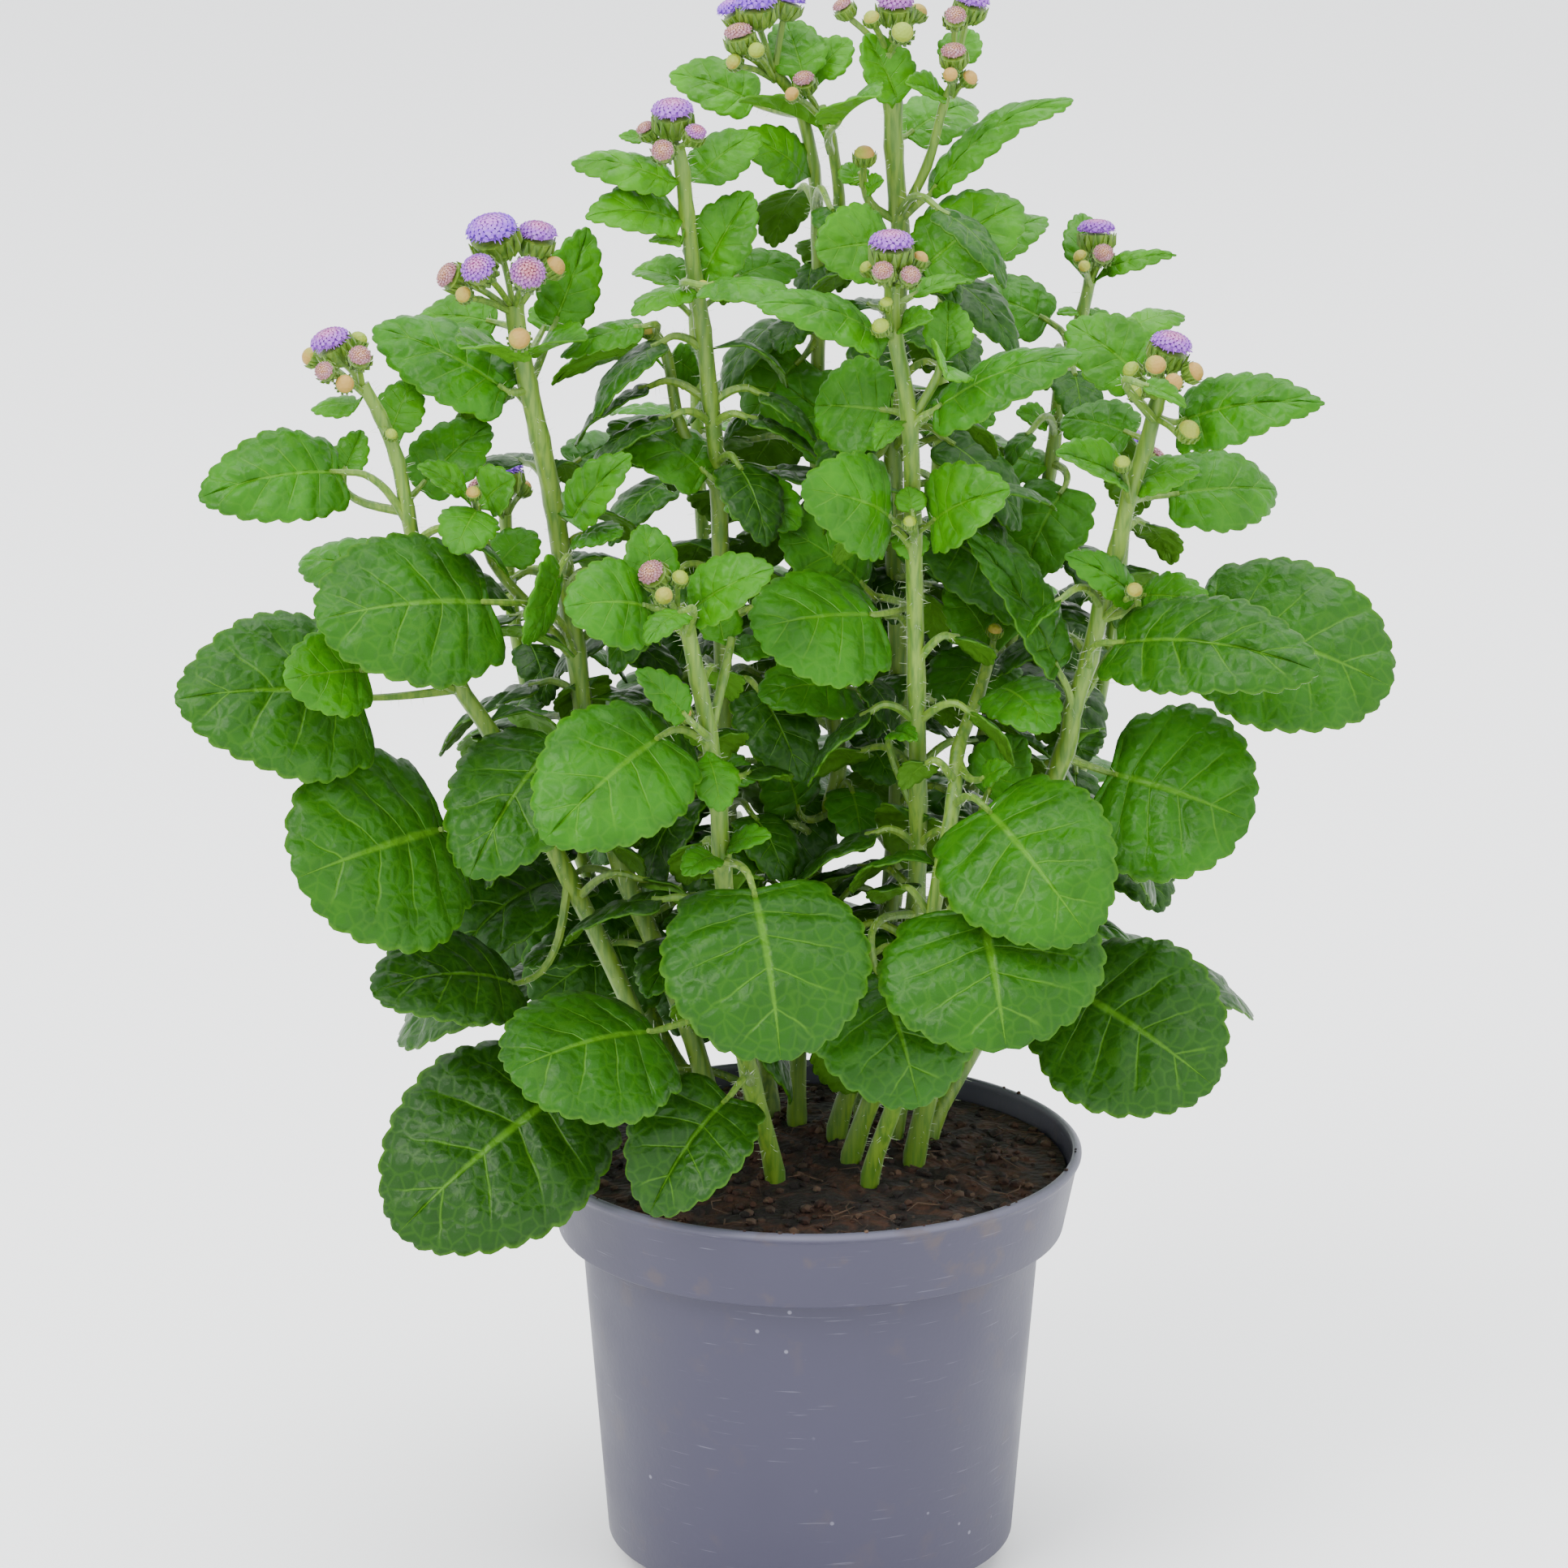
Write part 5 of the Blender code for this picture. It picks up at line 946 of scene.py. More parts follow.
    def paired_blades(self, points: list[Vector], first_turn: float, pairs: Pairs) -> list[Blade]:
        """Give opposite pairs of leaves up a stem, each pair turned across the one below."""
        blades = []
        top = points[0].z + (points[-1].z - points[0].z) * pairs.reach
        steps = int((top - pairs.first * MM) / (pairs.step * MM)) + 1
        outward = Vector((points[-1].x, points[-1].y, 0)).normalized()
        for k in range(steps):
            share = k / max(1, steps - 1)
            root = at_height(points, (pairs.first + pairs.step * k) * MM)
            for j in range(2):
                turn = math.radians(first_turn) + PAIR_TURN * k + math.pi * j
                way = Vector((math.cos(turn), math.sin(turn), 0))
                size = ((1 - share) * pairs.leaf[0] + share * pairs.leaf[1]) * MM
                size *= pairs.lean[0] + pairs.lean[1] * way.dot(outward)
                droop = (1 - share) * pairs.droop[0] + share * pairs.droop[1]
                stalk = size * ((1 - share) * pairs.stalk[0] + share * pairs.stalk[1])
                along = (way - UP * droop).normalized()
                side = along.cross(UP).normalized()
                normal = side.cross(along).normalized()
                base = root + way * (stalk + pairs.seat) + UP * stalk * pairs.rise
                width = size * (pairs.breadth[0] - pairs.breadth[1] * share)
                blades.append(Blade(root, base, along, normal.cross(along), normal, size, width, pairs.fold,
                                    pairs.arch, pairs.point + pairs.point * share, pairs.inner))
        return blades

    def back_heads(self, top: Vector, outward: Vector) -> list[PlacedHead]:
        """Give the small cluster at a far-side shoot's top."""
        frame = Matrix((outward, outward.cross(UP).normalized(), UP)).transposed()
        return [PlacedHead(top, top + frame @ Vector(spot) * MM, radius * MM,
                           (frame @ Vector(face)).normalized(), tint)
                for spot, face, radius, tint in BACK_HEADS]


class Bench:
    """A material's node tree, with short calls for the nodes that the finishes share."""

    def __init__(self, name: str) -> None:
        """Start a material with its Principled shader."""
        self.material = bpy.data.materials.new(name)
        self.material.use_nodes = True
        self.tree = self.material.node_tree
        self.shader = self.tree.nodes["Principled BSDF"]

    def node(self, kind: str, **settings: object) -> bpy.types.Node:
        """Add a node and set its properties."""
        made = self.tree.nodes.new(kind)
        for key, value in settings.items():
            setattr(made, key, value)
        return made

    def feed(self, socket: bpy.types.NodeSocket, value: object) -> None:
        """Link an output to a socket, or set the socket's own value."""
        if isinstance(value, bpy.types.NodeSocket):
            self.tree.links.new(value, socket)
        elif isinstance(value, tuple) and len(value) == 3 and len(socket.default_value) == 4:
            socket.default_value = (*value, 1)
        else:
            socket.default_value = value

    def math(self, operation: str, *values: object) -> bpy.types.NodeSocket:
        """Work out one sum of up to three values."""
        made = self.node("ShaderNodeMath", operation=operation)
        for socket, value in zip(made.inputs, values):
            self.feed(socket, value)
        return made.outputs[0]

    def fade(self, value: object, low: float, high: float, start: float = 0.0,
             end: float = 1.0) -> bpy.types.NodeSocket:
        """Run smoothly from start to end as a value goes from low to high."""
        made = self.node("ShaderNodeMapRange", interpolation_type="SMOOTHSTEP")
        for socket, given in zip(made.inputs, (value, low, high, start, end)):
            self.feed(socket, given)
        return made.outputs[0]

    def mix(self, share: object, first: object, second: object) -> bpy.types.NodeSocket:
        """Mix two colours."""
        made = self.node("ShaderNodeMix", data_type="RGBA")
        self.feed(made.inputs["Factor"], share)
        self.feed(made.inputs[6], first)
        self.feed(made.inputs[7], second)
        return made.outputs[2]

    def place(self) -> bpy.types.NodeSocket:
        """Give the point on the piece, in metres."""
        return self.node("ShaderNodeTexCoord").outputs["Object"]

    def stretched(self, scale: Spot) -> bpy.types.NodeSocket:
        """Give the point on the piece, scaled on each axis."""
        made = self.node("ShaderNodeMapping")
        self.feed(made.inputs["Vector"], self.place())
        made.inputs["Scale"].default_value = scale
        return made.outputs[0]

    def clouds(self, scale: float, detail: float = 3.0, where: object = None) -> bpy.types.NodeSocket:
        """Give soft noise of a scale."""
        made = self.node("ShaderNodeTexNoise")
        self.feed(made.inputs["Vector"], where or self.place())
        made.inputs["Scale"].default_value = scale
        made.inputs["Detail"].default_value = detail
        return made.outputs["Fac"]

    def cells(self, scale: float, feature: str = "F1", where: object = None) -> bpy.types.NodeSocket:
        """Give the distance in a pattern of cells."""
        made = self.node("ShaderNodeTexVoronoi", feature=feature)
        self.feed(made.inputs["Vector"], where or self.place())
        made.inputs["Scale"].default_value = scale
        return made.outputs["Distance"]

    def mark(self, name: str) -> bpy.types.NodeSocket:
        """Read a number that the mesh carries."""
        return self.node("ShaderNodeAttribute", attribute_name=name).outputs["Fac"]

    def relief(self, height: object, strength: float, distance: float) -> bpy.types.NodeSocket:
        """Give the normals of a fine relief."""
        made = self.node("ShaderNodeBump")
        made.inputs["Strength"].default_value = strength
        made.inputs["Distance"].default_value = distance
        self.feed(made.inputs["Height"], height)
        return made.outputs[0]

    def finish(self, **sockets: object) -> bpy.types.Material:
        """Feed the shader's sockets, named with underscores for spaces, and give the material."""
        for key, value in sockets.items():
            self.feed(self.shader.inputs[key.replace("_", " ")], value)
        return self.material


@dataclass(frozen=True)
class LeafFinish:
    """The leaf's green: dark below and bright at the tips, from the leaf's age and from painted shade and
    painted light by its place, with pale veins, a fine net and a soft gloss.
    """

    name: str = "leaf_green"
    # The dark end stands for old leaves and for painted shade inside the plant; the bright end for young
    # leaves and painted light up top.
    old_and_shaded: Colour = (0.007, 0.042, 0.0005)
    grown: Colour = (0.022, 0.134, 0.0005)
    young_and_lit: Colour = (0.048, 0.220, 0.0005)
    vein: Colour = (0.095, 0.260, 0.010)
    haze: float = 0.0
    roughness: float = 0.36
    gloss: float = 0.17
    patches: float = 0.45
    vein_paleness: float = 0.42
    net_paleness: float = 0.08
    rim_paleness: float = 0.30
    rib_width: tuple[float, float] = (0.010, 0.042)
    ray_width: tuple[float, float] = (0.004, 0.048)
    net_width: float = 0.13
    pillow_width: float = 0.42
    relief: float = 0.60
    relief_depth: float = 0.40 * MM

    def material(self) -> bpy.types.Material:
        """Make the leaf material."""
        bench = Bench(self.name)
        split = bench.node("ShaderNodeSeparateXYZ")
        bench.feed(split.inputs[0], bench.node("ShaderNodeUVMap", uv_map="blade").outputs[0])
        wander = bench.math("SUBTRACT", bench.clouds(120.0, 2.0), 0.5)
        across = bench.math("ABSOLUTE", bench.math("MULTIPLY_ADD", split.outputs[1], 2.0, -1.0))
        along = bench.math("MULTIPLY_ADD", wander, bench.math("MULTIPLY", across, 0.10), split.outputs[0])
        rib = bench.fade(across, *self.rib_width, 1.0, 0.0)
        rays = bench.math("PINGPONG", bench.math("MULTIPLY", along, float(VEIN_PAIRS)), 0.5)
        rays = bench.fade(rays, *self.ray_width, 1.0, 0.0)
        rays = bench.math("MULTIPLY", rays, bench.fade(across, 0.25, 0.95, 0.8, 0.0))
        veins = bench.math("MAXIMUM", rib, rays)
        cells = bench.cells(300.0, "DISTANCE_TO_EDGE")
        net = bench.fade(cells, 0.0, self.net_width, 1.0, 0.0)
        # The tone carries painted light from above and painted shade inside the plant, as well as the leaf's
        # age.
        tone = bench.mark("tone")
        lower = bench.mix(bench.fade(tone, 0.0, 0.5), self.old_and_shaded, self.grown)
        green = bench.mix(bench.fade(tone, 0.40, 1.0), lower, self.young_and_lit)
        patchy = bench.fade(bench.clouds(95.0), 0.35, 0.68)
        green = bench.mix(bench.math("MULTIPLY", patchy, self.patches), green, self.old_and_shaded)
        drawn = bench.math("ADD", bench.math("MULTIPLY", veins, self.vein_paleness),
                           bench.math("MULTIPLY", net, self.net_paleness))
        green = bench.mix(drawn, green, self.vein)
        green = bench.mix(bench.fade(across, 0.94, 1.0, 0.0, self.rim_paleness), green, self.vein)
        green = bench.mix(self.haze, green, self.vein)
        pillow = bench.fade(cells, 0.0, self.pillow_width)
        grain = bench.math("MULTIPLY", bench.clouds(900.0, 2.0), 0.5)
        height = bench.math("MULTIPLY_ADD", pillow, 0.9, grain)
        height = bench.math("SUBTRACT", height, bench.math("MULTIPLY", veins, 0.8))
        rough = bench.math("MULTIPLY_ADD", bench.clouds(240.0), 0.18, self.roughness - 0.06)
        return bench.finish(Base_Color=green, Roughness=rough, Specular_IOR_Level=self.gloss,
                            Normal=bench.relief(height, self.relief, self.relief_depth))


@dataclass(frozen=True)
class StemFinish:
    """The pale yellow-green of the stems, stalks and bracts, streaked lengthwise."""

    name: str = "stem_green"
    pale: Colour = (0.140, 0.245, 0.016)
    deep: Colour = (0.050, 0.135, 0.005)
    roughness: float = 0.5
    streaks: Spot = (1100.0, 1100.0, 90.0)
    blotches: float = 0.4
    relief: float = 0.5
    relief_depth: float = 0.15 * MM
    sheen: float = 0.12

    def material(self) -> bpy.types.Material:
        """Make the stem material."""
        bench = Bench(self.name)
        streaks = bench.clouds(1.0, 3.0, bench.stretched(self.streaks))
        blotches = bench.fade(bench.clouds(60.0), 0.35, 0.65)
        green = bench.mix(bench.fade(streaks, 0.35, 0.70), self.pale, self.deep)
        green = bench.mix(bench.math("MULTIPLY", blotches, self.blotches), green, self.deep)
        return bench.finish(Base_Color=green, Roughness=self.roughness,
                            Normal=bench.relief(streaks, self.relief, self.relief_depth),
                            Sheen_Weight=self.sheen, Sheen_Roughness=0.4)


@dataclass(frozen=True)
class HairFinish:
    """The fine white hairs of the stems and cups."""

    colour: Colour = (0.66, 0.74, 0.56)
    dim: Colour = (0.42, 0.52, 0.30)
    roughness: float = 0.6

    def material(self) -> bpy.types.Material:
        """Make the hair material."""
        bench = Bench("white_hairs")
        shade = bench.mix(bench.clouds(500.0), self.colour, self.dim)
        return bench.finish(Base_Color=shade, Roughness=self.roughness)


@dataclass(frozen=True)
class FloretFinish:
    """A head's florets: a warm middle that runs to the colour of its fringe."""

    tint: Tint
    middle: Colour
    rim: Colour
    speck: Colour = (0.60, 0.42, 0.62)
    roughness: float = 0.75
    sheen: float = 0.1

    def material(self) -> bpy.types.Material:
        """Make the floret material."""
        bench = Bench(f"florets_{self.tint.value}")
        out = bench.mark("tone")
        colour = bench.mix(bench.fade(out, 0.25, 0.95), self.middle, self.rim)
        specks = bench.fade(bench.clouds(1400.0, 2.0), 0.40, 0.66)
        colour = bench.mix(bench.math("MULTIPLY", specks, 0.25), colour, self.speck)
        return bench.finish(Base_Color=colour, Roughness=self.roughness, Sheen_Weight=self.sheen,
                            Sheen_Roughness=0.4, Normal=bench.relief(specks, 0.4, 0.10 * MM))


FLORET_FINISHES = {
    Tint.VIOLET: FloretFinish(Tint.VIOLET, (0.36, 0.09, 0.50), (0.18, 0.025, 0.56)),
    Tint.LILAC: FloretFinish(Tint.LILAC, (0.38, 0.10, 0.30), (0.24, 0.045, 0.48)),
    Tint.PINK: FloretFinish(Tint.PINK, (0.38, 0.11, 0.14), (0.27, 0.07, 0.34)),
    Tint.BLUSH: FloretFinish(Tint.BLUSH, (0.38, 0.19, 0.09), (0.29, 0.12, 0.13)),
}
OPENNESS = {Tint.VIOLET: 1.0, Tint.LILAC: 0.85, Tint.PINK: 0.6, Tint.BLUSH: 0.25}


@dataclass(frozen=True)
class BudFinish:
    """The tight yellow-green dome of an unopened head."""

    fresh: Colour = (0.20, 0.29, 0.008)
    ripe: Colour = (0.34, 0.20, 0.03)
    roughness: float = 0.6

    def material(self) -> bpy.types.Material:
        """Make the bud material."""
        bench = Bench("bud_green")
        colour = bench.mix(bench.fade(bench.clouds(55.0), 0.42, 0.62), self.fresh, self.ripe)
        grain = bench.cells(1500.0)
        return bench.finish(Base_Color=colour, Roughness=self.roughness,
                            Normal=bench.relief(grain, 0.6, 0.25 * MM))


@dataclass(frozen=True)
class PotFinish:
    """Moulded blue-grey plastic with a painted highlight along the top of its lip, faint scratches, dust and
    specks.
    """

    grey: Colour = (0.030, 0.028, 0.053)
    mottle: Colour = (0.045, 0.042, 0.072)
    # The pale colour of the scratches and specks, and of the painted highlight on the lip.
    worn_and_lip_highlight: Colour = (0.140, 0.138, 0.185)
    dust: Colour = (0.070, 0.050, 0.042)
    mottling: float = 0.30
    scratches: Spot = (70.0, 70.0, 1900.0)
    scratching: float = 0.5
    # How strongly the painted highlight pales the top of the lip.
    lip_highlight: float = 0.6
    dusting: tuple[float, float] = (0.15, 0.5)
    roughness: float = 0.42
    gloss: float = 0.4

    def material(self) -> bpy.types.Material:
        """Make the pot material."""
        bench = Bench("pot_plastic")
        split = bench.node("ShaderNodeSeparateXYZ")
        bench.feed(split.inputs[0], bench.place())
        mottled = bench.fade(bench.clouds(34.0, 5.0), 0.30, 0.72)
        grey = bench.mix(bench.math("MULTIPLY", mottled, self.mottling), self.grey, self.mottle)
        scratches = bench.fade(bench.clouds(1.0, 4.0, bench.stretched(self.scratches)), 0.66, 0.74)
        grey = bench.mix(bench.math("MULTIPLY", scratches, self.scratching), grey, self.worn_and_lip_highlight)
        specks = bench.fade(bench.cells(170.0), 0.05, 0.10, 1.0, 0.0)
        rare = bench.fade(bench.clouds(28.0), 0.54, 0.60)
        grey = bench.mix(bench.math("MULTIPLY", specks, rare), grey, self.worn_and_lip_highlight)
        # Painted highlight: the top of the lip is made paler, as if lit from above.
        lip = bench.fade(split.outputs[2], POT_HEIGHT - 1.5 * MM, POT_HEIGHT - 0.4 * MM, 0.0, self.lip_highlight)
        grey = bench.mix(lip, grey, self.worn_and_lip_highlight)
        soiled = bench.math("MULTIPLY", bench.fade(bench.clouds(120.0, 4.0), 0.56, 0.70),
                            bench.fade(split.outputs[2], 60.0 * MM, POT_HEIGHT, *self.dusting))
        grey = bench.mix(soiled, grey, self.dust)
        rough = bench.math("MULTIPLY_ADD", mottled, 0.15, self.roughness)
        return bench.finish(Base_Color=grey, Roughness=rough, Specular_IOR_Level=self.gloss,
                            Normal=bench.relief(bench.clouds(900.0, 3.0), 0.35, 0.12 * MM))


@dataclass(frozen=True)
class SoilFinish:
    """Damp dark peat, with redder and paler grains."""

    peat: Colour = (0.009, 0.005, 0.0035)
    red: Colour = (0.048, 0.018, 0.008)
    pale: Colour = (0.130, 0.080, 0.048)
    paleness: float = 0.8
    roughness: float = 0.92

    def material(self) -> bpy.types.Material:
        """Make the soil material."""
        bench = Bench("peat")
        grains = bench.cells(620.0)
        brown = bench.mix(bench.fade(bench.clouds(210.0, 5.0), 0.40, 0.66), self.peat, self.red)
        brown = bench.mix(bench.math("MULTIPLY", bench.mark("tone"), self.paleness), brown, self.pale)
        return bench.finish(Base_Color=brown, Roughness=self.roughness,
                            Normal=bench.relief(grains, 0.9, 0.8 * MM))


@dataclass(frozen=True)
class FloorFinish:
    """The plain pale floor."""

    colour: Colour = (0.90, 0.90, 0.90)
    roughness: float = 0.9

    def material(self) -> bpy.types.Material:
        """Make the floor material."""
        return Bench("pale_floor").finish(Base_Color=self.colour, Roughness=self.roughness)


class Form:
    """A mesh in the making: one bmesh with the numbers that its finish reads."""

    def __init__(self) -> None:
        """Start an empty form."""
        self.shape: BMesh = bmesh.new()
        self.shape.verts.layers.float.new("tone")

    def tone(self, spots: list, value: float) -> None:
        """Give these corners their tone."""
        layer = self.shape.verts.layers.float["tone"]
        for spot in spots:
            spot[layer] = value

    def take(self, other: "Form") -> None:
        """Add another form's mesh to this one and end it."""
        mesh = bpy.data.meshes.new("taken")
        other.shape.to_mesh(mesh)
        other.shape.free()
        self.shape.from_mesh(mesh)
        bpy.data.meshes.remove(mesh)

    def piece(self, name: str, materials: list[bpy.types.Material], sharp: float = 50.0) -> bpy.types.Object:
        """Turn the form into an object of the scene.

        Args:
            name: The object's name.
            materials: Its materials, by the faces' index.
            sharp: The angle in degrees past which an edge stays crisp.

        Returns:
            The object, at the origin.
        """
        mesh = bpy.data.meshes.new(name)
        self.shape.to_mesh(mesh)
        self.shape.free()
        for material in materials:
            mesh.materials.append(material)
        mesh.shade_smooth()
        mesh.set_sharp_from_angle(angle=math.radians(sharp))
        made = bpy.data.objects.new(name, mesh)
        bpy.context.scene.collection.objects.link(made)
        return made


def thickened(leaves: bpy.types.Object) -> bpy.types.Object:
    """Give leaf sheets their thickness on the side that faces down, in the second material."""
    shell = leaves.modifiers.new("thickness", "SOLIDIFY")
    shell.thickness = FINE_BLADE
    shell.offset = -1
    shell.use_even_offset = False
    shell.material_offset = 1
    graph = bpy.context.evaluated_depsgraph_get()
    solid = bpy.data.meshes.new_from_object(leaves.evaluated_get(graph))
    leaves.modifiers.clear()
    leaves.data = solid
    return leaves


def joined(name: str, pieces: list[bpy.types.Object]) -> bpy.types.Object:
    """Join objects into the first one and give it a name."""
    first = pieces[0]
    with bpy.context.temp_override(active_object=first, object=first, selected_editable_objects=pieces,
                                   selected_objects=pieces):
        bpy.ops.object.join()
    first.name = name
    first.data.name = name
    return first


def smooth_route(points: list[Vector], fineness: int) -> list[Vector]:
    """Give a smooth route through points, each stretch cut into fine steps."""
    route = []
    last = len(points) - 1
    for k in range(last):
        before = points[max(k - 1, 0)]
        start = points[k]
        end = points[k + 1]
        after = points[min(k + 2, last)]
        for j in range(fineness):
            t = j / fineness
            route.append(0.5 * (2 * start + (end - before) * t
                                + (2 * before - 5 * start + 4 * end - after) * t * t
                                + (3 * start - before - 3 * end + after) * t ** 3))
    return route + [points[-1]]


def frames_along(route: list[Vector]) -> list[tuple[Vector, Vector]]:
    """Give two directions across a route at each point, carried along it without a twist."""
    frames = []
    across = None
    for k in range(len(route)):
        way = (route[min(k + 1, len(route) - 1)] - route[max(k - 1, 0)]).normalized()
        if across is None:
            across = way.orthogonal().normalized()
        across = (across - way * across.dot(way)).normalized()
        frames.append((across, way.cross(across)))
    return frames


def add_tube(form: Form, route: list[Vector], radii: Sequence[float], sides: int, tone: float = 0.5) -> None:
    """Add a closed tube along a route.

    Args:
        form: The form to add to.
        route: The tube's middle line.
        radii: Its radius at each point of the route.
        sides: The sides round it.
        tone: The tone of its corners.
    """
    steps = len(route) - 1
    straight = Form()
    tube = straight.shape
    bmesh.ops.create_cone(tube, cap_ends=True, segments=sides, radius1=1, radius2=1, depth=steps)
    uprights = [edge for edge in tube.edges if abs(edge.verts[0].co.z - edge.verts[1].co.z) > 0.5]
    if steps > 1:
        bmesh.ops.subdivide_edges(tube, edges=uprights, cuts=steps - 1)
    frames = frames_along(route)
    for spot in tube.verts:
        k = min(steps, max(0, round(spot.co.z + steps / 2)))
        across, deep = frames[k]
        spot.co = route[k] + (across * spot.co.x + deep * spot.co.y) * radii[k]
    straight.tone(tube.verts, tone)
    form.take(straight)


def stood(where: Vector, way: Vector) -> Matrix:
    """Give the place of a shape that stands at a point with its Z axis along a direction."""
    return Matrix.Translation(where) @ way.to_track_quat("Z", "Y").to_matrix().to_4x4()


def add_hairs(form: Form, spots: list[tuple[Vector, Vector]], length: float) -> None:
    """Add fine hairs, each a slim cone at a point along a direction."""
    for where, way in spots:
        bmesh.ops.create_cone(form.shape, cap_ends=True, segments=3, radius1=HAIR_RADIUS,
                              radius2=HAIR_RADIUS * HAIR_TIP, depth=length,
                              matrix=stood(where + way * length / 2, way))


@dataclass
class FineLeaf:
    """One leaf as it looks: round teeth, puckered relief between its veins, and a wavy margin."""

    blade: Blade
    tone: float
    seed: int

    def teeth(self) -> int:
        """Give the number of teeth on each side."""
        return max(LEAST_TEETH, round(FIRST_TEETH + self.blade.length / MM * TEETH_PER_MM))

    def stations(self) -> list[float]:
        """Give the places along the margin, close enough to draw each tooth."""
        teeth = self.teeth()
        step = (1 - FIRST_TOOTH) / teeth
        marks = [0.0] + [FIRST_TOOTH * part for part in HEEL_PARTS]
        for k in range(teeth):
            marks += [FIRST_TOOTH + step * (k + part) for part in TOOTH_PARTS]
        return marks + [1.0]

    def margin(self, p: float) -> Vector:
        """Give the toothed margin at p."""
        here = self.blade.edge(p)
        if p <= 0 or p >= 1:
            return Vector((here.x, 0))
        step = (1 - FIRST_TOOTH) / self.teeth()
        back = self.blade.edge(max(0, p - EDGE_STEP))
        ahead = self.blade.edge(min(1, p + EDGE_STEP))
        out = Vector((back.y - ahead.y, ahead.x - back.x)).normalized()
        span = (self.blade.edge(min(1, p + step / 2)) - self.blade.edge(max(0, p - step / 2))).length
        phase = max(0.0, (p - FIRST_TOOTH) / step) % 1
        bump = math.sin(math.pi * phase ** TOOTH_SKEW) ** TOOTH_ROUNDNESS - 0.5
        if p < FIRST_TOOTH:
            bump = -0.5
        return here + out * bump * FINE_TOOTH_DEPTH * span

    def relief(self, p: float, u: float, x: float, y: float) -> float:
        """Give the height of the puckers and of the wavy margin over the smooth blade."""
        size = self.blade.length
        ray = abs(math.sin(math.pi * VEIN_PAIRS * p)) ** 0.7
        row = abs(math.sin(math.pi * (PUCKER_ROWS * u + 0.35 * math.sin(self.seed + 9 * p))))
        rough = noise.noise(Vector((x, y, self.seed * 0.01)) * ROUGH_SCALE)
        heel = min(1.0, 6 * p)
        tip = min(1.0, 5 * (1 - p))
        fade = min(1.0, 5 * u) * min(1.0, 3.2 * (1 - u) + 0.15) * heel * tip
        pucker = size * fade * (PUCKERS[0] * ray + PUCKERS[1] * ray * row + PUCKERS[2] * rough)
        groove = -GROOVE_DEPTH * size * math.exp(-(u / GROOVE_WIDTH) ** 2) * heel * min(1.0, 3 * (1 - p))
        swing = math.sin(math.tau * (WAVES * p + 0.13 * self.seed))
        wave = WAVE_DEPTH * size * u * u * swing * tip
        return pucker + groove + wave

    def sheet(self) -> Form:
        """Build the leaf as a sheet with its vein coordinates, to be given its thickness later."""
        form = Form()
        marks = self.stations()
        last = len(marks) - 1
        rows = COARSE_ROWS if self.blade.inner or self.blade.length < COARSE_LEAF else FINE_ROWS
        bmesh.ops.create_grid(form.shape, x_segments=last, y_segments=2 * rows, size=1)
        chart = form.shape.loops.layers.uv.new("blade")
        for face in form.shape.faces:
            for corner in face.loops:
                k = round((corner.vert.co.x + 1) / 2 * last)
                corner[chart].uv = (marks[k], corner.vert.co.y / 2 + 0.5)
        heel = self.blade.root if self.blade.sessile() else None
        for spot in form.shape.verts:
            p = marks[round((spot.co.x + 1) / 2 * last)]
            across = spot.co.y
            u = abs(across) ** 0.85
            rim = self.margin(p)
            rib = Vector((self.blade.length * p ** RIB_LAG, 0))
            flat = rib.lerp(rim, u)
            y = math.copysign(flat.y, across)
            spot.co = self.blade.world(flat.x, y, self.relief(p, u, flat.x, y))
            if heel and p < HEEL_SHARE:
                spot.co = heel.lerp(spot.co, p / HEEL_SHARE)
        bmesh.ops.remove_doubles(form.shape, verts=form.shape.verts, dist=1e-6)
        bmesh.ops.recalc_face_normals(form.shape, faces=form.shape.faces)
        probe = max(form.shape.faces, key=lambda f: f.calc_area())
        if probe.normal.dot(self.blade.normal) < 0:
            bmesh.ops.reverse_faces(form.shape, faces=form.shape.faces)
        form.tone(form.shape.verts, self.tone)
        return form


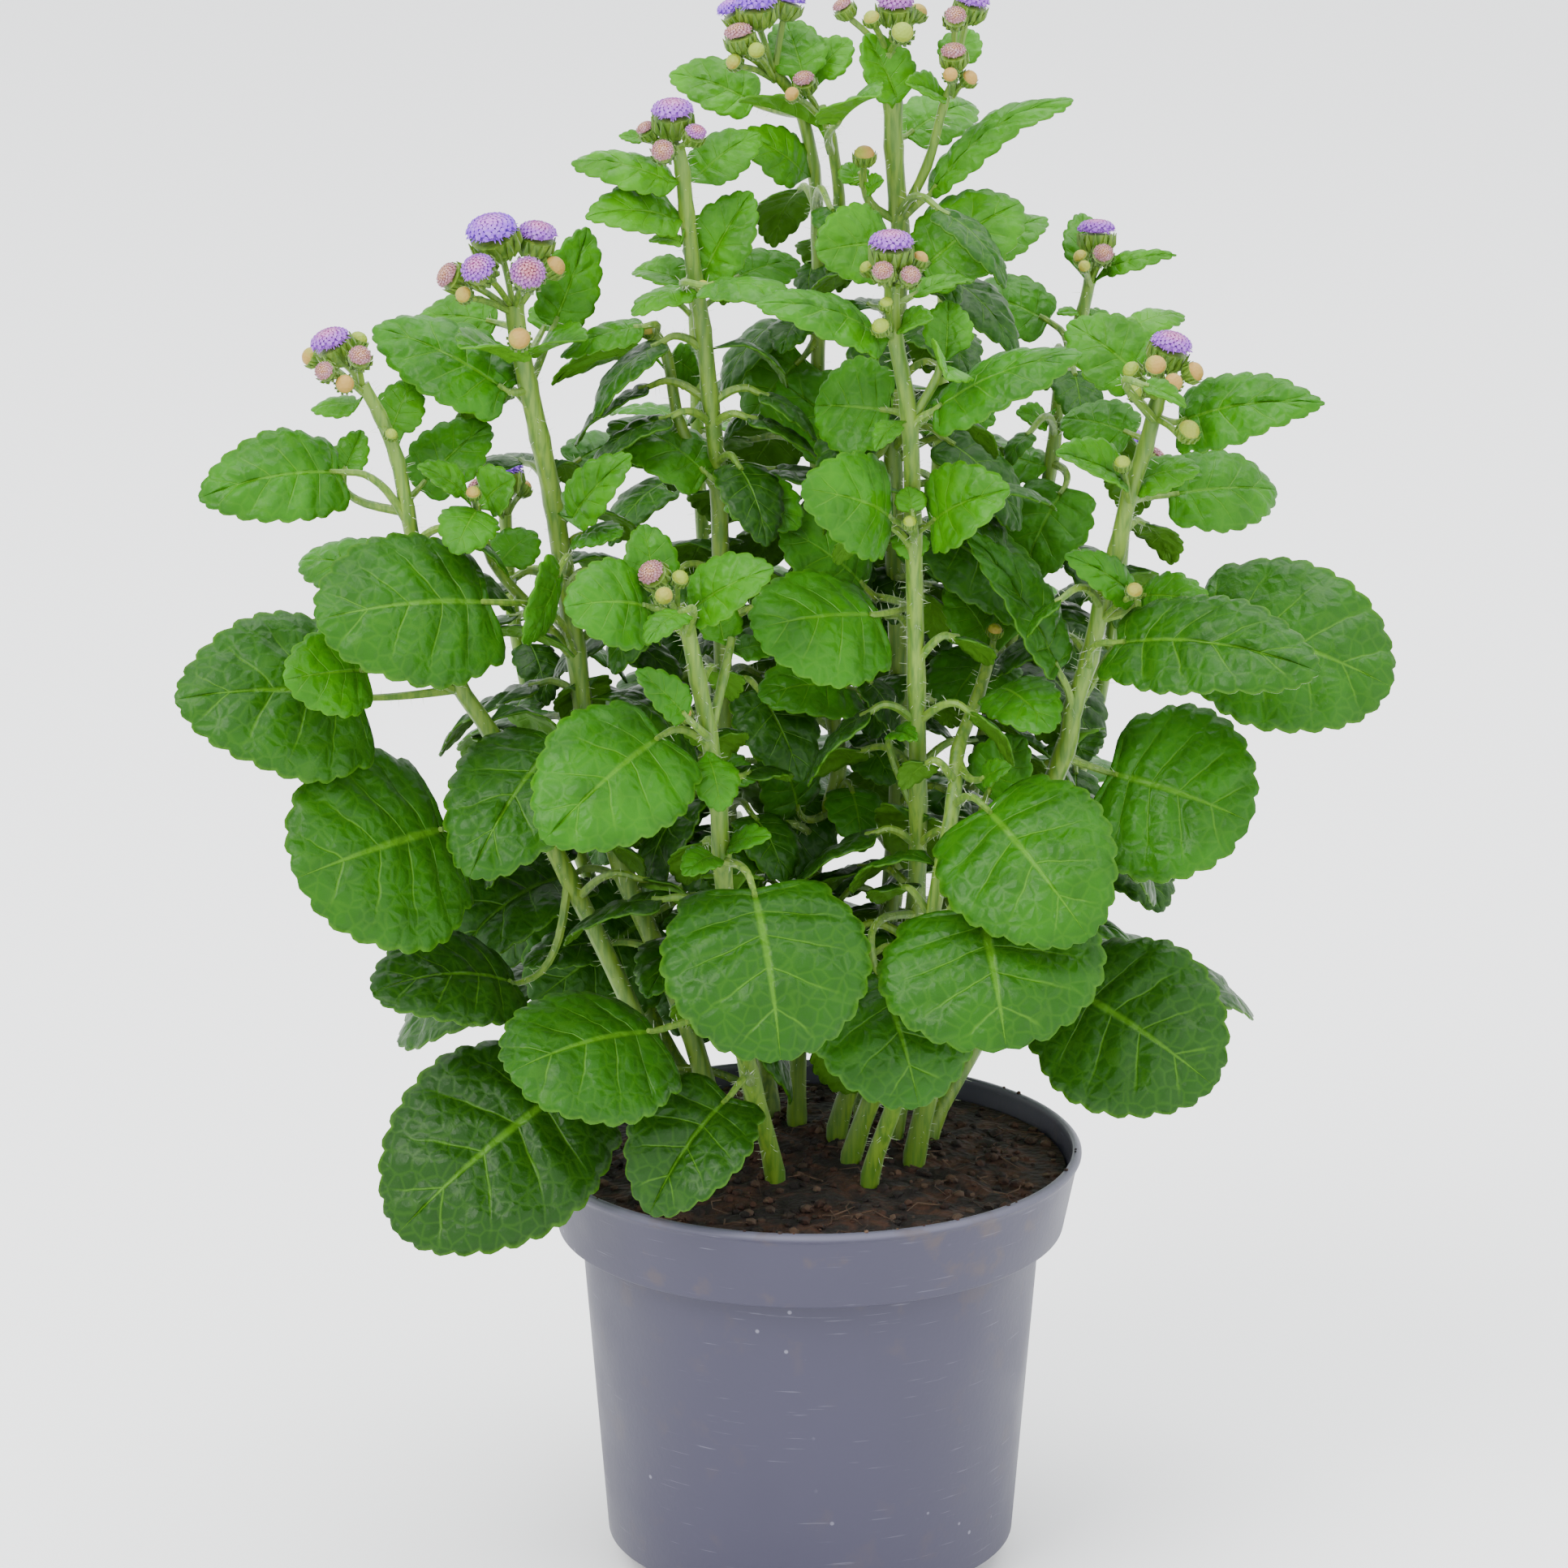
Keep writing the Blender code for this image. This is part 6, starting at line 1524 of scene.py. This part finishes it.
@dataclass
class LeafyShoot:
    """One shoot with its stems, stalks, leaves, green cups, buds and hairs, as a single piece."""

    name: str
    stems: list[LaidStem]
    blades: list[Blade]
    heads: list[PlacedHead]
    seed: int
    stem_sides: int = 10
    hairs_per_mm: float = 1.6

    def tone_of(self, blade: Blade, draw: random.Random) -> float:
        """Give a leaf's tone: bright when high and small, dark when low and large. Height adds painted light
        from above, an inner leaf gets the dark tones of painted shade, and small young leaves are paler.
        """
        # Painted shade: a leaf inside the plant takes the darkest tones.
        if blade.inner:
            return draw.uniform(0.0, INNER_SHADE_TONE)
        # Painted light: the higher the leaf stands, the brighter it is made.
        height = min(1.0, max(0.0, (blade.base.z - DARK_HEIGHT) / BRIGHT_RISE))
        youth = min(1.0, max(0.0, 1 - blade.length / GROWN_LEAF))
        tone = HEIGHT_LIGHT_TONE * height + YOUTH_TONE * youth + draw.uniform(-TONE_SPREAD, TONE_SPREAD)
        return min(1.0, max(0.0, tone))

    def stem_form(self) -> Form:
        """Build the stems and the leaf stalks."""
        form = Form()
        for points, thick in self.stems:
            route = smooth_route(points, ROUTE_FINENESS)
            radii = []
            for k in range(len(route)):
                share = k / (len(route) - 1)
                swell = 1.0 + (NODE_SWELL if k % ROUTE_FINENESS == 0 else 0.0)
                radii.append((thick[0] + (thick[1] - thick[0]) * share) * MM * swell * SLIM)
            add_tube(form, route, radii, self.stem_sides, tone=0.4)
        for blade in self.blades:
            if not blade.sessile():
                route = smooth_route(blade.stalk(), STALK_FINENESS)
                radii = [STALK_RADIUS * (1 - STALK_TAPER * k / (len(route) - 1)) for k in range(len(route))]
                add_tube(form, route, radii, STALK_SIDES, tone=0.5)
        return form

    def hair_form(self, draw: random.Random) -> Form:
        """Build the short white hairs that stand off the stems and stalks."""
        form = Form()
        lines = [(smooth_route(points[1:], ROUTE_FINENESS), thick[0] * MM * 0.9 * SLIM, self.hairs_per_mm)
                 for points, thick in self.stems]
        lines += [(smooth_route(blade.stalk(), STALK_FINENESS), STALK_RADIUS * 0.8, self.hairs_per_mm * 0.5)
                  for blade in self.blades if not blade.sessile()]
        for route, radius, density in lines:
            frames = frames_along(route)
            for k in range(len(route) - 1):
                start = route[k]
                end = route[k + 1]
                count = int((end - start).length / MM * density + draw.random())
                spots = []
                for _ in range(count):
                    turn = draw.uniform(0, math.tau)
                    out = frames[k][0] * math.cos(turn) + frames[k][1] * math.sin(turn)
                    way = (out + (end - start).normalized() * draw.uniform(*HAIR_LEAN)).normalized()
                    spots.append((start.lerp(end, draw.random()) + out * radius * 0.9, way))
                add_hairs(form, spots, draw.uniform(*HAIR_LENGTH) * MM)
        return form

    def build(self, green: dict[str, bpy.types.Material]) -> bpy.types.Object:
        """Build the shoot and let it stand for its plain solid."""
        draw = random.Random(self.seed)
        pieces = [self.stem_form().piece(f"{self.name}_stems", [green["stem"], green["bud"]])]
        for k, head in enumerate(self.heads):
            cup = Involucre(head, SPRAY_SINK + SPRAY_STEP * k).form(draw)
            pieces.append(cup.piece(f"{self.name}_cup_{k}", [green["stem"], green["bud"]]))
        pieces.append(self.hair_form(draw).piece(f"{self.name}_hairs", [green["hair"]]))
        sheets = Form()
        sheets.shape.loops.layers.uv.new("blade")
        for k, blade in enumerate(self.blades):
            sheets.take(FineLeaf(blade, self.tone_of(blade, draw), self.seed + k).sheet())
        pieces.append(thickened(sheets.piece(f"{self.name}_leaves", [green["leaf"], green["underside"]])))
        whole = joined(f"{self.name}_foliage", pieces)
        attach(whole, "root")
        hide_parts(self.name)
        return whole


@dataclass
class Involucre:
    """A head's stalk and the green cup of narrow bracts under its florets, with a dome if it is a bud.

    Widths and the bud's height are shares of the head's radius. Bowl heights are shares of the cup's depth.
    """

    head: PlacedHead
    sink: float
    bracts: int = 13
    bract_widths: tuple[float, float, float] = (0.06, 0.17, 0.03)
    bowl_heights: tuple[float, float, float] = (0, 0.22, 0.55)
    bowl_widths: tuple[float, float, float, float, float] = (0.28, 0.66, 0.86, 0.93, 0.70)
    bud_width: float = 0.88
    bud_height: float = 0.74

    def form(self, draw: random.Random) -> Form:
        """Build the stalk, the cup and its bracts."""
        form = Form()
        head = self.head
        root = head.top - UP * self.sink
        depth = head.radius * 2 * CUP_DEPTH
        heel = head.middle - head.face * depth
        route = smooth_route([root, root.lerp(heel, 0.55) + UP * 0.6 * MM, heel], STALK_FINENESS)
        add_tube(form, route, [STALK_TIP * 0.9] * len(route), STALK_SIDES, tone=0.6)
        bowl = [heel + head.face * depth * share for share in self.bowl_heights]
        bowl += [head.middle, head.middle + head.face * 0.2 * MM]
        add_tube(form, bowl, [head.radius * share for share in self.bowl_widths], 14, tone=0.7)
        frames = head.face.to_track_quat("Z", "Y").to_matrix()
        for k in range(self.bracts):
            turn = math.tau * (k + 0.3 * draw.random()) / self.bracts
            out = frames @ Vector((math.cos(turn), math.sin(turn), 0))
            start = heel + head.face * depth * 0.15 + out * head.radius * 0.60
            reach = head.radius * (1.02 + 0.06 * draw.random())
            end = head.middle + head.face * head.radius * 0.10 + out * reach
            add_tube(form, [start, start.lerp(end, 0.5) + out * head.radius * 0.13, end],
                     [head.radius * share for share in self.bract_widths], 4, tone=0.8)
        if head.tint is None:
            dome = bmesh.ops.create_uvsphere(form.shape, u_segments=14, v_segments=8, radius=1)
            width = head.radius * self.bud_width
            size = Matrix.Diagonal((width, width, head.radius * self.bud_height, 1))
            place = Matrix.Translation(head.middle) @ frames.to_4x4() @ size
            bmesh.ops.transform(form.shape, matrix=place, verts=dome["verts"])
            for face in {f for v in dome["verts"] for f in v.link_faces}:
                face.material_index = 1
        return form


@dataclass
class FlowerHead:
    """The coloured top of a head: a low cushion of close florets with a ragged fringe.

    Spread, height and the lengths are shares of the head's radius, and florets and fringe are counts. Each
    such pair gives a closed head's share or count and what opening adds to it, and florets has what each
    millimetre of radius adds.
    """

    name: str
    node: str
    head: PlacedHead
    seed: int
    turn_step: float = math.pi * (3 - math.sqrt(5))
    lift: float = 0.18
    spread: tuple[float, float] = (0.82, 0.10)
    height: tuple[float, float] = (0.40, 0.06)
    underside: float = 0.16
    florets: tuple[float, float] = (46, 11)
    fringe: tuple[float, float] = (30, 22)
    floret_length: tuple[float, float] = (0.15, 0.10)
    fringe_length: tuple[float, float] = (0.10, 0.15)
    fringe_rise: tuple[float, float] = (-0.75, 0.15)

    def build(self, finishes: dict[Tint, bpy.types.Material]) -> bpy.types.Object:
        """Build the florets and let them stand for the plain cap."""
        draw = random.Random(self.seed)
        form = Form()
        radius = self.head.radius
        open_share = OPENNESS[self.head.tint]
        reach = radius * (self.spread[0] + self.spread[1] * open_share)
        rise = radius * (self.height[0] + self.height[1] * open_share)
        dome = bmesh.ops.create_uvsphere(form.shape, u_segments=28, v_segments=14, radius=1)["verts"]
        layer = form.shape.verts.layers.float["tone"]
        for spot in dome:
            ring = math.hypot(spot.co.x, spot.co.y)
            spot[layer] = ring
            lift = rise if spot.co.z > 0 else radius * self.underside
            spot.co = Vector((spot.co.x * reach * 0.95, spot.co.y * reach * 0.95, spot.co.z * lift))
        count = int(self.florets[0] + self.florets[1] * radius / MM)
        for k in range(count):
            ring = math.sqrt((k + 0.5) / count)
            turn = self.turn_step * k
            out = Vector((math.cos(turn), math.sin(turn), 0))
            slope = (out * ring * 0.9 + UP * (1.25 - ring)).normalized()
            spot = out * ring * reach * 0.93 + UP * rise * math.sqrt(max(0.0, 1 - ring * ring)) * 0.96
            size = radius * (0.085 + 0.03 * draw.random())
            length = radius * (self.floret_length[0] + self.floret_length[1] * ring * open_share)
            place = stood(spot + slope * length * 0.3, slope)
            made = bmesh.ops.create_cone(form.shape, cap_ends=True, segments=5, radius1=size * 0.6,
                                         radius2=size * (0.8 + 0.5 * ring * open_share), depth=length,
                                         matrix=place)["verts"]
            form.tone(made, ring)
        fringe = int(self.fringe[0] + self.fringe[1] * open_share)
        for k in range(fringe):
            turn = math.tau * (k + draw.uniform(-0.3, 0.3)) / fringe
            out = Vector((math.cos(turn), math.sin(turn), 0))
            way = (out + UP * draw.uniform(*self.fringe_rise)).normalized()
            length = radius * (self.fringe_length[0] + self.fringe_length[1] * open_share)
            length *= draw.uniform(0.7, 1.3)
            spot = out * reach * 0.90 + UP * radius * draw.uniform(-0.05, 0.14)
            made = bmesh.ops.create_cone(form.shape, cap_ends=True, segments=4, radius1=radius * 0.05,
                                         radius2=radius * 0.015, depth=length,
                                         matrix=stood(spot + way * length / 2, way))["verts"]
            form.tone(made, 1.0)
        face = (self.head.face + UP * HEAD_LIFT * open_share).normalized()
        base = self.head.middle + self.head.face * (GAP + radius * self.lift)
        bmesh.ops.transform(form.shape, matrix=stood(base, face), verts=form.shape.verts)
        piece = form.piece(self.name, [finishes[self.head.tint]])
        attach(piece, "root")
        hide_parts(self.node)
        return piece


def turned_form(profile: list[tuple[float, float]], steps: int) -> Form:
    """Turn a profile of (radius, height) points round the Z axis, welded and closed."""
    form = Form()
    spots = [form.shape.verts.new((r, 0, z)) for r, z in profile]
    edges = [form.shape.edges.new(pair) for pair in zip(spots, spots[1:])]
    bmesh.ops.spin(form.shape, geom=spots + edges, axis=(0, 0, 1), cent=(0, 0, 0), steps=steps,
                   angle=2 * math.pi, use_merge=True)
    bmesh.ops.remove_doubles(form.shape, verts=form.shape.verts, dist=1e-6)
    bmesh.ops.recalc_face_normals(form.shape, faces=form.shape.faces)
    return form


def rounded(profile: list[tuple[float, float]], radius: float, steps: int = 3) -> list[tuple[float, float]]:
    """Round the inner corners of a profile."""
    points = [profile[0]]
    for before, corner, after in zip(profile, profile[1:], profile[2:]):
        here = Vector(corner)
        back = Vector(before) - here
        ahead = Vector(after) - here
        reach = min(radius, back.length * 0.45, ahead.length * 0.45)
        start = here + back.normalized() * reach
        end = here + ahead.normalized() * reach
        for k in range(steps + 1):
            t = k / steps
            bend = start * (1 - t) ** 2 + here * 2 * t * (1 - t) + end * t ** 2
            points.append((bend.x, bend.y))
    return points + [profile[-1]]


@dataclass
class NurseryPot:
    """The pot: a foot, a tapered body, a collar round the top and a rolled lip, with holes to drain it."""

    steps: int = 120
    ridge: float = 0.5 * MM
    recess: float = 0.9 * MM
    foot_ring: float = 3 * MM
    foot_draft: float = 0.6 * MM
    band_ledge: float = 1.2 * MM

    def profile(self) -> list[tuple[float, float]]:
        """Give the outside from the middle of the underside to the lip, then the inside back down."""
        collar_foot = POT_HEIGHT - BAND_HEIGHT
        outside = [
            (0, self.recess), (FOOT_RADIUS - self.foot_ring - 1 * MM, self.recess),
            (FOOT_RADIUS - self.foot_ring, 0), (FOOT_RADIUS, 0),
            (FOOT_RADIUS + self.foot_draft, FOOT_HEIGHT), (BODY_FOOT_RADIUS, FOOT_HEIGHT),
            (BODY_TOP_RADIUS - 0.3 * MM, collar_foot - 3 * MM), (BODY_TOP_RADIUS, collar_foot),
            (BAND_FOOT_RADIUS, collar_foot),
            (BAND_FOOT_RADIUS + 0.25 * MM, collar_foot + self.band_ledge),
            (POT_RIM_RADIUS - LIP_OVERHANG, POT_HEIGHT - LIP_HEIGHT),
            (POT_RIM_RADIUS, POT_HEIGHT - LIP_HEIGHT + LIP_OVERHANG),
            (POT_RIM_RADIUS, POT_HEIGHT - LIP_OVERHANG), (POT_RIM_RADIUS - LIP_OVERHANG, POT_HEIGHT),
        ]
        inside = [
            (POT_RIM_RADIUS - LIP_OVERHANG - POT_WALL, POT_HEIGHT),
            (BAND_FOOT_RADIUS - POT_WALL, collar_foot + POT_WALL),
            (BODY_TOP_RADIUS - POT_WALL, collar_foot + POT_WALL),
            (BODY_FOOT_RADIUS - POT_WALL, FOOT_HEIGHT + POT_WALL),
            (FOOT_RADIUS - POT_WALL, FOOT_HEIGHT + POT_WALL),
            (FOOT_RADIUS - POT_WALL, 2 * POT_WALL), (0, 2 * POT_WALL),
        ]
        return rounded(outside + inside, self.ridge)

    def drains(self) -> bpy.types.Object:
        """Make the rods that cut the drain holes."""
        form = Form()
        for k in range(DRAIN_COUNT):
            turn = math.tau * k / DRAIN_COUNT
            spot = Vector((DRAIN_RING * math.cos(turn), DRAIN_RING * math.sin(turn), POT_WALL))
            bmesh.ops.create_cone(form.shape, cap_ends=True, segments=24, radius1=DRAIN_RADIUS,
                                  radius2=DRAIN_RADIUS, depth=6 * POT_WALL, matrix=Matrix.Translation(spot))
        return form.piece("drain_rods", [])

    def build(self, plastic: bpy.types.Material) -> bpy.types.Object:
        """Build the pot and let it stand for its plain solid."""
        pot = turned_form(self.profile(), self.steps).piece("nursery_pot", [plastic], 32.0)
        rods = self.drains()
        holes = pot.modifiers.new("holes", "BOOLEAN")
        holes.operation = "DIFFERENCE"
        holes.object = rods
        holes.solver = "EXACT"
        graph = bpy.context.evaluated_depsgraph_get()
        pierced = bpy.data.meshes.new_from_object(pot.evaluated_get(graph))
        pot.modifiers.clear()
        pot.data = pierced
        bpy.data.objects.remove(rods)
        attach(pot, "root")
        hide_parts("pot")
        return pot


@dataclass
class PeatSoil:
    """The soil: a lumpy crown with loose crumbs and reddish fibres, some of them on the pot's rim."""

    steps: int = 96
    crumbs: int = 620
    rim_crumbs: int = 34
    batches: int = 8
    fibres: int = 90
    rings: tuple[float, ...] = (0.97, 0.92, 0.86, 0.79, 0.72, 0.64, 0.56, 0.48, 0.40, 0.32, 0.24, 0.16, 0.08)
    grain_height: float = 1.1 * MM
    grain_scale: float = 260
    crumb_sizes: tuple[float, float] = (0.4, 1.5)
    fibre_lengths: tuple[float, float] = (3, 11)
    fibre_radii: tuple[float, ...] = (0.22 * MM, 0.2 * MM, 0.16 * MM, 0.08 * MM)

    def surface(self, x: float, y: float, edge: float) -> float:
        """Give the soil's height at a place."""
        ring = min(1.0, math.hypot(x, y) / edge)
        lump = math.sin(x * LUMP_WAVES[0] + 1.3) * math.cos(y * LUMP_WAVES[1] + 0.4)
        lump += 0.6 * math.sin(x * RIPPLE_WAVES[0] + y * RIPPLE_WAVES[1])
        grain = noise.fractal(Vector((x, y, 0.3)) * self.grain_scale, 1.0, 2.0, 4)
        height = SOIL_EDGE + SOIL_CROWN * (1 - ring * ring)
        return height + (SOIL_LUMP * lump * 0.5 + self.grain_height * grain) * (1 - ring ** 6)

    def build(self, peat: bpy.types.Material) -> bpy.types.Object:
        """Build the soil and let it stand for its plain solid."""
        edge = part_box("soil")[1].x - 0.1 * MM
        collar_foot = POT_HEIGHT - BAND_HEIGHT
        fill = [(0, 2 * POT_WALL + GAP), (FOOT_RADIUS - POT_WALL - GAP, 2 * POT_WALL + GAP),
                (FOOT_RADIUS - POT_WALL - GAP, FOOT_HEIGHT + POT_WALL + GAP),
                (BODY_FOOT_RADIUS - POT_WALL - GAP * 1.5, FOOT_HEIGHT + POT_WALL + GAP),
                (BODY_TOP_RADIUS - POT_WALL - GAP * 1.5, collar_foot + POT_WALL + GAP),
                (BAND_FOOT_RADIUS - POT_WALL - GAP * 1.5, collar_foot + POT_WALL + GAP), (edge, SOIL_EDGE)]
        crown = [(edge * ring, SOIL_EDGE + GAP) for ring in self.rings]
        form = turned_form(fill + crown + [(0, SOIL_EDGE + GAP)], self.steps)
        for spot in form.shape.verts:
            if spot.co.z > SOIL_EDGE + GAP / 2:
                spot.co.z = self.surface(spot.co.x, spot.co.y, edge)
        draw = random.Random(SEED)
        pieces = [form.piece("soil_bed", [peat])]
        for batch in range(self.batches):
            pieces.append(self.loose(draw, edge, batch).piece(f"crumbs_{batch}", [peat]))
        pieces.append(self.strands(draw, edge).piece("fibres", [peat]))
        soil = joined("peat_soil", pieces)
        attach(soil, "root")
        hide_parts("soil")
        return soil

    def loose(self, draw: random.Random, edge: float, batch: int) -> Form:
        """Scatter one batch of crumbs over the soil, and a few along the rim."""
        form = Form()
        on_rim = self.rim_crumbs // self.batches
        for k in range(self.crumbs // self.batches + on_rim):
            turn = draw.uniform(0, math.tau)
            size = draw.uniform(*self.crumb_sizes) * MM
            ring = edge * math.sqrt(draw.random()) * 0.97
            height = self.surface(ring * math.cos(turn), ring * math.sin(turn), edge)
            if k < on_rim:
                ring = POT_RIM_RADIUS - LIP_OVERHANG - POT_WALL * 0.5
                height = POT_HEIGHT
                size *= 0.5
            made = bmesh.ops.create_icosphere(form.shape, subdivisions=1, radius=size)["verts"]
            for spot in made:
                spot.co *= 1 + 0.35 * noise.noise(spot.co / size + Vector((k, batch, 0)) * 3.1)
                spot.co.z *= 0.7
                spot.co += Vector((ring * math.cos(turn), ring * math.sin(turn), height + size * 0.3))
            form.tone(made, max(0.0, draw.uniform(-0.9, 0.7)))
        return form

    def strands(self, draw: random.Random, edge: float) -> Form:
        """Lay fine fibres over the soil."""
        form = Form()
        for _ in range(self.fibres):
            turn = draw.uniform(0, math.tau)
            ring = edge * math.sqrt(draw.random()) * 0.9
            way = draw.uniform(0, math.tau)
            length = draw.uniform(*self.fibre_lengths) * MM
            route = []
            for k in range(4):
                x = ring * math.cos(turn) + math.cos(way + 0.5 * k) * length * k / 3
                y = ring * math.sin(turn) + math.sin(way + 0.5 * k) * length * k / 3
                if math.hypot(x, y) > edge * 0.98:
                    x, y = x * 0.9, y * 0.9
                arch = 0.8 * MM if k == 2 else 0
                route.append(Vector((x, y, self.surface(x, y, edge) + 0.5 * MM + arch)))
            add_tube(form, route, self.fibre_radii, 4, tone=draw.uniform(0.1, 0.8))
        return form


@dataclass
class Studio:
    """The pale floor, the soft lights and the camera at the photograph's angle."""

    floor_reach: float = 8.0
    sky: float = 2.3
    sky_colour: Colour = (0.96, 0.98, 1.0)

    def light(self, name: str, spot: Spot, size: float, power: float, colour: Colour) -> None:
        """Hang a square soft light that looks at the plant's middle."""
        lamp = bpy.data.lights.new(name, "AREA")
        lamp.shape = "SQUARE"
        lamp.size = size
        lamp.energy = power
        lamp.color = colour
        made = bpy.data.objects.new(name, lamp)
        made.location = spot
        made.rotation_euler = (AIM - Vector(spot)).to_track_quat("-Z", "Y").to_euler()
        bpy.context.scene.collection.objects.link(made)

    def build(self) -> None:
        """Set up the floor, the world, the lights and the camera."""
        form = Form()
        bmesh.ops.create_grid(form.shape, x_segments=2, y_segments=2, size=self.floor_reach)
        floor = form.piece("pale_floor", [FloorFinish().material()])
        world = bpy.data.worlds.new("pale_studio")
        world.use_nodes = True
        backdrop = world.node_tree.nodes["Background"]
        backdrop.inputs["Color"].default_value = (*self.sky_colour, 1)
        backdrop.inputs["Strength"].default_value = self.sky
        bpy.context.scene.world = world
        self.light("key_light", (-0.9, -1.1, 1.7), 1.1, 40.0, (1.0, 0.99, 0.97))
        self.light("top_light", (0.3, 0.3, 1.9), 1.4, 30.0, (0.97, 0.98, 1.0))
        self.light("fill_light", (1.4, -1.2, 0.8), 1.3, 8.0, (1.0, 1.0, 1.0))
        lens = bpy.data.cameras.new("portrait_camera")
        lens.sensor_width = SENSOR
        lens.lens = PHOTO_FOCAL / PHOTO_SIDE * SENSOR
        camera = bpy.data.objects.new("portrait_camera", lens)
        camera.location = EYE
        camera.rotation_euler = VIEW_FORWARD.to_track_quat("-Z", "Y").to_euler()
        bpy.context.scene.collection.objects.link(camera)
        bpy.context.scene.camera = camera


def report(piece: bpy.types.Object) -> None:
    """Log a finished piece and its size."""
    logging.info("%s: %d faces", piece.name, len(piece.data.polygons))


def main() -> None:
    """Load the frame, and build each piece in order."""
    logging.basicConfig(level=logging.INFO, format="%(message)s")
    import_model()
    green = {
        "leaf": LeafFinish().material(),
        "underside": LeafFinish("leaf_underside", haze=0.45, roughness=0.6).material(),
        "stem": StemFinish().material(),
        "hair": HairFinish().material(),
        "bud": BudFinish().material(),
    }
    florets = {tint: finish.material() for tint, finish in FLORET_FINISHES.items()}
    plant = Plant()
    plant.lay_out()
    for number, (name, stems) in enumerate(plant.stems.items()):
        heads = plant.heads[name]
        shoot = LeafyShoot(name, stems, plant.blades.get(name, []), heads, SEED + 100 * number)
        report(shoot.build(green))
        for count, head in enumerate((h for h in heads if h.tint), start=1):
            bloom = f"{name}_bloom_{count}"
            report(FlowerHead(f"{bloom}_florets", bloom, head, SEED + 100 * number + count).build(florets))
    report(NurseryPot().build(PotFinish().material()))
    report(PeatSoil().build(SoilFinish().material()))
    Studio().build()


if __name__ == "__main__":
    main()
